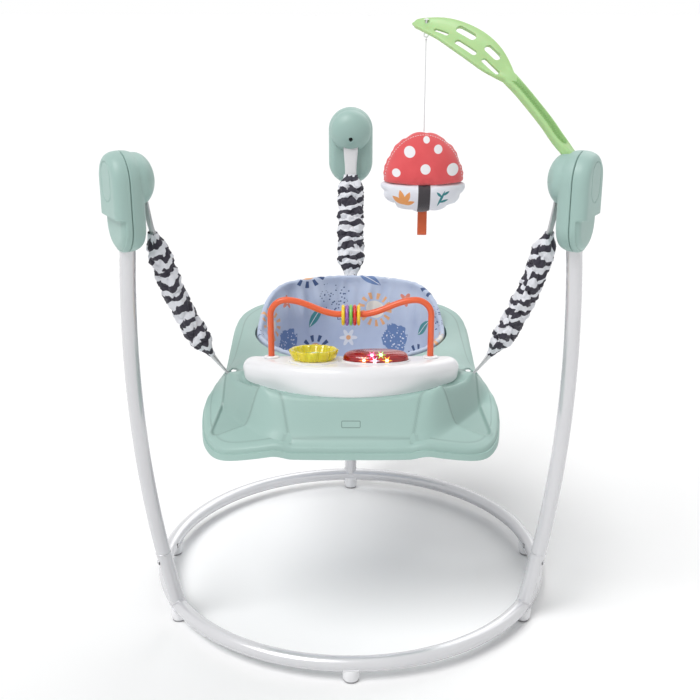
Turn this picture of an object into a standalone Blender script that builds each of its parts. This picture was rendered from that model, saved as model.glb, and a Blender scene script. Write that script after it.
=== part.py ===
"""Baby activity center: a bouncing seat in a toy tray, hung by three springs from a steel tube frame.

Lengths are in metres. +X is the right of the photograph, -Y its front and +Z up. The origin is on the
floor under the middle of the frame. Pieces are modelled about the axis of the floor ring, with z = 0
in the plane of the ring's tube, and the empties at the end of the script carry them to their places.
"""
import math

import bmesh
import bpy
import numpy as np
from mathutils import Matrix, Vector

# General
GAP = 0.0003                 # clearance left where two pieces touch
MERGE = 0.00001              # weld distance
SMOOTH_ANGLE = math.radians(40)

# Floor ring and legs
TUBE_R = 0.0127
RING_R = 0.350
RING_STEP = 10.0             # degrees from point to point along the ring
RING_END_STEP = 0.3
TUBE_SIDES = 10
WALL = 0.0020                # wall of the steel tube at its sockets
SPIGOT_LENGTH = 0.040
STUB_TOP = 0.110             # height of the joint between a leg and its stub
LEG_WIDEST_R = 0.4045        # the legs bow outward to this radius
LEG_WIDEST_Z = 0.480
LEG_AZIMUTHS = {"left": 210, "right": 330, "rear": 90}
STUB_DIP = 0.001             # a stub's end lies this far below the ring's middle

FOOT_HEIGHT = 0.030          # from the floor to the middle of the ring's tube
FOOT_R = 0.0145
FOOT_SIDES = 10
FOOT_SADDLE = 0.008          # how far a foot's cheeks rise beside the tube
FOOT_AZIMUTHS = {"front": 270, "left": 210, "right": 330, "left_rear": 171, "right_rear": 9, "rear": 90}

BUTTON_R = 0.0035
BUTTON_PROUD = 0.0025
LEG_BUTTON_Z = 0.092
RING_BUTTON_ANGLE = 5        # degrees behind the joints of the ring

# Housings on top of the legs
POD_TOP = 0.797
POD_HEIGHT = 0.155
POD_SEAM_OUT = 0.0104378      # from the leg's line outward to the seam between the shells, at mid height
POD_HALF_WIDTH = 0.045
POD_INNER_DEPTH = 0.0245
POD_OUTER_DEPTH = 0.0235
POD_STEP_DEPTH = 0.0080      # the lower part of the outer face lies this much deeper
POD_STEP_HEIGHT = 0.056      # of that part, from the housing's bottom
POD_EDGE = ((0.0, 0.0), (0.50, 0.0010), (0.80, 0.0055), (1.0, 0.0170))
DOME_R = 0.041
DOME_PROUD = 0.028
OVAL_HALF_WIDTH = 0.020      # a groove draws an oval on the outer face
OVAL_HALF_HEIGHT = 0.0305
GROOVE_WIDTH = 0.0016
GROOVE_DEPTH = 0.0012
POD_CUT = 0.060              # half width of the blocks that cut a housing
SCREW_WELL_R = 0.0042
SCREW_WELL_DEPTH = 0.009
SCREW_DROP = 0.059           # from the housing's top down to the screw
LEG_DROP = 0.062             # and to the end of the leg
BORE_SAG = 0.0015            # room for the leg's bend in its straight bore

# Straps, springs and sleeves
PIN_R = 0.0035
PIN_IN = 0.0315              # the pin that an upper strap loops round, from the housing's seam
PIN_DROP = 0.055             # and from its top
PIN_LENGTH = 0.0370
LOOP_WALL = 0.0015           # one layer of webbing
HANG_START = (-0.018, -0.394)    # how the strap's line leaves the pin: outward, and as a share of its drop
HANG_END = (0.072, 0.270)        # and how it meets the tray
UPPER_STRAP_WIDTH = 0.029    # in the housing, and folded narrower in the sleeve
UPPER_STRAP_WAIST = 0.023
LOWER_STRAP_WIDTH = 0.020
SLOT_R = 0.2386              # where a lower strap enters the tray
BAR_IN = 0.006               # the moulded bar under a slot lies this much nearer the middle
BAR_DROP = 0.0160            # and this far below the tray's surface
CHEEK_WALL = 0.0040
UPPER_STRAP_LENGTH = 0.098
LOWER_STRAP_LENGTH = 0.072   # above the tray
SLEEVE_START = 0.076         # along the strap from the pin
SLEEVE_STOP = 0.050          # before the tray's surface
SLEEVE_HALF_WIDTH = 0.0250
SLEEVE_HALF_DEPTH = 0.0165
SLEEVE_TOP_WIDTH = 0.0140
SLEEVE_TOP_DEPTH = 0.0068
SLEEVE_END_WIDTH = 0.0115
SLEEVE_END_DEPTH = 0.0062
SLEEVE_RINGS = 16
SLEEVE_SIDES = 12
SPRING_R = 0.0090
WIRE_R = 0.0013
SPRING_TURNS = 5
BORE_PLACES = (0.0, 0.009, 0.0155, 0.034)
HOOK_R = 0.0050
HOOK_CLEAR = 0.0040          # from a hook to the first turn
EYELET_R = 0.0023
FOLDS = (0.0015, 0.0008)     # height of the sleeve's folds

# Tray
SEAT_Y = 0.040               # the seat turns about this point
SEAT_AXIS = Vector((0.0, SEAT_Y, 0.0))
HOLE_R = 0.1735
DECK_Z = 0.437
TRAY_WALL = 0.0032
FLANGE_DEPTH = 0.016
LIP_DEPTH = 0.020
LIP_FLARE = 0.006
FRONT_RIM_Z = 0.356
REAR_RIM_Z = 0.440
LOBE_Z = 0.3702              # height of the lobes' plane at LOBE_POINT
LOBE_POINT = (0.200, -0.200)
LOBE_FALL_X = 0.246
LOBE_FALL_Y = 0.320
LOBE_REAR_Y = (-0.165, -0.120)   # the lobes end between these
RIM_RISE_Y = (-0.295, 0.100)     # the rim climbs between these
CREASE_POINT = (0.094, -0.290)   # the crease between the apron and a lobe passes here
CREASE_SLOPE = 0.75
CREASE_WIDTH = 0.035
TRAY_SIDES = 42
CORNER_WEIGHT = 0.5
TRAY_HALF_OUTLINE = (
    (0.0, -0.296), (0.08, -0.295), (0.150, -0.289), (0.203, -0.274), (0.229, -0.240),
    (0.239, -0.195), (0.241, -0.152), (0.227, -0.112), (0.214, -0.070), (0.2105, 0.0),
    (0.2085, 0.100), (0.195, 0.160), (0.165, 0.205), (0.100, 0.243), (0.0, 0.258))
POCKET_CORNERS = ((0.207, -0.156), (0.153, -0.236), (0.206, -0.236))
POCKET_ROUND = 0.014
POCKET_DEPTH = 0.0016
SLOT_LENGTH = 0.0230
SLOT_REACH = (0.2260, 0.2430)

# Seat
FABRIC_R = 0.170
FABRIC_WALL = 0.006
FABRIC_NECK_R = 0.1590
BACK_Z = 0.494
FRONT_Z = 0.4405
SEAT_BOTTOM = 0.235
SEAT_PROFILE = ((0.050, 0.0), (0.100, 0.075), (0.134, 0.25), (0.152, 0.55))
SEAT_INNER = ((0.094, 0.110), (0.045, 0.035))
ROLL_IN = (0.003, 0.001, 0.006, 0.0125)
ROLL_DROP = (0.004, 0.003, 0.0, 0.005)
SEAT_SIDES = 28
SEAT_RING_HEIGHT = 0.006
SEAT_PLAY = 0.0020           # from the seat's ring to the tray's hole
TRACK_LEDGE = 0.0030
LEG_HOLE_R = 0.046
LEG_HOLE_AZIMUTH = 37
LEG_HOLE_Z = 0.296
LEG_HOLE_ENDS = ((0.040, 0.030), (0.240, -0.070))    # radius, and height above the hole's middle

# Console, whose top leans towards the seat
CONSOLE_TILT = math.radians(8)
CONSOLE_POINT = (-0.185, 0.4587)
CONSOLE_ARC_R = 0.2261
CONSOLE_ARC_Y = -0.0253
CONSOLE_REAR_Y = -0.136
CONSOLE_CORNER_R = 0.022
CONSOLE_WALL = 0.0030
CONSOLE_EDGE = ((0.0, 0.0180), (0.0016, 0.0090), (0.0050, 0.0040), (0.0100, 0.0012), (0.0170, 0.0))
CONSOLE_DRAFT = 0.0010
RIM_HEIGHT = 0.0022          # of the raised rims round the toys
RIM_WIDTH = 0.0030
PLINTH_R = 0.0425
BAR_BOSS_R = 0.0095
BAR_BOSS_DEPTH = 0.0145
AXLE_BOSS_R = 0.0090
AXLE_BOSS_DEPTH = 0.0140
PAN_X = 0.0750
PAN_Y = (-0.2185, -0.1525)
PAN_BOTTOM = 0.396
PAN_WALL = 0.0020
PAN_FLANGE = 0.0080
BATTERY_LENGTH = 0.050
BATTERY_X = -0.040
BATTERY_PITCH = 0.0152
BOARD_WALL = 0.0016
SPEAKER_R = 0.018
SPEAKER_X = 0.036
GRILLE_R = 0.0020
GRILLE_PITCH = 0.008
SWITCH_LENGTH = 0.008
SWITCH_WIDTH = 0.006
SWITCH_TRAVEL = 0.004

# Toys
SPINNER_POS = (-0.060, -0.185)
SPINNER_R = 0.0385
SPINNER_LOBES = 12
SPINNER_HEIGHT = 0.0165
AXLE_R = 0.0040
DOME_POS = (0.040, -0.187)
LIGHT_DOME = (0.0525, 0.0310)
LIGHT_DOME_HEIGHT = 0.0170
LED_R = 0.0025
LED_PLACES = ((-0.0060, 0.007), (0.0085, 0.008), (-0.0190, -0.006), (-0.0016, -0.008), (0.0180, -0.007))
BAR_R = 0.0051
BAR_X = 0.1297
BAR_Y = -0.162
BAR_FOOT = 0.0130            # how far the bar reaches into the console
BAR_STRAIGHT = 0.030         # of its upright legs below the bend
CREST_X = 0.104
CREST_Z = 0.5531
DIP_Z = 0.5293
DIP_FLAT = 0.017
RING_HOLE_R = 0.0070
RING_OUTER_R = 0.0170
RING_WIDTH = 0.0058
RING_PITCH = 0.0062
RING_COUNT = 5

# Leaf arm: its middle line, inward and upward from its tang at the top of the right housing
ARM_LINE = ((0.0020, -0.0120), (0.0270, 0.0150), (0.0480, 0.0400), (0.0860, 0.0793), (0.1145, 0.1050),
            (0.1520, 0.1359), (0.1828, 0.1543), (0.2188, 0.1691), (0.2551, 0.1759), (0.2750, 0.1765))
ARM_TANG = (0.014, 0.012, 0.022)
ARM_TANG_IN = 0.0145         # from the housing's seam to the tang
TANG_SINK = 0.006            # how far the tang reaches up into the stem
STEM_WIDTH = 0.020
STEM_THICK = 0.015
LEAF_WIDTH = 0.054
LEAF_THICK = 0.008
LEAF_BANK = math.radians(30)
LEAF_SHARE = 0.44            # the leaf starts at this share of the arm
HOOK_SHARE = 0.93            # and the toy hangs at this one
HOOK_HOLE_R = 0.0020
HOOK_HEAD = (0.0040, 0.0020) # radius and height of the hook's head
SHANK_R = 0.0015
EYE_DROP = 0.0105            # from the leaf's underside to the wire at the bottom of the hook's eye
KNOT_R = 0.0020
EYE_R = 0.0034
EYE_WIRE_R = 0.0010
STRING_R = 0.0008
STRING_DROP = 0.144752       # from the eye's wire to the toy's top
TOY_HALF_WIDTH = 0.066
TOY_HALF_DEPTH = 0.042
CAP_HEIGHT = 0.0803
BODY_HEIGHT = 0.0491
RIBBON_LENGTH = 0.0404
RIBBON_WIDTH = 0.015
RIBBON_LOOP = ((0.0030, 0.0), (0.0042, 0.0344), (0.0030, 0.0389))
RIBBON_HOLE = ((0.0018, 0.0040), (0.0028, 0.0344))
RIBBON_WALL = 0.0020


def leg_radius(height):
    """The legs are bent to one arc, from the ring out to their widest point and in again."""
    bow = LEG_WIDEST_R - RING_R
    bend = (bow ** 2 + LEG_WIDEST_Z ** 2) / (2 * bow)
    return LEG_WIDEST_R - (bend - math.sqrt(bend ** 2 - (height - LEG_WIDEST_Z) ** 2))


# Places that follow from the sizes above
POD_BOTTOM = POD_TOP - POD_HEIGHT
POD_SEAM_R = leg_radius(POD_TOP - POD_HEIGHT / 2) + POD_SEAM_OUT
LEG_TOP = POD_TOP - LEG_DROP
PIN_POS = (POD_SEAM_R - PIN_IN, POD_TOP - PIN_DROP)
ARM_TANG_R = POD_SEAM_R - ARM_TANG_IN

# The frame is centred front to back between the front foot and the rear housing
FRAME_Y = -(POD_SEAM_R + POD_OUTER_DEPTH - RING_R - FOOT_R) / 2
RING_Z = FOOT_HEIGHT

COLORS = {
    "steel": ((0.92, 0.92, 0.93), 0.30, 0.1),
    "mint": ((0.45, 0.62, 0.57), 0.45, 0.0),
    "white": ((0.90, 0.90, 0.92), 0.30, 0.0),
    "orange": ((0.80, 0.16, 0.05), 0.35, 0.0),
    "leaf": ((0.45, 0.76, 0.27), 0.45, 0.0),
    "black": ((0.03, 0.03, 0.04), 0.60, 0.0),
    "zebra": ((0.80, 0.80, 0.84), 0.90, 0.0),
    "webbing": ((0.82, 0.82, 0.85), 0.90, 0.0),
    "fabric": ((0.42, 0.52, 0.70), 0.90, 0.0),
    "red": ((0.62, 0.02, 0.03), 0.15, 0.0),
    "yellow": ((0.85, 0.62, 0.02), 0.20, 0.0),
    "green": ((0.25, 0.62, 0.12), 0.30, 0.0),
    "purple": ((0.30, 0.10, 0.45), 0.30, 0.0),
    "plush_red": ((0.70, 0.08, 0.09), 0.95, 0.0),
    "plush_white": ((0.80, 0.82, 0.88), 0.95, 0.0),
    "metal": ((0.60, 0.60, 0.62), 0.35, 1.0),
    "board": ((0.05, 0.25, 0.12), 0.60, 0.0),
}


def clear_scene():
    for obj in list(bpy.data.objects):
        bpy.data.objects.remove(obj, do_unlink=True)


def new_collection(name):
    collection = bpy.data.collections.new(name)
    bpy.context.scene.collection.children.link(collection)
    return collection


def new_material(name, color, roughness, metallic):
    material = bpy.data.materials.new(name)
    material.use_nodes = True
    shader = material.node_tree.nodes["Principled BSDF"]
    shader.inputs["Base Color"].default_value = (*color, 1.0)
    shader.inputs["Roughness"].default_value = roughness
    shader.inputs["Metallic"].default_value = metallic
    return material


clear_scene()
PARTS = new_collection("baby_activity_center")
GUIDES = new_collection("guides")
MATERIALS = {name: new_material(name, *values) for name, values in COLORS.items()}


# Helpers that make and combine meshes

def smoothstep(value):
    value = min(max(value, 0.0), 1.0)
    return value * value * (3 - 2 * value)


def mix(start, end, share):
    return start + (end - start) * share


def turned(angle_degrees, radius, height=0.0):
    """A point at an azimuth about the vertical axis."""
    angle = math.radians(angle_degrees)
    return Vector((radius * math.cos(angle), radius * math.sin(angle), height))


def finish_mesh(mesh):
    """Weld the mesh and turn its faces outward."""
    bm = bmesh.new()
    bm.from_mesh(mesh)
    bmesh.ops.remove_doubles(bm, verts=bm.verts, dist=MERGE)
    bmesh.ops.dissolve_degenerate(bm, edges=bm.edges, dist=MERGE)
    bmesh.ops.recalc_face_normals(bm, faces=bm.faces)
    bm.to_mesh(mesh)
    bm.free()
    return mesh


def new_object(name, mesh):
    obj = bpy.data.objects.new(name, mesh)
    PARTS.objects.link(obj)
    return obj


def bake(obj, weld=True):
    """Replace an object by the mesh that its modifiers or its curve give."""
    graph = bpy.context.evaluated_depsgraph_get()
    mesh = bpy.data.meshes.new_from_object(obj.evaluated_get(graph), depsgraph=graph)
    name = obj.name
    bpy.data.objects.remove(obj)
    return new_object(name, finish_mesh(mesh) if weld else mesh)


def combine(body, tool, operation="DIFFERENCE"):
    """Cut one solid by another, join them or keep what they share, and remove the tool."""
    modifier = body.modifiers.new("combine", "BOOLEAN")
    modifier.operation = operation
    modifier.solver = "EXACT"
    modifier.object = tool
    result = bake(body, weld=False)
    bpy.data.objects.remove(tool)
    return result


def join_all(first, *others):
    for other in others:
        first = combine(first, other, "UNION")
    return first


def cut_all(body, *tools):
    for tool in tools:
        body = combine(body, tool)
    return body


def transformed(obj, matrix):
    obj.data.transform(matrix)
    return obj


def moved(obj, x=0.0, y=0.0, z=0.0):
    return transformed(obj, Matrix.Translation((x, y, z)))


def tube(name, points, radius, sides=TUBE_SIDES):
    """A round bar along points, with closed ends."""
    curve = bpy.data.curves.new(name, "CURVE")
    curve.dimensions = "3D"
    curve.bevel_depth = radius
    curve.bevel_resolution = (sides - 4) // 2
    curve.use_fill_caps = True
    spline = curve.splines.new("POLY")
    spline.points.add(len(points) - 1)
    for target, point in zip(spline.points, points):
        target.co = (*point, 1.0)
    return bake(new_object(name, curve))


def prism(name, outline, bottom, top, holes=()):
    """A flat outline, with holes, extruded along Z."""
    curve = bpy.data.curves.new(name, "CURVE")
    curve.dimensions = "2D"
    curve.fill_mode = "BOTH"
    curve.extrude = (top - bottom) / 2
    for loop in (outline, *holes):
        spline = curve.splines.new("POLY")
        spline.points.add(len(loop) - 1)
        spline.use_cyclic_u = True
        for target, point in zip(spline.points, loop):
            target.co = (point[0], point[1], 0.0, 1.0)
    return moved(bake(new_object(name, curve)), z=(top + bottom) / 2)


def lathe(name, profile, steps=32, closed=True):
    """Turn a profile of (radius, height) pairs about Z."""
    mesh = bpy.data.meshes.new(name)
    count = len(profile)
    edges = [(i, i + 1) for i in range(count - 1)]
    if closed:
        edges.append((count - 1, 0))
    mesh.from_pydata([(radius, 0.0, height) for radius, height in profile], edges, [])
    obj = new_object(name, mesh)
    screw = obj.modifiers.new("turn", "SCREW")
    screw.steps = steps
    screw.render_steps = steps
    screw.use_merge_vertices = True
    screw.merge_threshold = MERGE
    return bake(obj)


def loft(name, rings, chain=False, open_ends=False):
    """Skin equal rings of points. The ends are closed, left open, or joined to each other in a chain."""
    bm = bmesh.new()
    rows = [[bm.verts.new(point) for point in ring] for ring in rings]
    pairs = list(zip(rows, rows[1:]))
    if chain:
        pairs.append((rows[-1], rows[0]))
    for row, following in pairs:
        for i in range(len(row)):
            j = (i + 1) % len(row)
            bm.faces.new((row[i], following[i], following[j]))
            bm.faces.new((row[i], following[j], row[j]))
    if not chain and not open_ends:
        bm.faces.new(rows[0])
        bm.faces.new(rows[-1])
    mesh = bpy.data.meshes.new(name)
    bm.to_mesh(mesh)
    bm.free()
    return new_object(name, mesh if open_ends else finish_mesh(mesh))


def box(name, low, high):
    """A block from its lowest to its highest corner."""
    size = [b - a for a, b in zip(low, high)]
    middle = [(a + b) / 2 for a, b in zip(low, high)]
    bm = bmesh.new()
    bmesh.ops.create_cube(bm, size=1.0)
    bmesh.ops.scale(bm, vec=size, verts=bm.verts)
    bmesh.ops.translate(bm, vec=middle, verts=bm.verts)
    mesh = bpy.data.meshes.new(name)
    bm.to_mesh(mesh)
    bm.free()
    return new_object(name, finish_mesh(mesh))


def rod(name, start, end, radius, sides=16, end_radius=None):
    """A straight round rod between two points."""
    start, end = Vector(start), Vector(end)
    bm = bmesh.new()
    bmesh.ops.create_cone(bm, cap_ends=True, segments=sides, radius1=radius,
                          radius2=radius if end_radius is None else end_radius,
                          depth=(end - start).length)
    turn = (end - start).to_track_quat("Z", "Y").to_matrix().to_4x4()
    bmesh.ops.transform(bm, matrix=Matrix.Translation((start + end) / 2) @ turn, verts=bm.verts)
    mesh = bpy.data.meshes.new(name)
    bm.to_mesh(mesh)
    bm.free()
    return new_object(name, finish_mesh(mesh))


def ellipsoid(name, centre, radii, steps=20, rings=10):
    bm = bmesh.new()
    bmesh.ops.create_uvsphere(bm, u_segments=steps, v_segments=rings, radius=1.0)
    bmesh.ops.scale(bm, vec=radii, verts=bm.verts)
    bmesh.ops.translate(bm, vec=centre, verts=bm.verts)
    mesh = bpy.data.meshes.new(name)
    bm.to_mesh(mesh)
    bm.free()
    return new_object(name, finish_mesh(mesh))


def finish(obj, material, parent):
    """Give a finished piece its material, its shading and its place."""
    obj.data.materials.clear()
    obj.data.materials.append(MATERIALS[material])
    obj.data.shade_smooth()
    obj.data.set_sharp_from_angle(angle=SMOOTH_ANGLE)
    obj.parent = parent
    return obj


def empty(name, parent=None, location=(0.0, 0.0, 0.0), turn=0.0):
    obj = bpy.data.objects.new(name, None)
    obj.location = location
    obj.rotation_euler = (0.0, 0.0, turn)
    obj.parent = parent
    GUIDES.objects.link(obj)
    return obj


def catmull_rom(points, samples, closed=False):
    """A smooth curve through points."""
    points = [Vector(point) for point in points]
    count = len(points)
    spans = count if closed else count - 1
    if closed:
        def pick(i):
            return points[i % count]
    else:
        def pick(i):
            return points[min(max(i, 0), count - 1)]
    curve = []
    for span in range(spans):
        p0, p1, p2, p3 = (pick(span + k) for k in (-1, 0, 1, 2))
        for step in range(samples):
            t = step / samples
            curve.append(0.5 * (2 * p1 + (p2 - p0) * t + (2 * p0 - 5 * p1 + 4 * p2 - p3) * t ** 2
                                + (3 * p1 - p0 - 3 * p2 + p3) * t ** 3))
    if not closed:
        curve.append(points[-1])
    return curve


# Frame

def leg_line(bottom, top, count):
    return [Vector((0.0, leg_radius(z), z)) for z in np.linspace(bottom, top, count)]


def to_azimuth(obj, azimuth):
    """Carry a piece that was made on the rear leg to another azimuth."""
    return transformed(obj, Matrix.Rotation(math.radians(azimuth - 90), 4, "Z"))


def ring_line(start, end, step=RING_STEP):
    count = max(2, int(round(abs(end - start) / step)) + 1)
    return [turned(angle, RING_R) for angle in np.linspace(start, end, count)]


def half_line(start):
    """The middle line of half the ring, with short steps at its ends so that they are cut square."""
    slack = math.degrees(GAP / RING_R) / 2
    first, last = start + slack, start + 180 - slack
    inner = ring_line(first + RING_END_STEP, last - RING_END_STEP)
    return [turned(first, RING_R)] + inner + [turned(last, RING_R)]


def base_half(name, start, stubs):
    """Half of the floor ring, with its welded stubs bored for the legs' spigots."""
    half = tube(name, half_line(start), TUBE_R)
    for azimuth in stubs:
        stub = to_azimuth(tube("stub", leg_line(-STUB_DIP, STUB_TOP, 4), TUBE_R), azimuth)
        half = combine(half, stub, "UNION")
    for azimuth in stubs:
        bore = leg_line(STUB_TOP - SPIGOT_LENGTH - 2 * GAP, STUB_TOP + 2 * GAP, 3)
        half = combine(half, to_azimuth(tube("bore", bore, TUBE_R - WALL), azimuth))
        hole = rod("hole", (0, leg_radius(LEG_BUTTON_Z), LEG_BUTTON_Z),
                   (0, leg_radius(LEG_BUTTON_Z) + 2 * TUBE_R, LEG_BUTTON_Z), BUTTON_R + GAP, 8)
        half = combine(half, to_azimuth(hole, azimuth))
    return half


def spigot_angles():
    return math.degrees(SPIGOT_LENGTH / RING_R)


def button(centre, way):
    """A spring button that stands out of a spigot through the tube round it."""
    return rod("button", centre + way * (TUBE_R / 2), centre + way * (TUBE_R + BUTTON_PROUD),
               BUTTON_R, 8, BUTTON_R * 0.8)


def ring_button_hole(azimuth, radius):
    return rod("hole", turned(azimuth, RING_R), turned(azimuth, RING_R - 2 * TUBE_R), radius, 8)


def base_tube_front():
    """The front half has a spigot and a spring button at each end."""
    half = base_half("base_tube_front", 180, (210, 330))
    reach = spigot_angles()
    for start, end in ((181, 180 - reach), (359, 360 + reach)):
        half = combine(half, tube("spigot", ring_line(start, end, 2.5), TUBE_R - WALL - GAP), "UNION")
    for azimuth in (180 - RING_BUTTON_ANGLE, RING_BUTTON_ANGLE):
        half = combine(half, button(turned(azimuth, RING_R), -turned(azimuth, 1.0)), "UNION")
    return half


def base_tube_rear():
    half = base_half("base_tube_rear", 0, (90,))
    reach = spigot_angles() + 0.1
    for start, end in ((181, 180 - reach), (-1, reach)):
        half = combine(half, tube("socket", ring_line(start, end, 2.5), TUBE_R - WALL))
    for azimuth in (180 - RING_BUTTON_ANGLE, RING_BUTTON_ANGLE):
        half = combine(half, ring_button_hole(azimuth, BUTTON_R + GAP))
    return half


def leg(name):
    pole = tube(name, leg_line(STUB_TOP + GAP, LEG_TOP, 11), TUBE_R)
    spigot = tube("spigot", leg_line(STUB_TOP - SPIGOT_LENGTH, STUB_TOP + 0.01, 3), TUBE_R - WALL - GAP)
    centre = Vector((0.0, leg_radius(LEG_BUTTON_Z), LEG_BUTTON_Z))
    return join_all(pole, spigot, button(centre, Vector((0.0, 1.0, 0.0))))


def foot(name, azimuth):
    """A round pad with a saddle for the ring's tube."""
    profile = ((0, -FOOT_SADDLE), (FOOT_R, -FOOT_SADDLE), (FOOT_R, -FOOT_HEIGHT + 0.004),
               (FOOT_R - 0.003, -FOOT_HEIGHT), (0, -FOOT_HEIGHT))
    place = Matrix.Translation(turned(azimuth, RING_R)) @ Matrix.Rotation(math.radians(azimuth), 4, "Z")
    pad = transformed(lathe(name, profile, FOOT_SIDES, closed=False), place)
    start = 0 if azimuth < 180 else 180
    return combine(pad, tube("saddle", half_line(start), TUBE_R + 1.1 * GAP))


# Housings, made on the rear leg: x runs across, y outward

def stadium(half_width, bottom, top, y, corner_points=7):
    """An upright outline with two round ends, at a distance y."""
    upper = top - half_width
    lower = bottom + half_width
    points = []
    for centre, first in ((upper, 0.0), (lower, math.pi)):
        for angle in np.linspace(first, first + math.pi, corner_points):
            points.append((half_width * math.cos(angle), y, centre + half_width * math.sin(angle)))
    return points


def pod_shell(name, direction, depth):
    """One shell: a stadium that rounds over towards its face."""
    rings = []
    for share, inset in POD_EDGE:
        y = POD_SEAM_R + direction * (GAP / 2 + share * (depth - GAP / 2))
        rings.append(stadium(POD_HALF_WIDTH - inset, POD_BOTTOM + inset, POD_TOP - inset, y))
    return loft(name, rings)


def dome_centre():
    return POD_SEAM_R - POD_INNER_DEPTH, POD_TOP - POD_HALF_WIDTH


def leg_bore():
    low = POD_BOTTOM - 0.01
    high = LEG_TOP + GAP
    return rod("bore", (0, leg_radius(low), low), (0, leg_radius(high), high), TUBE_R + BORE_SAG, 12)


def strap_cavity():
    y, z = PIN_POS
    half_depth = PIN_R + LOOP_WALL + 3 * GAP
    half_width = UPPER_STRAP_WIDTH / 2 + 2 * GAP
    cavity = box("cavity", (-half_width, y - half_depth, POD_BOTTOM),
                 (half_width, y + half_depth, z + half_depth))
    pin = rod("pin_hole", (-PIN_LENGTH / 2 - GAP, y, z), (PIN_LENGTH / 2 + GAP, y, z), PIN_R + GAP, 10)
    return cavity, pin


def dome_surface(height):
    """Distance of the dome's surface from the ring's axis at a height, on its middle line."""
    y, z = dome_centre()
    rise = (height - z) / DOME_R
    return y - DOME_PROUD * math.sqrt(1 - rise ** 2)


def pod_inner(name, with_socket):
    shell = pod_shell(name, -1, POD_INNER_DEPTH)
    y, z = dome_centre()
    dome = ellipsoid("dome", (0, y, z), (DOME_R, DOME_PROUD, DOME_R), 16, 8)
    shell = combine(shell, dome, "UNION")
    height = POD_TOP - SCREW_DROP
    surface = dome_surface(height)
    well = rod("well", (0, surface - 0.01, height), (0, surface + SCREW_WELL_DEPTH, height),
               SCREW_WELL_R, 10)
    back = box("back", (-POD_CUT, POD_SEAM_R - GAP / 2, POD_BOTTOM - 0.01),
               (POD_CUT, POD_SEAM_R + POD_CUT, POD_TOP + 0.01))
    shell = cut_all(shell, back, leg_bore(), *strap_cavity(), well)
    if with_socket:
        half_x, half_y = ARM_TANG[0] / 2 + GAP, ARM_TANG[1] / 2 + GAP
        socket = box("socket", (-half_x, ARM_TANG_R - half_y, POD_TOP - ARM_TANG[2] - GAP),
                     (half_x, ARM_TANG_R + half_y, POD_TOP + 0.02))
        shell = combine(shell, socket)
    return shell


def pod_outer(name):
    shell = pod_shell(name, 1, POD_OUTER_DEPTH)
    face = POD_SEAM_R + POD_OUTER_DEPTH
    step = box("step", (-POD_CUT, face - POD_STEP_DEPTH, POD_BOTTOM - 0.01),
               (POD_CUT, face + 0.01, POD_BOTTOM + POD_STEP_HEIGHT))
    groove = loft("groove", [oval_outline(face - GROOVE_DEPTH, 0.0), oval_outline(face + 0.01, 0.0),
                             oval_outline(face + 0.01, -GROOVE_WIDTH),
                             oval_outline(face - GROOVE_DEPTH, -GROOVE_WIDTH)], chain=True)
    return cut_all(shell, leg_bore(), step, groove)


def oval_outline(y, margin):
    middle = POD_TOP - POD_HALF_WIDTH
    return stadium(OVAL_HALF_WIDTH + margin, middle - OVAL_HALF_HEIGHT - margin,
                   middle + OVAL_HALF_HEIGHT + margin, y)


def strap_pin(name):
    y, z = PIN_POS
    return rod(name, (-PIN_LENGTH / 2, y, z), (PIN_LENGTH / 2, y, z), PIN_R, 10)


# Straps, springs and sleeves, also made on the rear leg

class Hang:
    """The line along which a strap, spring and sleeve sag from the housing's pin to the tray."""

    def __init__(self, slot_height):
        start = Vector((0.0, *PIN_POS))
        end = Vector((0.0, SLOT_R, slot_height))
        drop = (start.z - end.z)
        first = start + Vector((0.0, HANG_START[0], HANG_START[1] * drop))
        second = end + Vector((0.0, HANG_END[0], HANG_END[1] * drop))
        shares = np.linspace(0.0, 1.0, 241)
        points = [start * (1 - t) ** 3 + first * 3 * t * (1 - t) ** 2 + second * 3 * t ** 2 * (1 - t)
                  + end * t ** 3 for t in shares]
        self.points = np.array([tuple(point) for point in points])
        steps = np.linalg.norm(np.diff(self.points, axis=0), axis=1)
        self.lengths = np.concatenate(([0.0], np.cumsum(steps)))
        self.length = self.lengths[-1]
        self.bar = Vector((0.0, SLOT_R - BAR_IN, slot_height - BAR_DROP))

    def at(self, distance):
        """The point at a distance from the pin, the way down and the outward normal there."""
        def point(where):
            where = min(max(where, 0.0), self.length)
            return Vector([np.interp(where, self.lengths, self.points[:, k]) for k in range(3)])
        step = 0.002
        down = (point(distance + step) - point(distance - step)).normalized()
        normal = Vector((0.0, -down.z, down.y))
        return point(distance), down, normal


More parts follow.
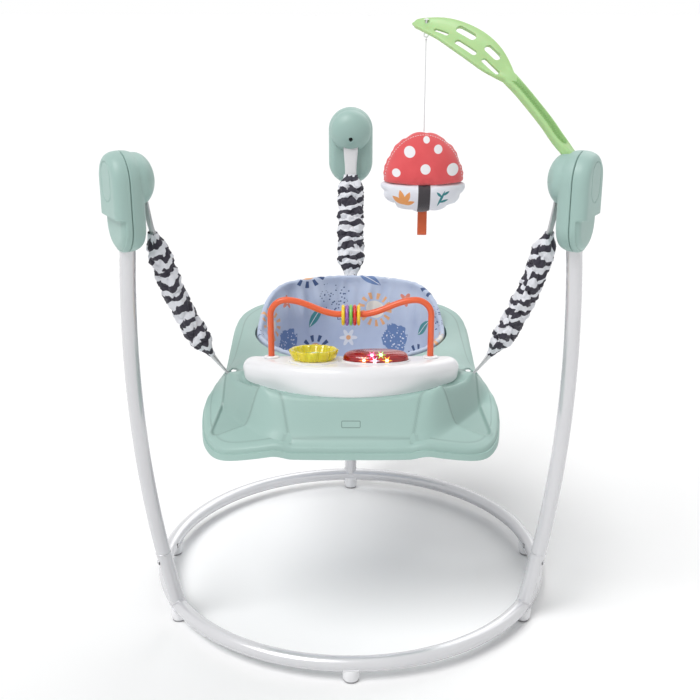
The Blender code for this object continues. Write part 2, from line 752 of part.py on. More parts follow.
def band_with_loop(name, line, loop_centre, width_at, end_hole):
    """Webbing: a loop round a pin, its two layers sewn flat along a line, and an eyelet at the end."""
    inner = PIN_R + 2 * GAP
    outer = inner + LOOP_WALL
    half = LOOP_WALL
    start = (line[0] - loop_centre).normalized()
    heading = math.atan2(start.z, start.y)
    opening = math.asin(half / outer)
    arc = [loop_centre + outer * Vector((0.0, math.cos(a), math.sin(a)))
           for a in np.linspace(heading + opening, heading + 2 * math.pi - opening, 11)]
    one_side, other_side = [], []
    for i, point in enumerate(line):
        ahead = line[min(i + 1, len(line) - 1)]
        behind = line[max(i - 1, 0)] if i else loop_centre
        along = (ahead - behind).normalized()
        side = Vector((0.0, -along.z, along.y))
        one_side.append(point + half * side)
        other_side.append(point - half * side)
    outline = list(reversed(one_side)) + arc + other_side
    hole = [loop_centre + inner * Vector((0.0, math.cos(a), math.sin(a)))
            for a in np.linspace(0, 2 * math.pi, 11)[:-1]]
    flat = prism(name, [(p.y, p.z) for p in outline], -0.5, 0.5, [[(p.y, p.z) for p in hole]])
    for vertex in flat.data.vertices:
        y, z, side = vertex.co
        vertex.co = (side * width_at(z), y, z)
    finish_mesh(flat.data)
    centre, axis = end_hole
    hole_tool = rod("eyelet", centre - axis * 0.01, centre + axis * 0.01, EYELET_R, 8)
    return combine(flat, hole_tool)


def upper_strap(name, hang):
    loop_centre = hang.at(0.0)[0]
    line = [hang.at(s)[0] for s in np.linspace(PIN_R + LOOP_WALL + 0.002, UPPER_STRAP_LENGTH, 5)]
    waist = hang.at(SLEEVE_START - 0.006)[0].z

    def width_at(z):
        share = smoothstep((loop_centre.z - 0.02 - z) / (loop_centre.z - 0.02 - waist))
        return mix(UPPER_STRAP_WIDTH, UPPER_STRAP_WAIST, share)
    point, down, normal = hang.at(UPPER_STRAP_LENGTH - HOOK_R - GAP)
    return band_with_loop(name, line, loop_centre, width_at, (point, normal))


def lower_strap(name, hang):
    clear = PIN_R + LOOP_WALL + 0.002
    top = hang.length - LOWER_STRAP_LENGTH
    line = [hang.bar + Vector((0.0, 0.0015, clear))]
    line += [hang.at(s)[0] for s in np.linspace(hang.length, top, 5)]
    point, down, normal = hang.at(top + HOOK_R + GAP)
    return band_with_loop(name, line, hang.bar, lambda z: LOWER_STRAP_WIDTH, (point, normal))


def spring_ends(hang):
    """The coil runs between the two hooks, which pass through the straps' eyelets."""
    return UPPER_STRAP_LENGTH, hang.length - LOWER_STRAP_LENGTH


def least_gap(points, radius, apart):
    """The least clear distance between stretches of a wire that are more than some points apart."""
    places = np.array([tuple(point) for point in points])
    gaps = [np.linalg.norm(places[i + apart:] - places[i], axis=1).min() for i in range(len(places) - apart)]
    return min(gaps) - 2 * radius


def spring(name, hang):
    """An extension spring with a hook at each end, as one unbroken wire."""
    top, bottom = spring_ends(hang)
    clear = HOOK_R + HOOK_CLEAR
    first, last = top + clear, bottom - clear
    points = []
    hook_angles = np.radians(np.linspace(215, 0, 8))
    for angle in hook_angles:
        point, down, normal = hang.at(top + HOOK_R * math.cos(angle))
        points.append(point + normal * HOOK_R * math.sin(angle))
    count = SPRING_TURNS * 8
    turn_start = math.pi / 2
    for step in range(count + 1):
        share = step / count
        grow = min(1.0, share * count / 6, (1 - share) * count / 6)
        angle = turn_start + 2 * math.pi * SPRING_TURNS * share
        point, down, normal = hang.at(mix(first, last, share))
        radius = SPRING_R * smoothstep(grow)
        points.append(point + radius * (Vector((math.cos(angle), 0, 0)) + normal * math.sin(angle)))
    for angle in reversed(hook_angles):
        point, down, normal = hang.at(bottom - HOOK_R * math.cos(angle))
        points.append(point - normal * HOOK_R * math.sin(angle))
    gap = least_gap(points, WIRE_R, apart=6)
    print(f"{name}: least gap of the wire to itself {1000 * gap:.2f} mm")
    return tube(name, points, WIRE_R, 4)


def sleeve_size(share, angle, seed):
    """Half width and half depth of the gathered sleeve, with its folds."""
    ends = smoothstep(share / 0.13) * smoothstep((1 - share) / 0.16)
    tip_width = mix(SLEEVE_TOP_WIDTH, SLEEVE_END_WIDTH, share)
    tip_depth = mix(SLEEVE_TOP_DEPTH, SLEEVE_END_DEPTH, share)
    folds = FOLDS[0] * math.sin(2 * math.pi * 7 * share + 1.3 * math.sin(angle + seed))
    folds += FOLDS[1] * math.sin(2 * math.pi * 3 * share + 2 * angle + 2 * seed)
    swell = folds * ends
    return mix(tip_width, SLEEVE_HALF_WIDTH, ends) + swell, mix(tip_depth, SLEEVE_HALF_DEPTH, ends) + swell


def bore_ring(inward, strap_width):
    """Half width, half depth and squareness of the sleeve's inside, at a distance from its nearer end.

    It is flat on the strap, then deep enough for the spring's hook and at last round over the coil.
    """
    coil = SPRING_R + WIRE_R + 0.0018
    hook = HOOK_R + WIRE_R + 0.0010
    flat_width, flat_depth = strap_width / 2 + 4 * GAP, LOOP_WALL + 3 * GAP
    places = BORE_PLACES
    width = np.interp(inward, places, (flat_width, flat_width, flat_width, coil))
    depth = np.interp(inward, places, (flat_depth, flat_depth, hook, coil))
    square = np.interp(inward, places, (0.25, 0.25, 0.5, 1.0))
    return width, depth, square


def sleeve(name, hang, seed):
    start, stop = SLEEVE_START, hang.length - SLEEVE_STOP
    angles = np.linspace(0, 2 * math.pi, SLEEVE_SIDES + 1)[:-1]

    def outside(share):
        point, down, normal = hang.at(mix(start, stop, share))
        points = []
        for angle in angles:
            width, depth = sleeve_size(share, angle, seed)
            points.append(point + Vector((width * math.cos(angle), 0, 0)) + normal * depth * math.sin(angle))
        return points

    def inside(inward, from_top):
        point, down, normal = hang.at(start + inward if from_top else stop - inward)
        width, depth, square = bore_ring(inward, UPPER_STRAP_WAIST if from_top else LOWER_STRAP_WIDTH)
        points = []
        for angle in angles:
            across = math.copysign(abs(math.cos(angle)) ** square, math.cos(angle))
            through = math.copysign(abs(math.sin(angle)) ** square, math.sin(angle))
            points.append(point + Vector((width * across, 0, 0)) + normal * depth * through)
        return points
    rings = [outside(share) for share in np.linspace(0, 1, SLEEVE_RINGS)]
    rings += [inside(inward, False) for inward in BORE_PLACES]
    rings.append(inside((stop - start) / 2, False))
    rings += [inside(inward, True) for inward in reversed(BORE_PLACES)]
    return loft(name, rings, chain=True)


# Tray

def tray_outline():
    half = [Vector((x, y, 0.0)) for x, y in TRAY_HALF_OUTLINE]
    other = [Vector((-p.x, p.y, 0.0)) for p in reversed(half[1:-1])]
    return catmull_rom(half + other, 12, closed=True)


def rim_table():
    """Distance of the tray's outline from the seat's axis, against the direction."""
    points = tray_outline()
    angles = np.array([math.atan2(p.y - SEAT_Y, p.x) for p in points])
    radii = np.array([math.hypot(p.x, p.y - SEAT_Y) for p in points])
    order = np.argsort(angles)
    return angles[order], radii[order]


RIM_ANGLES, RIM_RADII = rim_table()


def rim_radius(angle):
    angle = math.atan2(math.sin(angle), math.cos(angle))
    return float(np.interp(angle, RIM_ANGLES, RIM_RADII, period=2 * math.pi))


def share_between(value, ends):
    return (value - ends[0]) / (ends[1] - ends[0])


def lobe_height(x, y):
    return LOBE_Z - LOBE_FALL_X * (abs(x) - LOBE_POINT[0]) + LOBE_FALL_Y * (y - LOBE_POINT[1])


def tray_height(angle, share):
    """Height of the tray's surface, from the seat hole (share 0) to the rim (share 1)."""
    rim = rim_radius(angle)
    radius = mix(HOLE_R, rim, share)
    x, y = radius * math.cos(angle), SEAT_Y + radius * math.sin(angle)
    apron = mix(DECK_Z, FRONT_RIM_Z, smoothstep((share - 0.64) / 0.36))
    lobe = mix(DECK_Z, lobe_height(x, y), smoothstep((share - 0.2) / 0.5))
    rim_y = SEAT_Y + rim * math.sin(angle)
    rim_z = mix(FRONT_RIM_Z, REAR_RIM_Z, smoothstep(share_between(rim_y, RIM_RISE_Y)))
    side = mix(DECK_Z, rim_z, share ** 2)
    crease = CREASE_POINT[0] + CREASE_SLOPE * (y - CREASE_POINT[1])
    front = mix(apron, lobe, smoothstep((abs(x) - crease) / CREASE_WIDTH))
    return mix(front, side, smoothstep(share_between(y, LOBE_REAR_Y)))


def tray_height_at(x, y):
    angle = math.atan2(y - SEAT_Y, x)
    share = (math.hypot(x, y - SEAT_Y) - HOLE_R) / (rim_radius(angle) - HOLE_R)
    return tray_height(angle, share)


TRAY_SHARES = (0.0, 0.30, 0.53, 0.69, 0.84, 1.0)


def tray_angles():
    """Directions from the seat's axis, closer together where the tray's outline turns."""
    points = tray_outline()
    count = len(points)
    measure = [0.0]
    headings = []
    perimeter = sum((points[(i + 1) % count] - points[i]).length for i in range(count))
    for i in range(count):
        here, ahead, beyond = points[i], points[(i + 1) % count], points[(i + 2) % count]
        turn = (ahead - here).angle(beyond - ahead)
        swing = (here - SEAT_AXIS).angle(ahead - SEAT_AXIS)
        share = (ahead - here).length / perimeter
        measure.append(measure[-1] + share + (swing + CORNER_WEIGHT * turn) / (2 * math.pi))
        headings.append(math.atan2(here.y - SEAT_Y, here.x))
    headings = np.unwrap(headings + headings[:1])
    places = (np.arange(TRAY_SIDES) + 0.5) / TRAY_SIDES * measure[-1]
    return [float(angle) for angle in np.interp(places, measure, headings)]


TRAY_ANGLES = tray_angles()


def tray_ring(share, lift=0.0, flare=0.0, height=None):
    points = []
    for angle in TRAY_ANGLES:
        radius = mix(HOLE_R, rim_radius(angle), share) + flare
        z = tray_height(angle, share) + lift if height is None else height
        points.append((radius * math.cos(angle), SEAT_Y + radius * math.sin(angle), z))
    return points


def tray_skin(name):
    """The top, lip and inner flange as one open surface with a wall."""
    rings = [tray_ring(0.0, height=DECK_Z - FLANGE_DEPTH)]
    rings += [tray_ring(share) for share in TRAY_SHARES]
    rings.append(tray_ring(1.0, lift=-LIP_DEPTH, flare=LIP_FLARE))
    obj = loft(name, rings, open_ends=True)
    solidify = obj.modifiers.new("wall", "SOLIDIFY")
    solidify.thickness = TRAY_WALL
    solidify.offset = -1.0
    solidify.use_even_offset = True
    return bake(obj)


def tray_block(lift):
    """Everything below the tray's surface, for fitting what stands on it."""
    floor = FRONT_RIM_Z - 0.06
    rings = [tray_ring(0.0, height=floor)]
    rings += [tray_ring(share, lift) for share in TRAY_SHARES]
    rings.append(tray_ring(1.0, height=floor))
    return loft("tray_block", rings, chain=True)


def slot_height(azimuth):
    place = turned(azimuth, SLOT_R)
    return tray_height_at(place.x, place.y)


def slot_cut(azimuth):
    height = slot_height(azimuth)
    half = SLOT_LENGTH / 2
    cut = box("slot", (-half, SLOT_REACH[0], height - 0.05), (half, SLOT_REACH[1], height + 0.05))
    return to_azimuth(cut, azimuth)


def strap_anchor(azimuth):
    """Two cheeks beside a slot, with the moulded bar between them that the lower strap loops round."""
    height = slot_height(azimuth)
    bar = Hang(height).bar
    inner = SLOT_LENGTH / 2 + 0.0010
    outer = inner + CHEEK_WALL
    anchor = rod("anchor", (-outer + 0.001, bar.y, bar.z), (outer - 0.001, bar.y, bar.z), PIN_R, 12)
    for side in (-1, 1):
        low, high = sorted((side * inner, side * outer))
        cheek = box("cheek", (low, bar.y - BAR_IN, bar.z - PIN_R - 0.001),
                    (high, bar.y + BAR_IN, height + 0.02))
        anchor = combine(anchor, cheek, "UNION")
    return combine(to_azimuth(anchor, azimuth), tray_block(-TRAY_WALL / 3), "INTERSECT")


def rounded_polygon(corners, radius, corner_points=5):
    """A polygon with round corners."""
    corners = [Vector((*corner, 0.0)) for corner in corners]
    count = len(corners)
    centre = sum(corners, Vector()) / count
    outline = []
    for i in range(count):
        before, here, after = corners[i - 1], corners[i], corners[(i + 1) % count]
        to_before, to_after = (before - here).normalized(), (after - here).normalized()
        half_angle = to_before.angle(to_after) / 2
        middle = here + (to_before + to_after).normalized() * radius / math.sin(half_angle)
        outward = (here - middle).normalized()
        spread = math.pi / 2 - half_angle
        heading = math.atan2(outward.y, outward.x)
        turn = 1 if (here - centre).cross(after - centre).z > 0 else -1
        for angle in np.linspace(-turn * spread, turn * spread, corner_points):
            a = heading + angle
            outline.append(middle + radius * Vector((math.cos(a), math.sin(a), 0.0)))
    return [(p.x, p.y) for p in outline]


def pocket(side):
    """The shallow rounded triangle in a lobe, which keeps its depth all over."""
    corners = [(side * x, y) for x, y in POCKET_CORNERS]
    outline = rounded_polygon(corners, POCKET_ROUND)
    column = prism("pocket", outline, FRONT_RIM_Z - 0.05, DECK_Z + 0.02)
    return combine(column, tray_block(-POCKET_DEPTH))


def console_opening(margin):
    return box("opening", (-PAN_X - margin, PAN_Y[0] - margin, PAN_BOTTOM),
               (PAN_X + margin, PAN_Y[1] + margin, DECK_Z + 0.02))


def tray_shell():
    tray = tray_skin("tray_shell")
    for side in (-1, 1):
        tray = combine(tray, pocket(side))
    for azimuth in LEG_AZIMUTHS.values():
        tray = combine(tray, slot_cut(azimuth))
        tray = combine(tray, strap_anchor(azimuth), "UNION")
    return combine(tray, console_opening(GAP))


# Seat and the ring that it turns on, about the seat's axis

def track_top():
    return DECK_Z - FLANGE_DEPTH - GAP


def ledge_top():
    return track_top() - SEAT_RING_HEIGHT - 3 * GAP


def seat_track():
    """An angle ring under the tray's flange, whose ledge carries the seat's ring."""
    inner = FABRIC_NECK_R + 0.0015
    wall = HOLE_R - 0.0005
    outer = HOLE_R + 0.0125
    low = ledge_top() - TRACK_LEDGE
    profile = ((outer, track_top()), (outer, low), (inner, low), (inner, ledge_top()),
               (wall, ledge_top()), (wall, track_top()))
    return lathe("seat_track", profile, SEAT_SIDES)


def seat_ring():
    inner = FABRIC_NECK_R + GAP
    outer = HOLE_R - SEAT_PLAY
    low = ledge_top() + GAP
    high = low + SEAT_RING_HEIGHT
    profile = ((outer - 0.001, high), (outer, high - 0.001), (outer, low), (inner, low), (inner, high))
    return lathe("seat_ring", profile, SEAT_SIDES)


def seat_rim_height(angle):
    """The seat's edge is low at the front and rises to a high back."""
    from_back = abs(math.degrees(math.atan2(math.cos(angle), math.sin(angle))))
    return mix(FRONT_Z, BACK_Z, smoothstep((95 - from_back) / 65))


def seat_fabric():
    """The fabric bucket: a padded wall with a rolled edge, cut by two leg holes."""
    ring_top = ledge_top() + GAP + SEAT_RING_HEIGHT
    depth = DECK_Z - SEAT_BOTTOM
    outer = (*SEAT_PROFILE,
             (FABRIC_NECK_R, (ledge_top() - TRACK_LEDGE - SEAT_BOTTOM) / depth),
             (FABRIC_NECK_R, (ring_top + GAP - SEAT_BOTTOM) / depth))
    angles = [2 * math.pi * i / SEAT_SIDES for i in range(SEAT_SIDES)]

    def ring(radius, height):
        return [(radius * math.cos(a), radius * math.sin(a), height(a)) for a in angles]

    def flat(share):
        return lambda a: SEAT_BOTTOM + share * depth
    rings = [ring(radius, flat(share)) for radius, share in outer]
    low = ring_top + ROLL_DROP[0]
    rings.append(ring(FABRIC_R - ROLL_IN[0], lambda a: low))
    rings.append(ring(FABRIC_R, lambda a: mix(low, seat_rim_height(a), 0.55)))
    for inset, drop in zip(ROLL_IN[1:], ROLL_DROP[1:]):
        rings.append(ring(FABRIC_R - inset, lambda a, d=drop: seat_rim_height(a) - d))
    inner = [(FABRIC_NECK_R - FABRIC_WALL, (ring_top - SEAT_BOTTOM) / depth)]
    inner += [(radius - FABRIC_WALL, share + 0.012) for radius, share in reversed(outer[2:4])]
    inner += list(SEAT_INNER)
    rings += [ring(radius, flat(share)) for radius, share in inner]
    bucket = loft("seat_fabric", rings)
    for side in (-1, 1):
        azimuth = 270 + side * LEG_HOLE_AZIMUTH
        inside, outside = [turned(azimuth, radius, LEG_HOLE_Z + rise) for radius, rise in LEG_HOLE_ENDS]
        bucket = combine(bucket, rod("leg_hole", inside, outside, LEG_HOLE_R, 16))
    return bucket


# Console

def console_top_z(y):
    return CONSOLE_POINT[1] - (y - CONSOLE_POINT[0]) * math.tan(CONSOLE_TILT)


def console_outline(inset, height):
    """A segment of a circle with round corners, its straight side towards the seat."""
    corner_y = CONSOLE_REAR_Y - CONSOLE_CORNER_R
    corner_x = math.sqrt((CONSOLE_ARC_R - CONSOLE_CORNER_R) ** 2 - (corner_y - CONSOLE_ARC_Y) ** 2)
    tangent = math.atan2(corner_y - CONSOLE_ARC_Y, corner_x)
    points = []
    for angle in np.linspace(math.pi - tangent, 2 * math.pi + tangent, 13):
        radius = CONSOLE_ARC_R - inset
        points.append((radius * math.cos(angle), CONSOLE_ARC_Y + radius * math.sin(angle)))
    radius = CONSOLE_CORNER_R - inset
    for angle in np.linspace(tangent, math.pi / 2, 4)[1:]:
        points.append((corner_x + radius * math.cos(angle), corner_y + radius * math.sin(angle)))
    for angle in np.linspace(math.pi / 2, math.pi - tangent, 4)[:-1]:
        points.append((-corner_x + radius * math.cos(angle), corner_y + radius * math.sin(angle)))
    return [(x, y, height(y)) for x, y in points]


def console_body(name, inset, bottom):
    """The console's block, or with an inset the hollow inside it."""
    stations = CONSOLE_EDGE[::2] if inset else CONSOLE_EDGE
    rings = [console_outline(inset + CONSOLE_DRAFT, lambda y: bottom)]
    for station, drop in stations:
        rings.append(console_outline(inset + station, lambda y, d=drop: console_top_z(y) - inset - d))
    return loft(name, rings)


def console_frame(place):
    """Carries a piece made about Z onto the console's leaning top."""
    x, y = place
    return Matrix.Translation((x, y, console_top_z(y))) @ Matrix.Rotation(-CONSOLE_TILT, 4, "X")


def oval(radii, margin, count=22):
    a, b = radii[0] + margin, radii[1] + margin
    return [(a * math.cos(t), b * math.sin(t)) for t in np.linspace(0, 2 * math.pi, count + 1)[:-1]]


def console_top():
    below = FRONT_RIM_Z + 0.01
    wall = CONSOLE_WALL
    at_dome, at_spinner = console_frame(DOME_POS), console_frame(SPINNER_POS)
    top = console_top_z(BAR_Y)
    headings = np.radians(np.arange(22.5, 360, 45))
    octagon = [(PLINTH_R * math.cos(heading), PLINTH_R * math.sin(heading)) for heading in headings]
    rim = prism("rim", oval(LIGHT_DOME, RIM_WIDTH), -wall / 2, RIM_HEIGHT)
    plinth = prism("plinth", octagon, -wall / 2, RIM_HEIGHT)
    shell = join_all(console_body("console_top", 0.0, below), transformed(rim, at_dome),
                     transformed(plinth, at_spinner))
    shell = combine(shell, console_body("hollow", wall, below - 0.01))
    for x in (-BAR_X, BAR_X):
        boss = rod("boss", (x, BAR_Y, top - BAR_BOSS_DEPTH), (x, BAR_Y, top - wall / 2), BAR_BOSS_R, 14)
        shell = combine(shell, boss, "UNION")
    axle_boss = rod("boss", (0, 0, -AXLE_BOSS_DEPTH), (0, 0, -wall / 2), AXLE_BOSS_R, 14)
    shell = combine(shell, transformed(axle_boss, at_spinner), "UNION")
    for x in (-BAR_X, BAR_X):
        hole = rod("hole", (x, BAR_Y, top - 0.05), (x, BAR_Y, top + 0.05), BAR_R + GAP, 12)
        shell = combine(shell, hole)
    axle_hole = rod("hole", (0, 0, -0.03), (0, 0, 0.02), AXLE_R + GAP, 12)
    window = prism("window", oval(LIGHT_DOME, 2 * GAP), -0.02, 0.02)
    return cut_all(shell, transformed(axle_hole, at_spinner), transformed(window, at_dome), tray_block(GAP))


def console_base():
    """A pan for the batteries, board and speaker, hung by its flange in the tray's opening."""
    flange_low, flange_high = DECK_Z + GAP, DECK_Z + GAP + PAN_WALL
    pan = box("console_base", (-PAN_X, PAN_Y[0], PAN_BOTTOM), (PAN_X, PAN_Y[1], flange_high))
    flange = box("flange", (-PAN_X - PAN_FLANGE, PAN_Y[0] - PAN_FLANGE, flange_low),
                 (PAN_X + PAN_FLANGE, PAN_Y[1] + PAN_FLANGE, flange_high))
    pan = combine(pan, flange, "UNION")
    inside = box("inside", (-PAN_X + PAN_WALL, PAN_Y[0] + PAN_WALL, PAN_BOTTOM + PAN_WALL),
                 (PAN_X - PAN_WALL, PAN_Y[1] - PAN_WALL, flange_high + 0.02))
    door = door_block("door_hole", GAP, PAN_BOTTOM - 0.01, PAN_BOTTOM + 0.01)
    travel = SWITCH_TRAVEL + GAP
    x, y = switch_place()
    slit = box("slit", (x - SWITCH_LENGTH / 2 - GAP, y - SWITCH_WIDTH / 2, PAN_BOTTOM - 0.01),
               (x + SWITCH_LENGTH / 2 + travel, y + SWITCH_WIDTH / 2, PAN_BOTTOM + 0.01))
    grille = []
    for radius, angle in [(0.0, 0.0)] + [(GRILLE_PITCH, math.radians(90 * k)) for k in range(4)]:
        x, y = SPEAKER_X + radius * math.cos(angle), pan_middle() + radius * math.sin(angle)
        grille.append(rod("grille", (x, y, PAN_BOTTOM - 0.01), (x, y, PAN_BOTTOM + 0.01), GRILLE_R, 6))
    return cut_all(pan, inside, door, slit, *grille)


def pan_middle():
    return (PAN_Y[0] + PAN_Y[1]) / 2


def door_block(name, margin, low, high):
    half_x = BATTERY_LENGTH / 2 + 0.004 + margin
    half_y = 1.5 * BATTERY_PITCH + 0.002 + margin
    return box(name, (BATTERY_X - half_x, pan_middle() - half_y, low),
               (BATTERY_X + half_x, pan_middle() + half_y, high))


def board_bottom():
    return DECK_Z + PAN_WALL + 2 * GAP


def circuit_board():
    """The board, its chip and the five lamps on it that reach up into the dome."""
    low = board_bottom()
    margin = PAN_FLANGE * 0.4
    board = box("circuit_board", (-0.012, PAN_Y[0] - margin, low),
                (PAN_X + margin, PAN_Y[1] + margin, low + BOARD_WALL))
    chip = box("chip", (0.058, -0.178, low + BOARD_WALL / 2), (0.070, -0.166, low + BOARD_WALL + 0.002))
    board = combine(board, chip, "UNION")
    for x, y in LED_PLACES:
        bottom = low + BOARD_WALL / 2
        top = console_top_z(DOME_POS[1] + y) + 0.0065
        profile = ((0.0, top), (LED_R * 0.64, top - 0.0006), (LED_R, top - 0.0025), (LED_R, bottom),
                   (0.0, bottom))
        lamp = moved(lathe("lamp", profile, 6, closed=False), DOME_POS[0] + x, DOME_POS[1] + y)
        board = combine(board, lamp, "UNION")
    return board


def speaker():
    low = PAN_BOTTOM + PAN_WALL + GAP
    profile = ((0.0, low + 0.011), (0.009, low + 0.011), (0.009, low + 0.006), (SPEAKER_R, low + 0.003),
               (SPEAKER_R, low), (0.0, low))
    return moved(lathe("speaker", profile, 16, closed=False), SPEAKER_X, pan_middle())


def switch_place():
    return 0.062, pan_middle() - 0.014


def power_switch():
    """A slider under the pan, with a flange inside that keeps it in its slit."""
    x, y = switch_place()
    half_x, half_y = SWITCH_LENGTH / 2, SWITCH_WIDTH / 2 - GAP
    stem = box("power_switch", (x - half_x, y - half_y, PAN_BOTTOM - 0.002),
               (x + half_x, y + half_y, PAN_BOTTOM + PAN_WALL + 0.002))
    flange = box("flange", (x - 0.005, y - 0.005, PAN_BOTTOM + PAN_WALL + GAP),
                 (x + 0.005, y + 0.005, PAN_BOTTOM + PAN_WALL + 0.003))
    return combine(stem, flange, "UNION")


# Toys on the console

def scallop(radius, height, depth=0.0012):
    """A ring of points with shallow lobes."""
    count = SPINNER_LOBES * 3
    points = []
    for i in range(count):
        angle = 2 * math.pi * i / count
        swell = radius + depth * math.cos(SPINNER_LOBES * angle)
        points.append((swell * math.cos(angle), swell * math.sin(angle), height))
    return points


def spinner_ring():
    """A scalloped cup that widens upward and turns about its axle."""
    base = RIM_HEIGHT + GAP
    top = base + SPINNER_HEIGHT
    rings = [scallop(SPINNER_R - 0.006, base, 0.0006), scallop(SPINNER_R, top - 0.004),
             scallop(SPINNER_R - 0.0008, top), scallop(SPINNER_R - 0.005, top),
             scallop(SPINNER_R - 0.0075, base + 0.006), scallop(SPINNER_R - 0.012, base + 0.003, 0.0006)]
    cup = loft("spinner_ring", rings)
    hub = rod("hub", (0, 0, base), (0, 0, base + 0.006), 0.0085, 16)
    cup = combine(cup, hub, "UNION")
    cup = combine(cup, rod("hole", (0, 0, -0.02), (0, 0, 0.05), AXLE_R + GAP, 12))
    return transformed(cup, console_frame(SPINNER_POS))


def spinner_flower():
    """The green insert: petals round the hub, pressed on it."""
    base = RIM_HEIGHT + 2 * GAP + 0.003
    petals = 8
    outline = []
    for i in range(petals * 4):
        angle = 2 * math.pi * i / (petals * 4)
        radius = 0.0175 + 0.0035 * math.cos(petals * angle)
        outline.append((radius * math.cos(angle), radius * math.sin(angle)))
    hole = [(0.0088 * math.cos(a), 0.0088 * math.sin(a)) for a in np.linspace(0, 2 * math.pi, 17)[:-1]]
    flower = prism("spinner_flower", outline, base, base + 0.004, [hole])
    return transformed(flower, console_frame(SPINNER_POS))


def spinner_axle():
    top = RIM_HEIGHT + 2 * GAP + 0.006
    profile = ((0.0, top + 0.004), (0.0045, top + 0.0032), (0.0070, top), (AXLE_R, top),
               (AXLE_R, -0.0135), (0.0, -0.0135))
    return transformed(lathe("spinner_axle", profile, 16, closed=False), console_frame(SPINNER_POS))


def light_dome():
    """A clear oval button over the lamps, kept under the console's wall by a flange."""
    a, b = LIGHT_DOME
    top = LIGHT_DOME_HEIGHT
    under = -CONSOLE_WALL - GAP

    def ring(inset, height):
        return [(x, y, height) for x, y in oval((a, b), -inset)]
    outer = [ring(-0.0020, under - 0.0030), ring(-0.0020, under), ring(0.0, under), ring(0.0, 0.0040),
             ring(0.0030, 0.0105), ring(0.0100, 0.0150), ring(0.0200, top)]
    inner = [ring(0.0205, top - 0.0022), ring(0.0090, 0.0112), ring(0.0024, under - 0.0030)]
    dome = loft("light_dome", outer + inner, chain=True)
    lid = loft("lid", [ring(0.0195, top - 0.0022), ring(0.0195, top)])
    dome = combine(dome, lid, "UNION")
    return transformed(dome, console_frame(DOME_POS))


def bar_line():
    """Up from one collar, over a crest, down to the dip that holds the rings, and back."""
    shoulder = BAR_X - CREST_X
    foot = console_top_z(BAR_Y) - BAR_FOOT
    half = [(-BAR_X, foot), (-BAR_X, CREST_Z - shoulder - BAR_STRAIGHT)]
    for angle in np.linspace(math.pi, math.pi / 2, 5):
        half.append((-CREST_X + shoulder * math.cos(angle), CREST_Z - shoulder + shoulder * math.sin(angle)))
    for share in np.linspace(0, 1, 8)[1:]:
        x = mix(CREST_X, DIP_FLAT, share)
        middle = (CREST_Z + DIP_Z) / 2
        half.append((-x, middle + (CREST_Z - DIP_Z) / 2 * math.cos(math.pi * share)))
    other = [(-x, z) for x, z in reversed(half)]
    return [Vector((x, BAR_Y, z)) for x, z in half + other]


def bar_collar(name, side):
    """A collar round the foot of the toy bar."""
    inner, outer, height = BAR_R + GAP, 0.0130, 0.0034
    profile = ((outer - 0.0025, height), (outer, 0.0010), (outer, GAP), (inner, GAP), (inner, height))
    collar = lathe(name, profile, 12)
    x = side * BAR_X
    z = console_top_z(BAR_Y)
    upright = Matrix.Translation((x, BAR_Y, z))
    lean = Matrix.Identity(4)
    lean[2][1] = -math.tan(CONSOLE_TILT)
    return transformed(collar, upright @ lean)


def bar_ring(name):
    """A ring for the toy bar, about its own axis along X."""
    middle = (RING_HOLE_R + RING_OUTER_R) / 2
    thick = (RING_OUTER_R - RING_HOLE_R) / 2
    profile = [(middle + thick * math.cos(a), RING_WIDTH / 2 * math.sin(a))
               for a in np.linspace(0, 2 * math.pi, 7)[:-1]]
    return transformed(lathe(name, profile, 12), Matrix.Rotation(math.pi / 2, 4, "Y"))


# Leaf arm and hanging toy, made in the plane of the right leg

def arm_points():
    return catmull_rom([Vector((0.0, ARM_TANG_R - inward, POD_TOP + up)) for inward, up in ARM_LINE], 4)


def arm_section(share):
    """Width, thickness and bank of the arm: a square stem that opens into a leaf."""
    if share < LEAF_SHARE:
        blend = smoothstep((share - LEAF_SHARE + 0.06) / 0.06)
        return mix(STEM_WIDTH, STEM_WIDTH * 1.15, blend), mix(STEM_THICK, LEAF_THICK * 1.5, blend), 0.0
    leaf = (share - LEAF_SHARE) / (1 - LEAF_SHARE)
    outline = math.sin(math.pi * min(leaf * 0.92 + 0.04, 1.0)) ** 0.62
    width = max(LEAF_WIDTH * outline, mix(STEM_WIDTH * 1.15, 0.008, smoothstep(leaf * 3)))
    thick = mix(LEAF_THICK * 1.5, LEAF_THICK, smoothstep(leaf * 6))
    return width, thick, LEAF_BANK * smoothstep(leaf * 4)


def arm_frame(share):
    """The point at a share of the arm, its heading, and the directions of its width and thickness."""
    points = np.array([tuple(point) for point in arm_points()])
    steps = np.linalg.norm(np.diff(points, axis=0), axis=1)
    lengths = np.concatenate(([0.0], np.cumsum(steps))) / steps.sum()

    def point(where):
        where = min(max(where, 0.0), 1.0)
        return Vector([np.interp(where, lengths, points[:, k]) for k in range(3)])
    along = (point(share + 0.01) - point(share - 0.01)).normalized()
    flat = Vector((1.0, 0.0, 0.0))
    upward = flat.cross(along)
    if upward.z < 0:
        upward = -upward
    bank = arm_section(share)[2]
    width_way = flat * math.cos(bank) + upward * math.sin(bank)
    thick_way = upward * math.cos(bank) - flat * math.sin(bank)
    return point(share), along, width_way, thick_way


def arm_ring(share):
    point, along, width_way, thick_way = arm_frame(share)
    width, thick, bank = arm_section(share)
    corner = min(width, thick) * 0.25
    w, t = width / 2, thick / 2
    shape = ((w, -t + corner), (w, t - corner), (w - corner, t), (-w + corner, t),
             (-w, t - corner), (-w, -t + corner), (-w + corner, -t), (w - corner, -t))
    return [point + width_way * a + thick_way * b for a, b in shape]


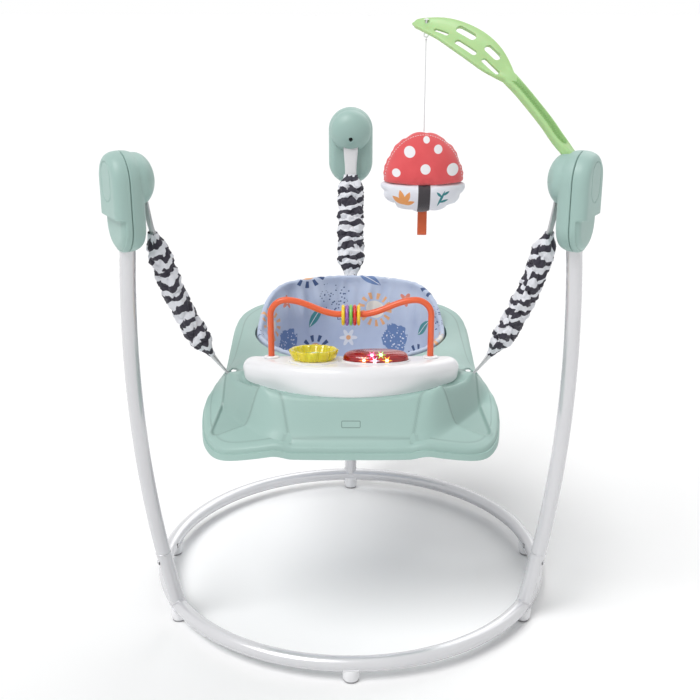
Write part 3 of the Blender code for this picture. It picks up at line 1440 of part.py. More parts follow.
LEAF_SLOTS = ((0.515, 0.0105, 0.030, 0.0085), (0.655, 0.0115, 0.034, 0.0090), (0.800, 0.0095, 0.030, 0.0080),
              (0.560, -0.0100, 0.026, 0.0085), (0.700, -0.0110, 0.030, 0.0090))


def leaf_slot(share, offset, length, width):
    """A long hole with round ends, through the leaf's thickness."""
    point, along, width_way, thick_way = arm_frame(share)
    half = length / 2 - width / 2
    outline = []
    for centre, first in ((half, -math.pi / 2), (-half, math.pi / 2)):
        for angle in np.linspace(first, first + math.pi, 4):
            outline.append((centre + width / 2 * math.cos(angle), width / 2 * math.sin(angle)))
    slot = prism("slot", outline, -0.02, 0.02)
    place = Matrix((along, width_way, thick_way)).transposed().to_4x4()
    place.translation = point + width_way * offset
    return transformed(slot, place)


def hook_place():
    point, along, width_way, thick_way = arm_frame(HOOK_SHARE)
    return point


def leaf_arm():
    stem_shares = list(np.linspace(0.0, LEAF_SHARE - 0.06, 6))
    leaf_shares = list(np.linspace(LEAF_SHARE - 0.03, 1.0, 14))
    arm = loft("leaf_arm", [arm_ring(share) for share in stem_shares + leaf_shares])
    half_x, half_y = ARM_TANG[0] / 2, ARM_TANG[1] / 2
    tang = box("tang", (-half_x, ARM_TANG_R - half_y, POD_TOP - ARM_TANG[2]),
               (half_x, ARM_TANG_R + half_y, POD_TOP + TANG_SINK))
    below = box("below", (-0.05, ARM_TANG_R - 0.05, POD_TOP - 0.05),
                (0.05, ARM_TANG_R + 0.05, POD_TOP + GAP))
    arm = combine(arm, below)
    arm = combine(arm, tang, "UNION")
    for slot in LEAF_SLOTS:
        arm = combine(arm, leaf_slot(*slot))
    hook = hook_place()
    hole = rod("hole", hook - Vector((0, 0, 0.02)), hook + Vector((0, 0, 0.02)), HOOK_HOLE_R, 10)
    return combine(arm, hole)


def eye_height():
    """Height of the wire at the bottom of the hook's eye, about which the toy swings."""
    return hook_place().z - LEAF_THICK - EYE_DROP


def toy_hook():
    """A peg through the leaf's tip, with a head above it and an eye below."""
    hook = hook_place()
    reach = LEAF_THICK * 0.95
    radius, height = HOOK_HEAD
    low = eye_height() + 2 * EYE_R + EYE_WIRE_R / 10
    head = rod("toy_hook", (0, hook.y, hook.z + reach), (0, hook.y, hook.z + reach + height), radius, 10)
    shank = rod("shank", (0, hook.y, low), (0, hook.y, hook.z + reach + height / 2), SHANK_R, 8)
    wire = [(EYE_R + EYE_WIRE_R * math.cos(a), EYE_WIRE_R * math.sin(a))
            for a in np.linspace(0, 2 * math.pi, 7)[:-1]]
    eye = transformed(lathe("eye", wire, 10), Matrix.Rotation(math.pi / 2, 4, "X"))
    return join_all(head, shank, moved(eye, y=hook.y, z=eye_height() + EYE_R))


def string_top():
    return eye_height() - EYE_WIRE_R - GAP


def toy_top():
    return string_top() - STRING_DROP


def toy_split():
    return toy_top() - CAP_HEIGHT


def toy_bottom():
    return toy_split() - BODY_HEIGHT


def toy_string():
    hook = hook_place()
    high = string_top() - KNOT_R
    knot = ellipsoid("knot", (0, hook.y, high), (KNOT_R, KNOT_R, KNOT_R), 8, 6)
    points = [Vector((0, hook.y, z)) for z in np.linspace(high, toy_top() + GAP, 36)]
    return combine(tube("toy_string", points, STRING_R, 8), knot, "UNION")


def toy_half(name, low, high, bulge, power):
    """A stuffed half, round in plan and tapering to its end."""
    hook = hook_place()
    rings = []
    ends = (low, high)
    for share in (0.0, 0.10, 0.30, 0.55, 0.78, 0.93, 1.0):
        size = max((1 - share ** power) ** (1 / power), 0.10)
        tuck = 1.0 - bulge * (1 - smoothstep(share / 0.12))
        z = mix(ends[0], ends[1], share)
        width, depth = TOY_HALF_WIDTH * size * tuck, TOY_HALF_DEPTH * size * tuck
        rings.append([(width * math.cos(a), hook.y + depth * math.sin(a), z)
                      for a in np.linspace(0, 2 * math.pi, 21)[:-1]])
    return loft(name, rings)


def mushroom_cap():
    return toy_half("mushroom_cap", toy_split() + GAP / 2, toy_top(), 0.03, 2.0)


def mushroom_body():
    return toy_half("mushroom_body", toy_split() - GAP / 2, toy_bottom(), 0.03, 2.2)


def toy_ribbon():
    """A folded loop of ribbon sewn in under the toy."""
    hook = hook_place()
    top = toy_bottom() - GAP
    bottom = toy_bottom() - RIBBON_LENGTH
    half = RIBBON_WIDTH / 2
    outline = [(-y, top - drop) for y, drop in RIBBON_LOOP] + [(0.0, bottom)]
    outline += [(y, top - drop) for y, drop in reversed(RIBBON_LOOP)]
    hole = [(-y, top - drop) for y, drop in RIBBON_HOLE] + [(0.0, bottom + RIBBON_WALL)]
    hole += [(y, top - drop) for y, drop in reversed(RIBBON_HOLE)]
    band = prism("toy_ribbon", outline, -half, half, [hole])
    for vertex in band.data.vertices:
        y, z, x = vertex.co
        vertex.co = (x, hook.y + y, z)
    finish_mesh(band.data)
    return band


# Assembly

def build_frame(frame, masts):
    finish(base_tube_front(), "steel", frame)
    finish(base_tube_rear(), "steel", frame)
    for place, azimuth in FOOT_AZIMUTHS.items():
        finish(foot("foot_" + place, azimuth), "white", frame)
    for side, mast in masts.items():
        finish(leg("leg_" + side), "steel", mast)
        finish(pod_inner("pod_inner_" + side, with_socket=side == "right"), "mint", mast)
        finish(pod_outer("pod_outer_" + side), "mint", mast)
        finish(strap_pin("strap_pin_" + side), "metal", mast)
    finish(leaf_arm(), "leaf", masts["right"])


def build_springs(masts, tray_masts):
    for number, (side, azimuth) in enumerate(LEG_AZIMUTHS.items()):
        hang = Hang(slot_height(azimuth))
        finish(upper_strap("upper_strap_" + side, hang), "webbing", masts[side])
        finish(spring("spring_" + side, hang), "metal", masts[side])
        finish(sleeve("sleeve_" + side, hang, seed=number * 2.1), "zebra", masts[side])
        finish(lower_strap("lower_strap_" + side, hang), "webbing", tray_masts[side])


def build_tray(tray, seat_axis):
    finish(tray_shell(), "mint", tray)
    finish(seat_track(), "white", seat_axis)
    finish(console_top(), "white", tray)
    finish(console_base(), "white", tray)
    finish(door_block("battery_door", 0.0, PAN_BOTTOM, PAN_BOTTOM + PAN_WALL), "white", tray)
    finish(circuit_board(), "board", tray)
    finish(speaker(), "black", tray)
    finish(power_switch(), "orange", tray)
    finish(tube("toy_bar", bar_line(), BAR_R, 8), "orange", tray)
    finish(bar_collar("bar_collar_left", -1), "white", tray)
    finish(bar_collar("bar_collar_right", 1), "white", tray)
    finish(spinner_axle(), "white", tray)


def build_toys(tray):
    spin = empty("spinner_spin", tray)
    spin.matrix_local = console_frame(SPINNER_POS)
    press = empty("dome_press", tray)
    press.matrix_local = console_frame(DOME_POS)
    for piece, color, holder in ((spinner_ring(), "yellow", spin), (spinner_flower(), "green", spin),
                                 (light_dome(), "red", press)):
        transformed(piece, holder.matrix_local.inverted())
        finish(piece, color, holder)
    ring_z = DIP_Z - (RING_HOLE_R - BAR_R - GAP)
    colors = ("yellow", "purple", "green", "red", "yellow")
    for number in range(RING_COUNT):
        x = (number - (RING_COUNT - 1) / 2) * RING_PITCH
        axis = empty(f"ring_spin_{number + 1}", tray, (x, BAR_Y, ring_z))
        finish(bar_ring(f"bar_ring_{number + 1}"), colors[number], axis)


def build_hanging_toy(mast):
    """The toy hangs under the arm's end, with its broad side to the front."""
    hook = hook_place()
    swivel = empty("toy_swivel", mast, (0.0, hook.y, hook.z), turn=-mast.rotation_euler.z)
    swing = empty("toy_swing", swivel, (0.0, 0.0, eye_height() - hook.z))
    finish(moved(toy_hook(), y=-hook.y, z=-hook.z), "white", swivel)
    for piece, color in ((toy_string(), "webbing"), (mushroom_cap(), "plush_red"),
                         (mushroom_body(), "plush_white"), (toy_ribbon(), "orange")):
        finish(moved(piece, y=-hook.y, z=-eye_height()), color, swing)


def main():
    frame = empty("frame", None, (0.0, FRAME_Y, RING_Z))
    tray = empty("tray_bounce", frame)
    seat_axis = empty("seat_track_axis", tray, (0.0, SEAT_Y, 0.0))
    seat = empty("seat_spin", tray, (0.0, SEAT_Y, 0.0))
    masts, tray_masts = {}, {}
    for side, azimuth in LEG_AZIMUTHS.items():
        turn = math.radians(azimuth - 90)
        masts[side] = empty("mast_" + side, frame, turn=turn)
        tray_masts[side] = empty("tray_mast_" + side, tray, turn=turn)
    build_frame(frame, masts)
    build_springs(masts, tray_masts)
    build_tray(tray, seat_axis)
    finish(seat_ring(), "white", seat)
    finish(seat_fabric(), "fabric", seat)
    build_toys(tray)
    build_hanging_toy(masts["right"])


main()
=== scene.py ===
# %% [markdown]
# # A baby activity center
#
# A seat turns in the middle of a mint tray. Three springs in striped sleeves hang the tray from bowed steel
# tubes that stand on a floor ring. A green leaf arm holds a stuffed mushroom over the tray.
#
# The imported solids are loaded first. They say where each piece is and which body it moves with. This
# script then makes each piece again, rounder and finer, and gives it the finish of the real one.

# %% Load the frame
import math

import bmesh
import bpy
import numpy as np
from mathutils import Matrix, Vector, noise
from mathutils.bvhtree import BVHTree


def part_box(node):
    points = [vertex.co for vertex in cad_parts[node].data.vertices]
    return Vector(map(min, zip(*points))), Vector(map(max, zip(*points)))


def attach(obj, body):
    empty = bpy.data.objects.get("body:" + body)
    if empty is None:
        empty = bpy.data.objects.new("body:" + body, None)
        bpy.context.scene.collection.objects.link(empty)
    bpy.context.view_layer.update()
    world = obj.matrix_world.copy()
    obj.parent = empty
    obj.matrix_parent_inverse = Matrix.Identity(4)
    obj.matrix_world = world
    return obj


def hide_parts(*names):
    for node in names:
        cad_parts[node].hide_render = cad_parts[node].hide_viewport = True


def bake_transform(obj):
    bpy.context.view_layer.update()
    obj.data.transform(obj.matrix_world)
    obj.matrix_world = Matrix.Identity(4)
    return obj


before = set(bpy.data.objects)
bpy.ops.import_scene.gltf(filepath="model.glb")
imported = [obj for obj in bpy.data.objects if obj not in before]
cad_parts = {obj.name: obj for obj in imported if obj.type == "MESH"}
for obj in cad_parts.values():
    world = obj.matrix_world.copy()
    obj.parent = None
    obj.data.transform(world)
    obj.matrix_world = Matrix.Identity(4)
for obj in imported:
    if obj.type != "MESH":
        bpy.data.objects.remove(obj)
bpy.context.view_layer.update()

# %% [markdown]
# ## The camera
#
# The photograph looks down a little at the front of the tray. The floor ring is a circle of known size,
# so its outline in the picture fixes the camera's distance, height and tilt. The lens follows from them.

# %% The camera
RING_R = 0.350
FOOT_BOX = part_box("foot_front")
FRAME_Y = (FOOT_BOX[0][1] + FOOT_BOX[1][1]) / 2 + RING_R
RING_Z = 0.030
CAMERA_BACK = 1.800
CAMERA_UP = 1.030
CAMERA_TILT = math.radians(18.93)
CAMERA_LENS = 54.6

camera_data = bpy.data.cameras.new("camera")
camera_data.lens = CAMERA_LENS
camera = bpy.data.objects.new("camera", camera_data)
camera.location = (-0.0015, FRAME_Y - CAMERA_BACK, RING_Z + CAMERA_UP)
camera.rotation_euler = (math.pi / 2 - CAMERA_TILT, 0.0, 0.0)
bpy.context.scene.collection.objects.link(camera)
bpy.context.scene.camera = camera
print("camera", [round(value, 3) for value in camera.location])

# %% [markdown]
# ## The stage
#
# A pale floor catches a soft shadow. The world looks white to the camera and lights the object more
# gently. Two very soft suns light it from the front left and from behind, as the big softboxes of a studio
# do, and they light the floor evenly out to the horizon.

# %% The stage
FLOOR_SIZE = 80.0
WORLD_LIGHT = 0.40
LAMPS = (
    ("key", (-0.60, -0.60, 1.25), 30, 1.95),
    ("back", (0.55, 0.80, 1.00), 50, 0.80),
)


def white_to_camera(tree, shader_output, target):
    """Show plain white to the camera, in mirrors and through glass, and the shader to other rays."""
    paths = tree.nodes.new("ShaderNodeLightPath")
    seen = paths.outputs["Is Camera Ray"]
    for kind in ("Is Glossy Ray", "Is Transmission Ray"):
        either = tree.nodes.new("ShaderNodeMath")
        either.operation = "MAXIMUM"
        tree.links.new(seen, either.inputs[0])
        tree.links.new(paths.outputs[kind], either.inputs[1])
        seen = either.outputs[0]
    white = tree.nodes.new("ShaderNodeBackground")
    white.inputs["Strength"].default_value = 1.0
    white.inputs["Color"].default_value = (1.0, 1.0, 1.0, 1.0)
    choice = tree.nodes.new("ShaderNodeMixShader")
    tree.links.new(seen, choice.inputs["Fac"])
    tree.links.new(shader_output, choice.inputs[1])
    tree.links.new(white.outputs[0], choice.inputs[2])
    tree.links.new(choice.outputs[0], target)


def light_world():
    world = bpy.data.worlds.new("studio")
    world.use_nodes = True
    tree = world.node_tree
    light = tree.nodes["Background"]
    light.inputs["Color"].default_value = (1.0, 1.0, 1.0, 1.0)
    light.inputs["Strength"].default_value = WORLD_LIGHT
    white_to_camera(tree, light.outputs[0], tree.nodes["World Output"].inputs["Surface"])
    bpy.context.scene.world = world


def add_lamp(name, way, spread, power):
    data = bpy.data.lights.new(name, "SUN")
    data.angle = math.radians(spread)
    data.energy = power
    lamp = bpy.data.objects.new(name, data)
    lamp.rotation_euler = (-Vector(way)).to_track_quat("-Z", "Y").to_euler()
    bpy.context.scene.collection.objects.link(lamp)


def add_floor():
    half = FLOOR_SIZE / 2
    mesh = bpy.data.meshes.new("floor")
    corners = [(-half, -half, 0), (half, -half, 0), (half, half, 0), (-half, half, 0)]
    mesh.from_pydata(corners, [], [(0, 1, 2, 3)])
    material = bpy.data.materials.new("studio_floor")
    material.use_nodes = True
    shader = material.node_tree.nodes["Principled BSDF"]
    shader.inputs["Base Color"].default_value = (0.95, 0.95, 0.95, 1.0)
    shader.inputs["Roughness"].default_value = 0.9
    mesh.materials.append(material)
    floor = bpy.data.objects.new("floor", mesh)
    bpy.context.scene.collection.objects.link(floor)


light_world()
add_floor()
for lamp in LAMPS:
    add_lamp(*lamp)
bpy.context.scene.view_settings.view_transform = "Standard"

# %% [markdown]
# ## Making meshes
#
# Most of this object is moulded or bent, so its shapes come from a few simple moves: sweep a circle along
# a line, turn a profile round an axis, skin a row of outlines, and cut one closed shape with another.
# The helpers below do these once. Pieces are made about the floor ring's centre, and moved at the end.

# %% Mesh helpers
MERGE = 0.00001


def new_object(name, mesh):
    obj = bpy.data.objects.new(name, mesh)
    bpy.context.scene.collection.objects.link(obj)
    return obj


def baked(obj):
    """The object's evaluated mesh as a plain object, without its modifiers."""
    bpy.context.view_layer.update()
    graph = bpy.context.evaluated_depsgraph_get()
    mesh = bpy.data.meshes.new_from_object(obj.evaluated_get(graph), depsgraph=graph)
    name = obj.name
    bpy.data.objects.remove(obj)
    return new_object(name, mesh)


def tidied(obj):
    """Merge doubled points, drop empty edges and turn the faces outward."""
    bm = bmesh.new()
    bm.from_mesh(obj.data)
    bmesh.ops.remove_doubles(bm, verts=bm.verts, dist=MERGE)
    bmesh.ops.dissolve_degenerate(bm, edges=bm.edges, dist=MERGE / 10)
    bmesh.ops.recalc_face_normals(bm, faces=bm.faces)
    bm.to_mesh(obj.data)
    bm.free()
    return obj


def skin(name, rings, ends="closed", uv=None):
    """Quads between equal rings of points. ends is closed, start, open or chain.

    uv holds the two axes of a flat map.
    """
    count = len(rings[0])
    points = [tuple(point) for ring in rings for point in ring]
    faces, flat = [], []
    pairs = [(i, i + 1) for i in range(len(rings) - 1)]
    if ends == "chain":
        pairs.append((len(rings) - 1, 0))
    for a, b in pairs:
        for i in range(count):
            j = (i + 1) % count
            faces.append((a * count + i, b * count + i, b * count + j, a * count + j))
            if uv:
                across, along = uv
                flat += [(across[i], along[a]), (across[i], along[a + 1]), (across[i + 1], along[a + 1]),
                         (across[i + 1], along[a])]
    if ends in ("closed", "start"):
        faces.append(tuple(range(count)))
    if ends == "closed":
        faces.append(tuple(range((len(rings) - 1) * count, len(rings) * count)))
    mesh = bpy.data.meshes.new(name)
    mesh.from_pydata(points, [], faces)
    if uv:
        flat += [(0.0, 0.0)] * (len(mesh.loops) - len(flat))
        layer = mesh.uv_layers.new(name="flat")
        layer.data.foreach_set("uv", [float(value) for pair in flat for value in pair])
    return tidied(new_object(name, mesh)) if ends != "open" else new_object(name, mesh)


def add_line(curve, points, closed):
    """Add straight runs through points to a curve."""
    spline = curve.splines.new("POLY")
    spline.use_cyclic_u = closed
    spline.points.add(len(points) - 1)
    for target, point in zip(spline.points, points):
        target.co = (*point, 1.0)


def tube(name, points, radius, sides=24, closed=False):
    """A round bar along a line of points, or round a closed one."""
    curve = bpy.data.curves.new(name, "CURVE")
    curve.dimensions = "3D"
    curve.bevel_depth = radius
    curve.bevel_resolution = (sides - 4) // 2
    curve.use_fill_caps = not closed
    add_line(curve, points, closed)
    return tidied(baked(new_object(name, curve)))


def turned_piece(name, profile, steps=48, closed=True):
    """A profile of (radius, height) pairs turned about Z."""
    edges = [(i, i + 1) for i in range(len(profile) - 1)]
    if closed:
        edges.append((len(profile) - 1, 0))
    mesh = bpy.data.meshes.new(name)
    mesh.from_pydata([(radius, 0.0, height) for radius, height in profile], edges, [])
    obj = new_object(name, mesh)
    screw = obj.modifiers.new("turn", "SCREW")
    screw.steps = steps
    screw.render_steps = steps
    screw.use_merge_vertices = True
    screw.merge_threshold = MERGE
    return tidied(baked(obj))


def prism(name, outline, bottom, top, holes=(), bevel=0.0):
    """A flat outline with holes, drawn up along Z."""
    curve = bpy.data.curves.new(name, "CURVE")
    curve.dimensions = "2D"
    curve.fill_mode = "BOTH"
    curve.extrude = (top - bottom) / 2 - bevel
    curve.bevel_depth = bevel
    curve.bevel_resolution = 1 if bevel else 0
    curve.offset = -bevel
    for loop in (outline, *holes):
        add_line(curve, [(x, y, 0.0) for x, y in loop], True)
    obj = tidied(baked(new_object(name, curve)))
    return placed(obj, Matrix.Translation((0.0, 0.0, (top + bottom) / 2)))


def points_of(mesh):
    """A mesh's points as rows of an array."""
    return np.array([tuple(vertex.co) for vertex in mesh.vertices])


def placed(obj, matrix):
    obj.data.transform(matrix)
    return obj


def moved(obj, x=0.0, y=0.0, z=0.0):
    return placed(obj, Matrix.Translation((x, y, z)))


def coated(obj, material):
    obj.data.materials.append(material)
    return obj


def combined(body, tool, operation="DIFFERENCE"):
    modifier = body.modifiers.new("combine", "BOOLEAN")
    modifier.operation = operation
    modifier.solver = "EXACT"
    modifier.object = tool
    result = baked(body)
    bpy.data.objects.remove(tool)
    return result


def joined(name, *objects):
    """Several meshes as one object, each with its own shell and materials."""
    bm = bmesh.new()
    materials = []
    for obj in objects:
        slots = [slot.material for slot in obj.material_slots] or [None]
        for material in slots:
            if material not in materials:
                materials.append(material)
        start = len(bm.faces)
        bm.from_mesh(obj.data)
        bm.faces.ensure_lookup_table()
        for face in bm.faces[start:]:
            face.material_index = materials.index(slots[min(face.material_index, len(slots) - 1)])
    mesh = bpy.data.meshes.new(name)
    bm.to_mesh(mesh)
    bm.free()
    for material in materials:
        if material:
            mesh.materials.append(material)
    for obj in objects:
        bpy.data.objects.remove(obj)
    return new_object(name, mesh)


def box(name, low, high, bevel=0.0):
    bm = bmesh.new()
    bmesh.ops.create_cube(bm, size=1.0)
    bmesh.ops.scale(bm, vec=[b - a for a, b in zip(low, high)], verts=bm.verts)
    bmesh.ops.translate(bm, vec=[(a + b) / 2 for a, b in zip(low, high)], verts=bm.verts)
    if bevel:
        bmesh.ops.bevel(bm, geom=bm.edges[:], offset=bevel, segments=3, profile=0.5, affect="EDGES")
    mesh = bpy.data.meshes.new(name)
    bm.to_mesh(mesh)
    bm.free()
    return tidied(new_object(name, mesh))


def rod(name, start, end, radius, sides=24):
    return tube(name, [Vector(start), Vector(end)], radius, sides)


# %% Curves and blends
FULL_TURN = 2 * math.pi


def smoothstep(value):
    value = np.clip(value, 0.0, 1.0)
    return value * value * (3 - 2 * value)


def ease(value):
    """smoothstep for a single number."""
    return float(smoothstep(value))


def mix(start, end, share):
    return start + (end - start) * share


def turned(angle_degrees, radius, height=0.0):
    """A point at an azimuth about the vertical axis."""
    angle = math.radians(angle_degrees)
    return Vector((radius * math.cos(angle), radius * math.sin(angle), height))


def round_angles(count):
    """Equal steps once round a circle."""
    return np.linspace(0, FULL_TURN, count + 1)[:-1]


def arc(x, y, radius, angles):
    """Points of a circle about (x, y) at the given angles."""
    return [(x + radius * math.cos(angle), y + radius * math.sin(angle)) for angle in angles]


def leg_turn(azimuth):
    """Carries a piece made on the rear leg's plane to another azimuth."""
    return Matrix.Rotation(math.radians(azimuth - 90), 4, "Z")


def lengths_along(points):
    """The length of a line of points up to each of them."""
    steps = [math.dist(a, b) for a, b in zip(points, points[1:])]
    return np.concatenate(([0.0], np.cumsum(steps)))


def catmull_rom(points, samples, closed=False):
    """A smooth curve through points."""
    points = [Vector(point) for point in points]
    count = len(points)
    spans = count if closed else count - 1
    curve = []
    for span in range(spans):
        if closed:
            p0, p1, p2, p3 = (points[(span + k) % count] for k in (-1, 0, 1, 2))
        else:
            p0, p1, p2, p3 = (points[min(max(span + k, 0), count - 1)] for k in (-1, 0, 1, 2))
        for step in range(samples):
            t = step / samples
            curve.append(0.5 * (2 * p1 + (p2 - p0) * t + (2 * p0 - 5 * p1 + 4 * p2 - p3) * t ** 2
                                + (3 * p1 - p0 - 3 * p2 + p3) * t ** 3))
    if not closed:
        curve.append(points[-1])
    return curve


# %% [markdown]
# Each finished piece moves to its place in the world, gets its finish, rides on the body that carries it
# and takes the place of the plain solids that it stands for. A piece that hangs between two bodies is left
# fixed in the world.

# %% Settle a piece on its body
MADE = []


def settle(obj, material, body, slot, *nodes, mast=None, smooth_angle=40):
    """Place a finished piece and hand it to its body; a piece between two bodies is only fixed in the world.
    mast turns a piece made on the rear leg.
    """
    if mast is not None:
        placed(obj, leg_turn(mast))
    placed(obj, Matrix.Translation((0.0, FRAME_Y, RING_Z)))
    if material is not None:
        obj.data.materials.clear()
        obj.data.materials.append(material)
    obj.data.shade_smooth()
    obj.data.set_sharp_from_angle(angle=math.radians(smooth_angle))
    if isinstance(body, str):
        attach(obj, body)
    else:
        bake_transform(obj)
    if nodes:
        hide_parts(*nodes)
    MADE.append(obj.name)
    print(f"{obj.name}: {len(obj.data.polygons)} faces")
    return obj


# %% [markdown]
# ## Finishes
#
# A finish is built from nodes. A small class keeps the code short: it adds a node, sets its inputs and
# joins it to the others. Plain numbers such as a coat's weight stay on the shader itself.

# %% Node helpers


class Finish:
    """A material with short ways to add and join its nodes."""

    def __init__(self, name, color=None, **inputs):
        self.material = bpy.data.materials.new(name)
        self.material.use_nodes = True
        self.tree = self.material.node_tree
        self.shader = self.tree.nodes["Principled BSDF"]
        if color:
            self.shader.inputs["Base Color"].default_value = (*color, 1.0)
        for key, value in inputs.items():
            socket = key.replace("_", " ").title().replace("Ior", "IOR")
            self.shader.inputs[socket].default_value = value

    def put(self, socket, value):
        """Join a value to a socket, or write a plain number or colour on it."""
        if isinstance(value, bpy.types.NodeSocket):
            self.tree.links.new(value, socket)
        elif isinstance(value, (tuple, list)) and socket.type == "RGBA":
            socket.default_value = (*value[:3], 1.0)
        else:
            socket.default_value = value

    def node(self, kind, inputs=None, **settings):
        node = self.tree.nodes.new(kind)
        for key, value in settings.items():
            setattr(node, key, value)
        for key, value in (inputs or {}).items():
            self.put(node.inputs[key], value)
        return node

    def math(self, operation, *values):
        node = self.node("ShaderNodeMath", operation=operation)
        for socket, value in zip(node.inputs, values):
            self.put(socket, value)
        return node.outputs[0]

    def plus(self, a, b):
        return self.math("ADD", a, b)

    def minus(self, a, b):
        return self.math("SUBTRACT", a, b)

    def times(self, a, b):
        return self.math("MULTIPLY", a, b)

    def absolute(self, value):
        return self.math("ABSOLUTE", value)

    def length(self, x, y):
        return self.math("SQRT", self.plus(self.times(x, x), self.times(y, y)))

    def rotated(self, x, y, angle):
        """A place in the axes that are turned by an angle."""
        c, s = math.cos(angle), math.sin(angle)
        return self.plus(self.times(x, c), self.times(y, s)), self.minus(self.times(y, c), self.times(x, s))

    def blend(self, factor, a, b):
        node = self.node("ShaderNodeMix", data_type="RGBA")
        for socket, value in zip((node.inputs[0], node.inputs[6], node.inputs[7]), (factor, a, b)):
            self.put(socket, value)
        return node.outputs[2]

    def step(self, value, edge, softness):
        """0 below the edge and 1 above it, with a soft change."""
        limits = {"Value": value, "From Min": edge - softness, "From Max": edge + softness}
        return self.node("ShaderNodeMapRange", limits, interpolation_type="SMOOTHSTEP").outputs[0]

    def spread(self, value, low, high):
        """A value from 0 to 1 as one between two limits."""
        return self.node("ShaderNodeMapRange", {"Value": value, "To Min": low, "To Max": high}).outputs[0]

    def coordinates(self, kind="Object"):
        return self.node("ShaderNodeTexCoord").outputs[kind]

    def xyz(self, vector):
        outputs = self.node("ShaderNodeSeparateXYZ", {"Vector": vector}).outputs
        return outputs[0], outputs[1], outputs[2]

    def vector(self, x, y, z=0.0):
        return self.node("ShaderNodeCombineXYZ", {"X": x, "Y": y, "Z": z}).outputs[0]

    def noise(self, scale, detail=2.0, vector=None):
        vector = self.coordinates() if vector is None else vector
        settings = {"Vector": vector, "Scale": scale, "Detail": detail}
        return self.node("ShaderNodeTexNoise", settings).outputs["Fac"]

    def bump(self, height, strength, distance, under=None):
        node = self.node("ShaderNodeBump", {"Strength": strength, "Distance": distance, "Height": height})
        if under is not None:
            self.tree.links.new(under, node.inputs["Normal"])
        return node.outputs[0]

    def color_from(self, socket):
        self.tree.links.new(socket, self.shader.inputs["Base Color"])

    def roughness_from(self, socket):
        self.tree.links.new(socket, self.shader.inputs["Roughness"])

    def normal_from(self, socket):
        self.tree.links.new(socket, self.shader.inputs["Normal"])


# %% [markdown]
# Moulded plastic has a fine grain from its steel mould, and its gloss varies a little where hands rub it.
# One function gives that to every plastic here, and each caller sets its colour, gloss and grain.

# %% Plastic and paint
GRAIN_SIZE = 0.0007
GRAIN_HEIGHT = 0.0001


def shaded(color, share):
    """A colour made darker or paler."""
    return tuple(min(1.0, value * share) for value in color)


def moulded_plastic(name, color, roughness, grain=0.12, shade=0.05, **inputs):
    finish = Finish(name, color, roughness=roughness, **inputs)
    cloud = finish.noise(18.0, 3.0)
    finish.color_from(finish.blend(cloud, shaded(color, 1 - shade), shaded(color, 1 + shade)))
    rub = finish.noise(60.0, 4.0)
    finish.roughness_from(finish.spread(rub, roughness * 0.85, min(1.0, roughness * 1.2)))
    fine = finish.noise(1.0 / GRAIN_SIZE, 2.0)
    finish.normal_from(finish.bump(fine, grain, GRAIN_HEIGHT))
    return finish


MINT = (0.345, 0.500, 0.460)
mint_plastic = moulded_plastic("mint_plastic", MINT, 0.42, shade=0.02).material
white_plastic = moulded_plastic("white_plastic", (0.84, 0.84, 0.86), 0.24, grain=0.04, shade=0.01,
                                coat_weight=0.2).material
orange_plastic = moulded_plastic("orange_plastic", (0.80, 0.125, 0.040), 0.30, grain=0.06,
                                 shade=0.04).material
leaf_plastic = moulded_plastic("leaf_plastic", (0.40, 0.64, 0.28), 0.42, grain=0.15, shade=0.04,
                               subsurface_weight=0.08).material
dark_leaf_plastic = moulded_plastic("dark_leaf_plastic", (0.28, 0.52, 0.18), 0.55, grain=0.3).material
green_plastic = moulded_plastic("green_plastic", (0.22, 0.58, 0.10), 0.28, grain=0.05).material
yellow_plastic = moulded_plastic("yellow_plastic", (0.90, 0.62, 0.03), 0.25, grain=0.05).material
purple_plastic = moulded_plastic("purple_plastic", (0.33, 0.12, 0.44), 0.25, grain=0.05).material
red_plastic = moulded_plastic("red_plastic", (0.68, 0.03, 0.03), 0.25, grain=0.05).material
black_plastic = moulded_plastic("black_plastic", (0.02, 0.02, 0.022), 0.5, grain=0.2).material

# %% [markdown]
# ## The string
#
# The mushroom hangs on a short white string from a peg in the leaf's tip. The string is knotted under the
# eye and goes into the top of the cap.

# %% String
STRING_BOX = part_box("toy_string")
STRING_X = (STRING_BOX[0][0] + STRING_BOX[1][0]) / 2
STRING_Y = (STRING_BOX[0][1] + STRING_BOX[1][1]) / 2
STRING_R = 0.0008
KNOT_R = 0.0020
KNOT_LINE_R = 0.00072
KNOT_REACH = 0.00062
STRING_ENDS = (STRING_BOX[1][2] - KNOT_R, STRING_BOX[0][2])


def free_string():
    heights = np.linspace(*STRING_ENDS, 25)
    points = [Vector((STRING_X, STRING_Y, z)) for z in heights]
    return tube("white_string", points, STRING_R, 12), points


def string_knot():
    """A small overhand knot: a thick line that winds once through itself."""
    points = []
    for t in round_angles(48):
        reach = KNOT_REACH * (2 + math.cos(3 * t)) / 2
        points.append(Vector((STRING_X + reach * math.cos(2 * t), STRING_Y + reach * math.sin(2 * t),
                              STRING_ENDS[0] + 0.0007 * math.sin(3 * t))))
    return tube("string_knot", points, KNOT_LINE_R, 10, closed=True)


def string_cloth():
    finish = Finish("white_string", (0.82, 0.82, 0.84), roughness=0.8)
    x, y, z = finish.xyz(finish.coordinates())
    heading = finish.math("ARCTAN2", finish.minus(y, STRING_Y), finish.minus(x, STRING_X))
    wave = finish.math("SINE", finish.plus(finish.times(z, 4200.0), finish.times(heading, 2.0)))
    # Painted shade: the grooves of the twist are drawn darker.
    shade = finish.times(finish.plus(wave, 1.0), 0.5)
    finish.color_from(finish.blend(shade, (0.66, 0.66, 0.68), (0.86, 0.86, 0.88)))
    finish.normal_from(finish.bump(wave, 0.6, 0.0002))
    return finish.material


white_string = string_cloth()
string, string_points = free_string()
knot = string_knot()
for piece in (string, knot):
    coated(piece, white_string).data.shade_smooth()
    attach(piece, "toy")
    MADE.append(piece.name)
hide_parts("toy_string")

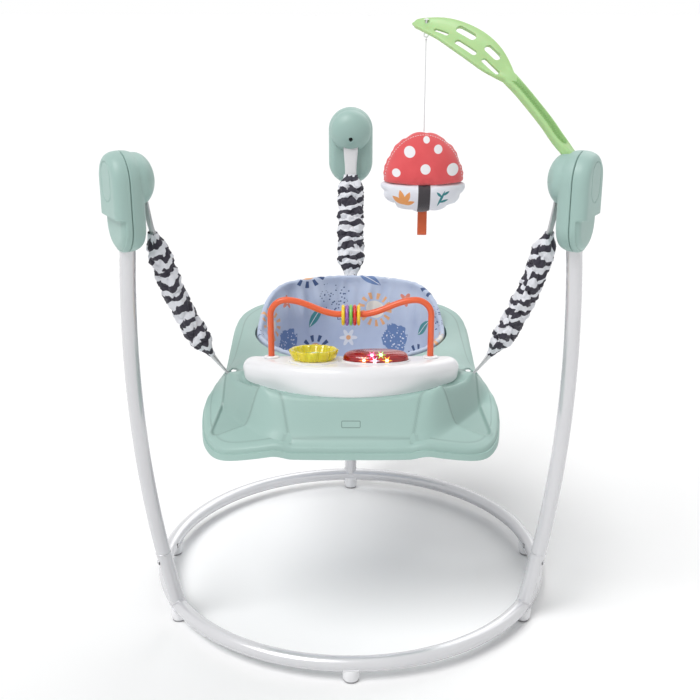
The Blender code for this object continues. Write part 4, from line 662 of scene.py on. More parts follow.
# %% [markdown]
# The tubes are painted steel. Powder paint is smooth and glossy with a faint orange-peel, so its bump is
# wide and shallow. Bare metal is kept for the buttons, pins and springs.

# %% Paint and metal


def painted_steel():
    finish = Finish("painted_steel", (0.66, 0.66, 0.68), roughness=0.22, metallic=0.35, coat_weight=0.5,
                    coat_roughness=0.08)
    peel = finish.noise(420.0, 1.0)
    tone = finish.noise(9.0, 2.0)
    finish.color_from(finish.blend(tone, (0.64, 0.64, 0.66), (0.70, 0.70, 0.72)))
    finish.normal_from(finish.bump(peel, 0.08, 0.0003))
    return finish.material


def bare_steel():
    finish = Finish("bare_steel", (0.56, 0.56, 0.58), metallic=1.0, roughness=0.32)
    brushed = finish.noise(900.0, 2.0)
    finish.roughness_from(finish.spread(brushed, 0.22, 0.42))
    return finish.material


steel_paint = painted_steel()
steel = bare_steel()

# %% [markdown]
# ## The tubes
#
# The floor ring comes in two halves. Short stubs are welded to it, and a long bowed leg slides onto each
# one until a sprung button clicks out of its hole. The legs follow one arc, so one function bends all
# three.

# %% Tubes
TUBE_R = 0.0127
STUB_TOP = 0.110
LEG_WIDEST_R = 0.4045
LEG_WIDEST_Z = 0.480
LEG_TOP = 0.735
LEG_AZIMUTHS = {"left": 210, "right": 330, "rear": 90}
JOINT_GAP = 0.0006
PART_GAP = 0.0003
BUTTON_Z = 0.092
RING_BUTTON_ANGLE = 5


def leg_radius(height):
    bow = LEG_WIDEST_R - RING_R
    bend = (bow ** 2 + LEG_WIDEST_Z ** 2) / (2 * bow)
    return LEG_WIDEST_R - (bend - math.sqrt(bend ** 2 - (height - LEG_WIDEST_Z) ** 2))


def leg_line(bottom, top, count):
    return [Vector((0.0, leg_radius(z), z)) for z in np.linspace(bottom, top, count)]


def weld_bead(azimuth):
    """The fillet of weld round a stub's foot."""
    points = []
    for angle in round_angles(48):
        x, y = TUBE_R * math.cos(angle), TUBE_R * math.sin(angle)
        z = math.sqrt(max(TUBE_R ** 2 * 1.04 - y ** 2, 0.0)) + 0.0004 * math.sin(9 * angle)
        points.append(Vector((x, RING_R + y + 0.0013, z)))
    return placed(tube("bead", points, 0.0016, 8, closed=True), leg_turn(azimuth))


def socket_lip(azimuth, height):
    """The rolled edge at the top of a stub, where the leg goes in."""
    lip = [(TUBE_R + 0.0002, -0.002), (TUBE_R + 0.0007, -0.0014), (TUBE_R + 0.0007, 0.0),
           (TUBE_R - 0.001, 0.0006), (TUBE_R - 0.002, -0.002)]
    place = Matrix.Translation((0.0, leg_radius(height), height))
    return placed(turned_piece("lip", lip, 32), leg_turn(azimuth) @ place)


def ring_half(name, start, azimuths):
    slack = math.degrees(JOINT_GAP / RING_R) / 2
    line = [turned(angle, RING_R) for angle in np.linspace(start + slack, start + 180 - slack, 121)]
    parts = [tube("arc", line, TUBE_R, 32)]
    for azimuth in azimuths:
        stub = tube("stub", leg_line(0.0, STUB_TOP, 24), TUBE_R, 32)
        parts.append(placed(stub, leg_turn(azimuth)))
        parts.append(weld_bead(azimuth))
        parts.append(socket_lip(azimuth, STUB_TOP - 0.0006))
    return joined(name, *parts)


def snap_button(place, outward):
    button = [(0.0, 0.0024), (0.0014, 0.0021), (0.0026, 0.0012), (0.0034, 0.0), (0.0034, -0.003),
              (0.0, -0.003)]
    rim = [(0.0, 0.0007), (0.0046, 0.0003), (0.0047, -0.003), (0.0, -0.003)]
    parts = (coated(turned_piece("button", button, 20, closed=False), steel),
             coated(turned_piece("rim", rim, 24, closed=False), black_plastic))
    turn = outward.to_track_quat("Z", "Y").to_matrix().to_4x4()
    return placed(joined("button", *parts), Matrix.Translation(place) @ turn)


settle(ring_half("floor_ring_front", 180, (210, 330)), steel_paint, "frame", "steel", "base_tube_front")
settle(ring_half("floor_ring_rear", 0, (90,)), steel_paint, "frame", "steel", "base_tube_rear")
for side, azimuth in LEG_AZIMUTHS.items():
    pole = tube(f"bowed_leg_{side}", leg_line(STUB_TOP + JOINT_GAP, LEG_TOP, 90), TUBE_R - 0.0001, 32)
    settle(pole, steel_paint, "frame", "steel", f"leg_{side}", mast=azimuth)
buttons = []
for azimuth in LEG_AZIMUTHS.values():
    way = turned(azimuth, 1.0)
    buttons.append(snap_button(way * (leg_radius(BUTTON_Z) + TUBE_R) + Vector((0, 0, BUTTON_Z)), way))
for azimuth in (180 - RING_BUTTON_ANGLE, RING_BUTTON_ANGLE):
    way = -turned(azimuth, 1.0)
    buttons.append(snap_button(turned(azimuth, RING_R) + way * TUBE_R, way))
settle(joined("snap_buttons", *buttons), None, "frame", "metal")

# %% [markdown]
# ## The feet
#
# Six small feet clip under the ring. Each is a round pad of white plastic with a rubber sole and two cheeks
# that hug the tube.

# %% Feet
FOOT_R = 0.0145
SOLE_WALL = 0.0035
CHEEK_THICK = 0.0016
CHEEK_DROP = 0.0035
CHEEK_SWEEP = 2.0
FOOT_AZIMUTHS = {"front": 270, "left": 210, "right": 330, "left_rear": 171, "right_rear": 9, "rear": 90}
rubber_sole = moulded_plastic("rubber_sole", (0.30, 0.30, 0.31), 0.75, grain=0.3).material


def floor_foot(name, azimuth):
    sole_top = -RING_Z + SOLE_WALL
    pad = [(0.0, -0.006), (0.0138, -0.006), (FOOT_R, -0.0075), (FOOT_R, -0.0200), (0.0138, -0.0225),
           (0.0128, sole_top), (0.0, sole_top)]
    body = turned_piece("pad", pad, 40, closed=False)
    hug = [turned(angle, RING_R) - turned(azimuth, RING_R)
           for angle in np.linspace(azimuth - CHEEK_SWEEP, azimuth + CHEEK_SWEEP, 9)]
    cheeks = tube("cheeks", hug, TUBE_R + CHEEK_THICK, 28)
    keep = box("keep", (-0.05, -0.05, -0.05), (0.05, 0.05, -CHEEK_DROP))
    cheeks = combined(cheeks, keep, "INTERSECT")
    rubber = [(0.0, sole_top + 0.001), (0.0120, sole_top + 0.001), (0.0126, -RING_Z + 0.0012),
              (0.0118, -RING_Z), (0.0, -RING_Z)]
    sole = turned_piece("sole", rubber, 40, closed=False)
    parts = (coated(body, white_plastic), coated(cheeks, white_plastic), coated(sole, rubber_sole))
    return moved(joined(name, *parts), *turned(azimuth, RING_R))


for place, azimuth in FOOT_AZIMUTHS.items():
    settle(floor_foot(f"pad_{place}", azimuth), None, "frame", "white", f"foot_{place}")

# %% [markdown]
# ## The housings
#
# A mint housing caps each leg. It has two shells: the outer one carries an oval line and a step, and the
# inner one a round dome with a screw in it. A shell is a height field over a stadium shape. Each point of
# a fine grid gets its depth from the rounded edge, the dome, the step and the groove, and a soft maximum
# leaves the fillets that a mould would.

# %% Housings
POD_SEAM_R = 0.4015
POD_HALF_WIDTH = 0.045
POD_BOTTOM = 0.642
POD_TOP = 0.797
POD_INNER_DEPTH = 0.0245
POD_OUTER_DEPTH = 0.0235
POD_STEP_DEPTH = 0.0080
POD_STEP_Z = 0.698
POD_EDGE = 0.017
POD_LEAST_DEPTH = 0.0016
DOME_R = 0.041
DOME_PROUD = 0.028
DOME_SINK = 0.0025
DOME_FILLET = 0.003
DOME_Z = POD_TOP - POD_HALF_WIDTH
SCREW_Z = 0.738
SCREW_WELL_R = 0.0042
OVAL_HALF_WIDTH = 0.020
OVAL_HALF_HEIGHT = 0.0305
GROOVE = 0.0016
GROOVE_DEPTH = 0.0012
STEP_SOFTNESS = 0.0012
POD_GRID = 84
POD_ARC_STEPS = 68
POD_SIDE_STEPS = 32
SEAM_GAP = 0.0009


def stadium_distance(x, z, bottom, top, half_width):
    """Distance inside a stadium's outline."""
    middle = np.clip(z, bottom + half_width, top - half_width)
    return half_width - np.hypot(x, z - middle)


def edge_depth(inside, depth):
    """Depth of a shell with a round shoulder, against the distance in from its outline."""
    share = np.clip(inside / POD_EDGE, 0.0, 1.0)
    return depth * (1 - (1 - share) ** 2.6) ** 0.42


def soft_max(a, b, width):
    share = np.clip(0.5 + 0.5 * (a - b) / width, 0.0, 1.0)
    return b + (a - b) * share + width * share * (1 - share) * 0.5


def inner_depth(x, z):
    inside = stadium_distance(x, z, POD_BOTTOM, POD_TOP, POD_HALF_WIDTH)
    depth = edge_depth(inside, POD_INNER_DEPTH)
    reach = np.clip(1 - (x ** 2 + (z - DOME_Z) ** 2) / DOME_R ** 2, 0.0, 1.0)
    dome = POD_INNER_DEPTH + DOME_PROUD * np.sqrt(reach) - DOME_SINK
    return np.where(reach > 0, soft_max(depth, dome, DOME_FILLET), depth)


def outer_depth(x, z):
    inside = stadium_distance(x, z, POD_BOTTOM, POD_TOP, POD_HALF_WIDTH)
    low = smoothstep((POD_STEP_Z - z + STEP_SOFTNESS) / (2 * STEP_SOFTNESS))
    depth = edge_depth(inside, POD_OUTER_DEPTH) - low * POD_STEP_DEPTH * np.clip(inside / 0.004, 0.0, 1.0)
    oval = stadium_distance(x, z, DOME_Z - OVAL_HALF_HEIGHT, DOME_Z + OVAL_HALF_HEIGHT, OVAL_HALF_WIDTH)
    groove = 1 - smoothstep((np.abs(oval) - GROOVE * 0.25) / (GROOVE * 0.4))
    return depth - GROOVE_DEPTH * groove


def stadium_ring(inset):
    """An outline at a distance inside the housing's, with the same points at every distance."""
    half = POD_HALF_WIDTH - inset
    low, high = POD_BOTTOM + POD_HALF_WIDTH, POD_TOP - POD_HALF_WIDTH
    ring = []
    for centre, start, side in ((high, 0.0, -1), (low, math.pi, 1)):
        angles = [start + math.pi * step / POD_ARC_STEPS for step in range(POD_ARC_STEPS)]
        ring += arc(0.0, centre, half, angles)
        other = low if centre == high else high
        for step in range(POD_SIDE_STEPS):
            ring.append((side * half, mix(centre, other, step / POD_SIDE_STEPS)))
    return ring


def pod_shell(name, direction, depth_at):
    """A shell that grows from the seam towards its face."""
    seam = POD_SEAM_R + direction * SEAM_GAP / 2
    insets = POD_HALF_WIDTH * np.linspace(0.0, 1.0, POD_GRID) ** 1.25
    rings = [[(x, seam, z) for x, z in stadium_ring(POD_HALF_WIDTH * 0.5)],
             [(x, seam, z) for x, z in stadium_ring(0.0012)]]
    for inset in insets:
        x, z = np.array(stadium_ring(inset)).T
        depth = np.maximum(depth_at(x, z), POD_LEAST_DEPTH)
        y = POD_SEAM_R + direction * depth
        rings.append([tuple(point) for point in zip(x, y, z)])
    return skin(name, rings, ends="start")


PIN_R = 0.0035
PIN_POS = (0.370, 0.742)
STRAP_WIDTH = 0.029
LOOP_WALL = 0.0015
MOUTH_ROOM = 0.0012
MOUTH_HALF_DEPTH = 0.0062
MOUTH_TOP = 0.735
SCREW_WELL_DEPTH = 0.009


def strap_mouth():
    """The hole in a housing's underside that the strap comes out of."""
    half_width = STRAP_WIDTH / 2 + MOUTH_ROOM
    y = PIN_POS[0]
    return box("mouth", (-half_width, y - MOUTH_HALF_DEPTH, POD_BOTTOM - 0.02),
               (half_width, y + MOUTH_HALF_DEPTH, MOUTH_TOP), 0.002)


def screw_well(z, depth):
    surface = POD_SEAM_R - float(inner_depth(np.array([0.0]), np.array([z]))[0])
    return rod("well", (0, surface - 0.01, z), (0, surface + depth, z), SCREW_WELL_R, 32)


for side, azimuth in LEG_AZIMUTHS.items():
    inner = pod_shell(f"housing_inner_{side}", -1, inner_depth)
    inner = combined(inner, strap_mouth())
    inner = combined(inner, screw_well(SCREW_Z, SCREW_WELL_DEPTH))
    settle(inner, mint_plastic, "frame", "mint", f"pod_inner_{side}", mast=azimuth, smooth_angle=35)
    outer = pod_shell(f"housing_outer_{side}", 1, outer_depth)
    settle(outer, mint_plastic, "frame", "mint", f"pod_outer_{side}", mast=azimuth, smooth_angle=35)

# %% [markdown]
# ## The tray
#
# The tray is one mint moulding with a hole for the seat. Its rim runs low at the front and climbs to the
# back, and two round lobes carry shallow triangles. The same few rules that shaped the solid give a much
# finer grid here: the outline as a smooth curve, and a height for each direction and share of the way from
# the hole to the rim.

# %% Tray surface
SEAT_Y = 0.040
HOLE_R = 0.1735
DECK_Z = 0.437
TRAY_WALL = 0.0032
FLANGE_DEPTH = 0.016
LIP_DEPTH = 0.020
LIP_FLARE = 0.006
FRONT_RIM_Z = 0.356
REAR_RIM_Z = 0.440
APRON_START = 0.64
APRON_REACH = 0.36
RIM_RISE_Y = -0.295
RIM_RISE_REACH = 0.395
LOBE_Z = 0.3702
LOBE_POINT = (0.200, -0.200)
LOBE_FALL_X = 0.246
LOBE_FALL_Y = 0.320
LOBE_START = 0.2
LOBE_REACH = 0.5
LOBE_CREASE = (0.094, -0.290)
LOBE_CREASE_SLOPE = 0.75
LOBE_CREASE_REACH = 0.035
SIDE_START_Y = -0.165
SIDE_REACH = 0.045
TRAY_HALF_OUTLINE = (
    (0.0, -0.296), (0.08, -0.295), (0.150, -0.289), (0.203, -0.274), (0.229, -0.240),
    (0.239, -0.195), (0.241, -0.152), (0.227, -0.112), (0.214, -0.070), (0.2105, 0.0),
    (0.2085, 0.100), (0.195, 0.160), (0.165, 0.205), (0.100, 0.243), (0.0, 0.258))
POCKET_CORNERS = ((0.200, -0.108), (0.134, -0.226), (0.226, -0.246))
POCKET_ROUND = 0.016
POCKET_DEPTH = 0.0032
POCKET_WALL = 0.0032
POCKET_LIP = 0.0012
POCKET_LIP_PLACE = 0.0022
POCKET_LIP_WIDTH = 0.0016
CREASE_GROOVE = 0.0010
CREASE_WIDTH = 0.0025
CREASE_LINE = ((0.168, -0.150), (0.150, -0.172), (0.129, -0.209), (0.108, -0.250), (0.094, -0.288))
FLANGE_LINE = 0.0125
CONSOLE_ARC_R = 0.2261
CONSOLE_ARC_Y = -0.0253
CONSOLE_REAR_Y = -0.136
CONSOLE_SEAT_Z = 0.4190
CONSOLE_END_Z = 0.4290
CONSOLE_END_Y = -0.178
TRAY_SIDES = 640
TRAY_STEPS = 92


def tray_outline():
    half = [Vector((x, y, 0.0)) for x, y in TRAY_HALF_OUTLINE]
    other = [Vector((-p.x, p.y, 0.0)) for p in reversed(half[1:-1])]
    return catmull_rom(half + other, 24, closed=True)


RIM = tray_outline()
RIM_TABLE = sorted((math.atan2(p.y - SEAT_Y, p.x), math.hypot(p.x, p.y - SEAT_Y)) for p in RIM)
RIM_ANGLES = np.array([angle for angle, radius in RIM_TABLE])
RIM_RADII = np.array([radius for angle, radius in RIM_TABLE])


def rim_radius(angle):
    return np.interp(np.arctan2(np.sin(angle), np.cos(angle)), RIM_ANGLES, RIM_RADII, period=2 * math.pi)


def tray_height(angle, share):
    """Height of the tray's surface, from the seat hole (share 0) to the rim (share 1)."""
    rim = rim_radius(angle)
    radius = mix(HOLE_R, rim, share)
    x, y = radius * np.cos(angle), SEAT_Y + radius * np.sin(angle)
    apron = mix(DECK_Z, FRONT_RIM_Z, smoothstep((share - APRON_START) / APRON_REACH))
    lobe_plane = LOBE_Z - LOBE_FALL_X * (np.abs(x) - LOBE_POINT[0]) + LOBE_FALL_Y * (y - LOBE_POINT[1])
    lobe = mix(DECK_Z, lobe_plane, smoothstep((share - LOBE_START) / LOBE_REACH))
    rim_y = SEAT_Y + rim * np.sin(angle)
    rim_z = mix(FRONT_RIM_Z, REAR_RIM_Z, smoothstep((rim_y - RIM_RISE_Y) / RIM_RISE_REACH))
    side = mix(DECK_Z, rim_z, share ** 2)
    crease = LOBE_CREASE[0] + LOBE_CREASE_SLOPE * (y - LOBE_CREASE[1])
    front = mix(apron, lobe, smoothstep((np.abs(x) - crease) / LOBE_CREASE_REACH))
    return mix(front, side, smoothstep((y - SIDE_START_Y) / SIDE_REACH))


def console_seat(x, y, height):
    """How far the tray drops round the console, so that the console's round edge shows all the way along."""
    outside = np.maximum(np.hypot(x, y - CONSOLE_ARC_Y) - CONSOLE_ARC_R, y - CONSOLE_REAR_Y)
    reach = smoothstep((outside + 0.008) / 0.007) * smoothstep((0.032 - outside) / 0.030)
    reach = reach * smoothstep((-0.128 - y) / 0.014)
    target = mix(CONSOLE_SEAT_Z, CONSOLE_END_Z, smoothstep((y - CONSOLE_END_Y) / 0.022))
    return np.maximum(height - target, 0.0) * reach


def tray_height_at(x, y):
    angle = math.atan2(y - SEAT_Y, x)
    share = (math.hypot(x, y - SEAT_Y) - HOLE_R) / (float(rim_radius(angle)) - HOLE_R)
    return float(tray_height(np.array([angle]), share)[0])


def rounded_triangle_distance(x, y, corners, radius):
    """Distance inside a triangle with round corners."""
    corners = [np.array(corner) for corner in corners]
    middle = sum(corners) / 3
    distances = []
    for a, b in zip(corners, corners[1:] + corners[:1]):
        along = (b - a) / np.linalg.norm(b - a)
        normal = np.array([-along[1], along[0]])
        if normal @ (middle - a) < 0:
            normal = -normal
        distances.append(normal[0] * (x - a[0]) + normal[1] * (y - a[1]))
    shrunk = [distance - radius for distance in distances]
    outside = [np.minimum(value, 0.0) for value in shrunk]
    inside = np.minimum.reduce(shrunk)
    return np.where(inside > 0, inside, -np.sqrt(sum(value ** 2 for value in outside))) + radius


def pocket_distance(x, y):
    return rounded_triangle_distance(np.abs(x), y, POCKET_CORNERS, POCKET_ROUND)


def crease_distance(x, y):
    """Distance from the line where a lobe meets the front."""
    nearest = np.full_like(x, 1.0)
    for start, stop in zip(CREASE_LINE, CREASE_LINE[1:]):
        run_x, run_y = stop[0] - start[0], stop[1] - start[1]
        share = ((np.abs(x) - start[0]) * run_x + (y - start[1]) * run_y) / (run_x ** 2 + run_y ** 2)
        share = np.clip(share, 0.0, 1.0)
        aside = np.hypot(np.abs(x) - start[0] - share * run_x, y - start[1] - share * run_y)
        nearest = np.minimum(nearest, aside)
    return nearest


def tray_dips(x, y):
    """How far the pockets and the creases lie below the tray's surface."""
    inside = pocket_distance(x, y)
    lip = np.exp(-((inside + POCKET_LIP_PLACE) / POCKET_LIP_WIDTH) ** 2)
    crease = CREASE_GROOVE * np.exp(-(crease_distance(x, y) / CREASE_WIDTH) ** 2)
    crease = crease * smoothstep((SIDE_START_Y - y) / 0.02)
    return POCKET_DEPTH * smoothstep((inside + 0.0002) / POCKET_WALL) - POCKET_LIP * lip + crease


def even_angles(count):
    """Directions from the seat's axis that are about evenly spaced along the rim."""
    ring = RIM + RIM[:1]
    lengths = [0.0]
    for a, b in zip(ring, ring[1:]):
        lengths.append(lengths[-1] + (b - a).length)
    headings = np.unwrap([math.atan2(p.y - SEAT_Y, p.x) for p in ring])
    return np.interp(np.linspace(0, lengths[-1], count + 1)[:-1], lengths, headings)


TRAY_ANGLES = even_angles(TRAY_SIDES)


def tray_ring(share, lift=0.0, flare=0.0, height=None, dips=False):
    radius = mix(HOLE_R, rim_radius(TRAY_ANGLES), share) + flare
    x, y = radius * np.cos(TRAY_ANGLES), SEAT_Y + radius * np.sin(TRAY_ANGLES)
    z = tray_height(TRAY_ANGLES, share) + lift if height is None else np.full_like(x, height)
    if dips:
        z = z - tray_dips(x, y) - console_seat(x, y, tray_height(TRAY_ANGLES, share))
    return [tuple(point) for point in zip(x, y, z)]


# %% [markdown]
# The rim turns down over a round edge and ends in a small bead. The underside follows at a wall's distance,
# as in an injection moulding, and a few straight cuts open the slots for the straps and the hole for the
# console's pan.

# %% Tray shell
SLOT_R = 0.2386
SLOT_LENGTH = 0.0230
SLOT_REACH = (0.2260, 0.2430)
PAN_X = 0.0750
PAN_Y = (-0.2185, -0.1525)
EDGE_R = 0.0055
LIP_STEPS = ((0.46, 0.28), (0.49, 0.30), (0.52, 0.70), (0.56, 0.76), (0.86, 0.90), (0.90, 0.98), (1.0, 1.0))


def tray_skin():
    """The outer surface from the seat hole to the lip, and back along the underside at a wall's distance."""
    rings = [tray_ring(0.0, height=DECK_Z - FLANGE_DEPTH), tray_ring(0.0, height=DECK_Z - 0.004),
             tray_ring(0.0, lift=-0.0012, flare=0.0002), tray_ring(0.006, lift=-0.0002)]
    shares = np.linspace(0.02, 0.972, TRAY_STEPS)
    rings += [tray_ring(float(share), dips=True) for share in shares]
    for angle in np.radians((15, 35, 55, 75, 90)):
        flare = EDGE_R * (math.sin(angle) - 1.0) + LIP_FLARE * 0.25
        rings.append(tray_ring(1.0, lift=-EDGE_R * (1 - math.cos(angle)), flare=flare))
    for depth, flare in LIP_STEPS:
        rings.append(tray_ring(1.0, lift=-LIP_DEPTH * depth, flare=LIP_FLARE * flare))
    rings.append(tray_ring(1.0, lift=-LIP_DEPTH, flare=LIP_FLARE - TRAY_WALL * 0.6))
    rings.append(tray_ring(1.0, lift=-LIP_DEPTH * 0.6, flare=LIP_FLARE * 0.6 - TRAY_WALL))
    rings.append(tray_ring(1.0, lift=-EDGE_R, flare=LIP_FLARE * 0.25 - TRAY_WALL))
    shares = np.linspace(0.87, 0.10, TRAY_STEPS // 4)
    rings += [tray_ring(float(share), lift=-TRAY_WALL, dips=True) for share in shares]
    rings.append(tray_ring(0.0, lift=-TRAY_WALL - 0.002, flare=TRAY_WALL))
    rings.append(tray_ring(0.0, height=DECK_Z - FLANGE_DEPTH, flare=TRAY_WALL))
    return skin("mint_tray", rings, ends="chain")


def slot_cut(azimuth):
    height = tray_height_at(*turned(azimuth, SLOT_R).xy)
    half = SLOT_LENGTH / 2
    cut = box("slot", (-half, SLOT_REACH[0], height - 0.05), (half, SLOT_REACH[1], height + 0.05), 0.002)
    return placed(cut, leg_turn(azimuth))


BAR_DROP = 0.0160
CHEEK_WALL = 0.0040
CHEEK_HALF = 0.006


def strap_anchor(azimuth):
    """The moulded bar under a slot that the strap loops round, between its two cheeks."""
    height = tray_height_at(*turned(azimuth, SLOT_R).xy)
    y, z = SLOT_R - 0.006, height - BAR_DROP
    inner = SLOT_LENGTH / 2 + 0.0010
    outer = inner + CHEEK_WALL
    parts = [rod("bar", (-outer + 0.001, y, z), (outer - 0.001, y, z), PIN_R, 24)]
    for side in (-1, 1):
        low, high = sorted((side * inner, side * outer))
        parts.append(box("cheek", (low, y - CHEEK_HALF, z - PIN_R - 0.001),
                         (high, y + CHEEK_HALF, height - 0.003), 0.0008))
    return placed(joined("anchor", *parts), leg_turn(azimuth))


tray = tray_skin()
for azimuth in LEG_AZIMUTHS.values():
    tray = combined(tray, slot_cut(azimuth))
tray = combined(tray, box("opening", (-PAN_X - PART_GAP, PAN_Y[0] - PART_GAP, 0.396),
                          (PAN_X + PART_GAP, PAN_Y[1] + PART_GAP, DECK_Z + 0.02)))
tray = joined("mint_tray", tray, *[strap_anchor(azimuth) for azimuth in LEG_AZIMUTHS.values()])

# %% [markdown]
# The tray's plastic has a fine satin grain. Painted shade darkens it along the pocket outlines, the creases
# and a line 12.5 mm in from the rim, and over the pocket floors. At the middle of the front a thin groove
# draws a small blank panel, as a bump and a painted shade line. The line is worked out in the shader from
# the distance to a rounded rectangle, so it stays crisp.

# %% Tray finish
# Painted shade: how dark the moulded lines and the pocket floors are drawn.
LINE_SHADE = 0.66
POCKET_SHADE = 0.28


def paint_line_shade(obj):
    """Keep each point's painted shade, from its nearness to a moulded line and from the pocket floors, so
    that the finish can darken them a little.
    """
    x, y, z = points_of(obj.data).T
    line = np.exp(-((pocket_distance(x, y) - 0.0004) / 0.0024) ** 2)
    crease = 0.7 * np.exp(-(crease_distance(x, y) / 0.0020) ** 2) * smoothstep((-0.160 - y) / 0.02)
    from_rim = rim_radius(np.arctan2(y - SEAT_Y, x)) - np.hypot(x, y - SEAT_Y)
    flange = 0.75 * np.exp(-((from_rim - FLANGE_LINE) / 0.0011) ** 2) * (z > 0.345)
    crease = np.maximum(crease, flange)
    # Painted shade on the pocket floors, so that they read as recessed.
    floor = POCKET_SHADE * smoothstep((pocket_distance(x, y) - 0.001) / 0.004)
    line = np.maximum(line, floor)
    painted_shade = obj.data.attributes.new("line", "FLOAT", "POINT")
    painted_shade.data.foreach_set("value", np.maximum(line, crease).astype(np.float32))


PANEL_HALF = (0.0145, 0.0046)
PANEL_Z = tray_height_at(0.0, -0.273) + RING_Z
PANEL_LINE = 0.0006
PANEL_ROUND = 0.0015
PANEL_SHADE = 0.55


def tray_plastic():
    finish = moulded_plastic("tray_plastic", MINT, 0.40, grain=0.10, shade=0.02)
    x, z = finish.xyz(finish.coordinates())[::2]
    across = finish.minus(finish.absolute(x), PANEL_HALF[0] - PANEL_ROUND)
    along = finish.minus(finish.absolute(finish.minus(z, PANEL_Z)), PANEL_HALF[1] - PANEL_ROUND)
    outside = finish.length(finish.math("MAXIMUM", across, 0.0), finish.math("MAXIMUM", along, 0.0))
    inside = finish.math("MINIMUM", finish.math("MAXIMUM", across, along), 0.0)
    distance = finish.minus(finish.plus(outside, inside), PANEL_ROUND)
    # The panel's outline: a painted shade line, with a groove's bump.
    line = finish.minus(1.0, finish.step(finish.absolute(distance), PANEL_LINE, 0.00025))
    base = finish.shader.inputs["Base Color"].links[0].from_socket
    # The point attribute line holds painted shade along the moulded lines, creases and flange line, and on
    # the pocket floors.
    moulded = finish.node("ShaderNodeAttribute", attribute_name="line").outputs["Fac"]
    base = finish.blend(moulded, base, shaded(MINT, LINE_SHADE))
    finish.color_from(finish.blend(line, base, shaded(MINT, PANEL_SHADE)))
    grain = finish.shader.inputs["Normal"].links[0].from_socket
    finish.normal_from(finish.bump(finish.minus(1.0, line), 0.6, 0.0004, under=grain))
    return finish.material


paint_line_shade(tray)
settle(tray, tray_plastic(), "tray", "mint", "tray_shell", smooth_angle=38)

# %% [markdown]
# ## Cloth finishes
#
# A weave is a fine checker of threads: the product of two sine waves, one along each thread direction. The
# straps and sleeves carry a flat map in metres, so their threads and stripes keep their size.

# %% Cloth and webbing
RIB_PITCH = 0.0016
TWILL_PITCH = 0.0011
CHEVRON = 0.0022
STRIPE_WAVES = 236.0
STRIPE_DRIFT = 10.0
STRIPE_SLANT = 36.0
STRIPE_BRANCH = 1.2


def woven(finish, across, along, pitch, strength, under=None):
    """A plain weave's bump from two coordinates in metres."""
    warp = finish.math("SINE", finish.times(across, FULL_TURN / pitch))
    weft = finish.math("SINE", finish.times(along, FULL_TURN / pitch))
    height = finish.times(warp, weft)
    return finish.bump(height, strength, pitch / 4, under=under)


def webbing_cloth(name, color):
    finish = Finish(name, color, roughness=0.72, sheen_weight=0.25)
    across, along = finish.xyz(finish.coordinates("UV"))[:2]
    rib = finish.math("SINE", finish.times(along, FULL_TURN / RIB_PITCH))
    chevron = finish.math("PINGPONG", across, CHEVRON)
    twill = finish.math("SINE", finish.times(finish.plus(along, chevron), FULL_TURN / TWILL_PITCH))
    # Painted shade: the troughs between the ribs are drawn darker.
    shade = finish.times(finish.plus(rib, 1.0), 0.5)
    finish.color_from(finish.blend(shade, shaded(color, 0.86), color))
    finish.normal_from(finish.bump(finish.plus(rib, twill), 0.5, 0.0003))
    return finish.material


def zebra_cloth():
    finish = Finish("zebra_cloth", (0.8, 0.8, 0.82), roughness=0.68, sheen_weight=0.1)
    across, along = finish.xyz(finish.coordinates("UV"))[:2]
    place = finish.vector(finish.times(across, 1.2), along)
    drift = finish.noise(34.0, 2.0, vector=place)
    branch = finish.noise(60.0, 0.0, vector=place)
    run = finish.plus(finish.times(along, STRIPE_WAVES), finish.times(drift, STRIPE_DRIFT))
    run = finish.plus(run, finish.times(across, STRIPE_SLANT))
    wave = finish.math("SINE", run)
    wave = finish.plus(wave, finish.times(finish.minus(branch, 0.5), STRIPE_BRANCH))
    stripe = finish.step(wave, 0.05, 0.12)
    fade = finish.noise(220.0, 2.0)
    black = finish.blend(fade, (0.016, 0.013, 0.026), (0.034, 0.030, 0.048))
    finish.color_from(finish.blend(stripe, black, (0.80, 0.81, 0.86)))
    crumple = finish.bump(finish.noise(150.0, 3.0), 0.35, 0.0012)
    finish.normal_from(woven(finish, across, along, 0.0007, 0.35, under=crumple))
    return finish.material


webbing = webbing_cloth("white_webbing", (0.86, 0.86, 0.88))
zebra = zebra_cloth()

# %% [markdown]
# ## Straps, springs and sleeves
#
# Each strap loops round a pin in its housing and is sewn to itself. A close-wound spring hooks through the
# straps' eyelets, and a gathered sleeve hides it. All three sag along one line, so that line comes first.

# %% The hanging line
PIN_LENGTH = 0.0370
UPPER_STRAP_WAIST = 0.023
LOWER_STRAP_WIDTH = 0.020
UPPER_STRAP_LENGTH = 0.098
LOWER_STRAP_LENGTH = 0.072
SLEEVE_START = 0.076
SLEEVE_STOP = 0.050
CLOTH_GAP = 0.0003
HANG_START = (-0.018, -0.394)
HANG_END = (0.072, 0.270)
BAR_IN = 0.006
HOOK_R = 0.0050
EYELET_R = 0.0023


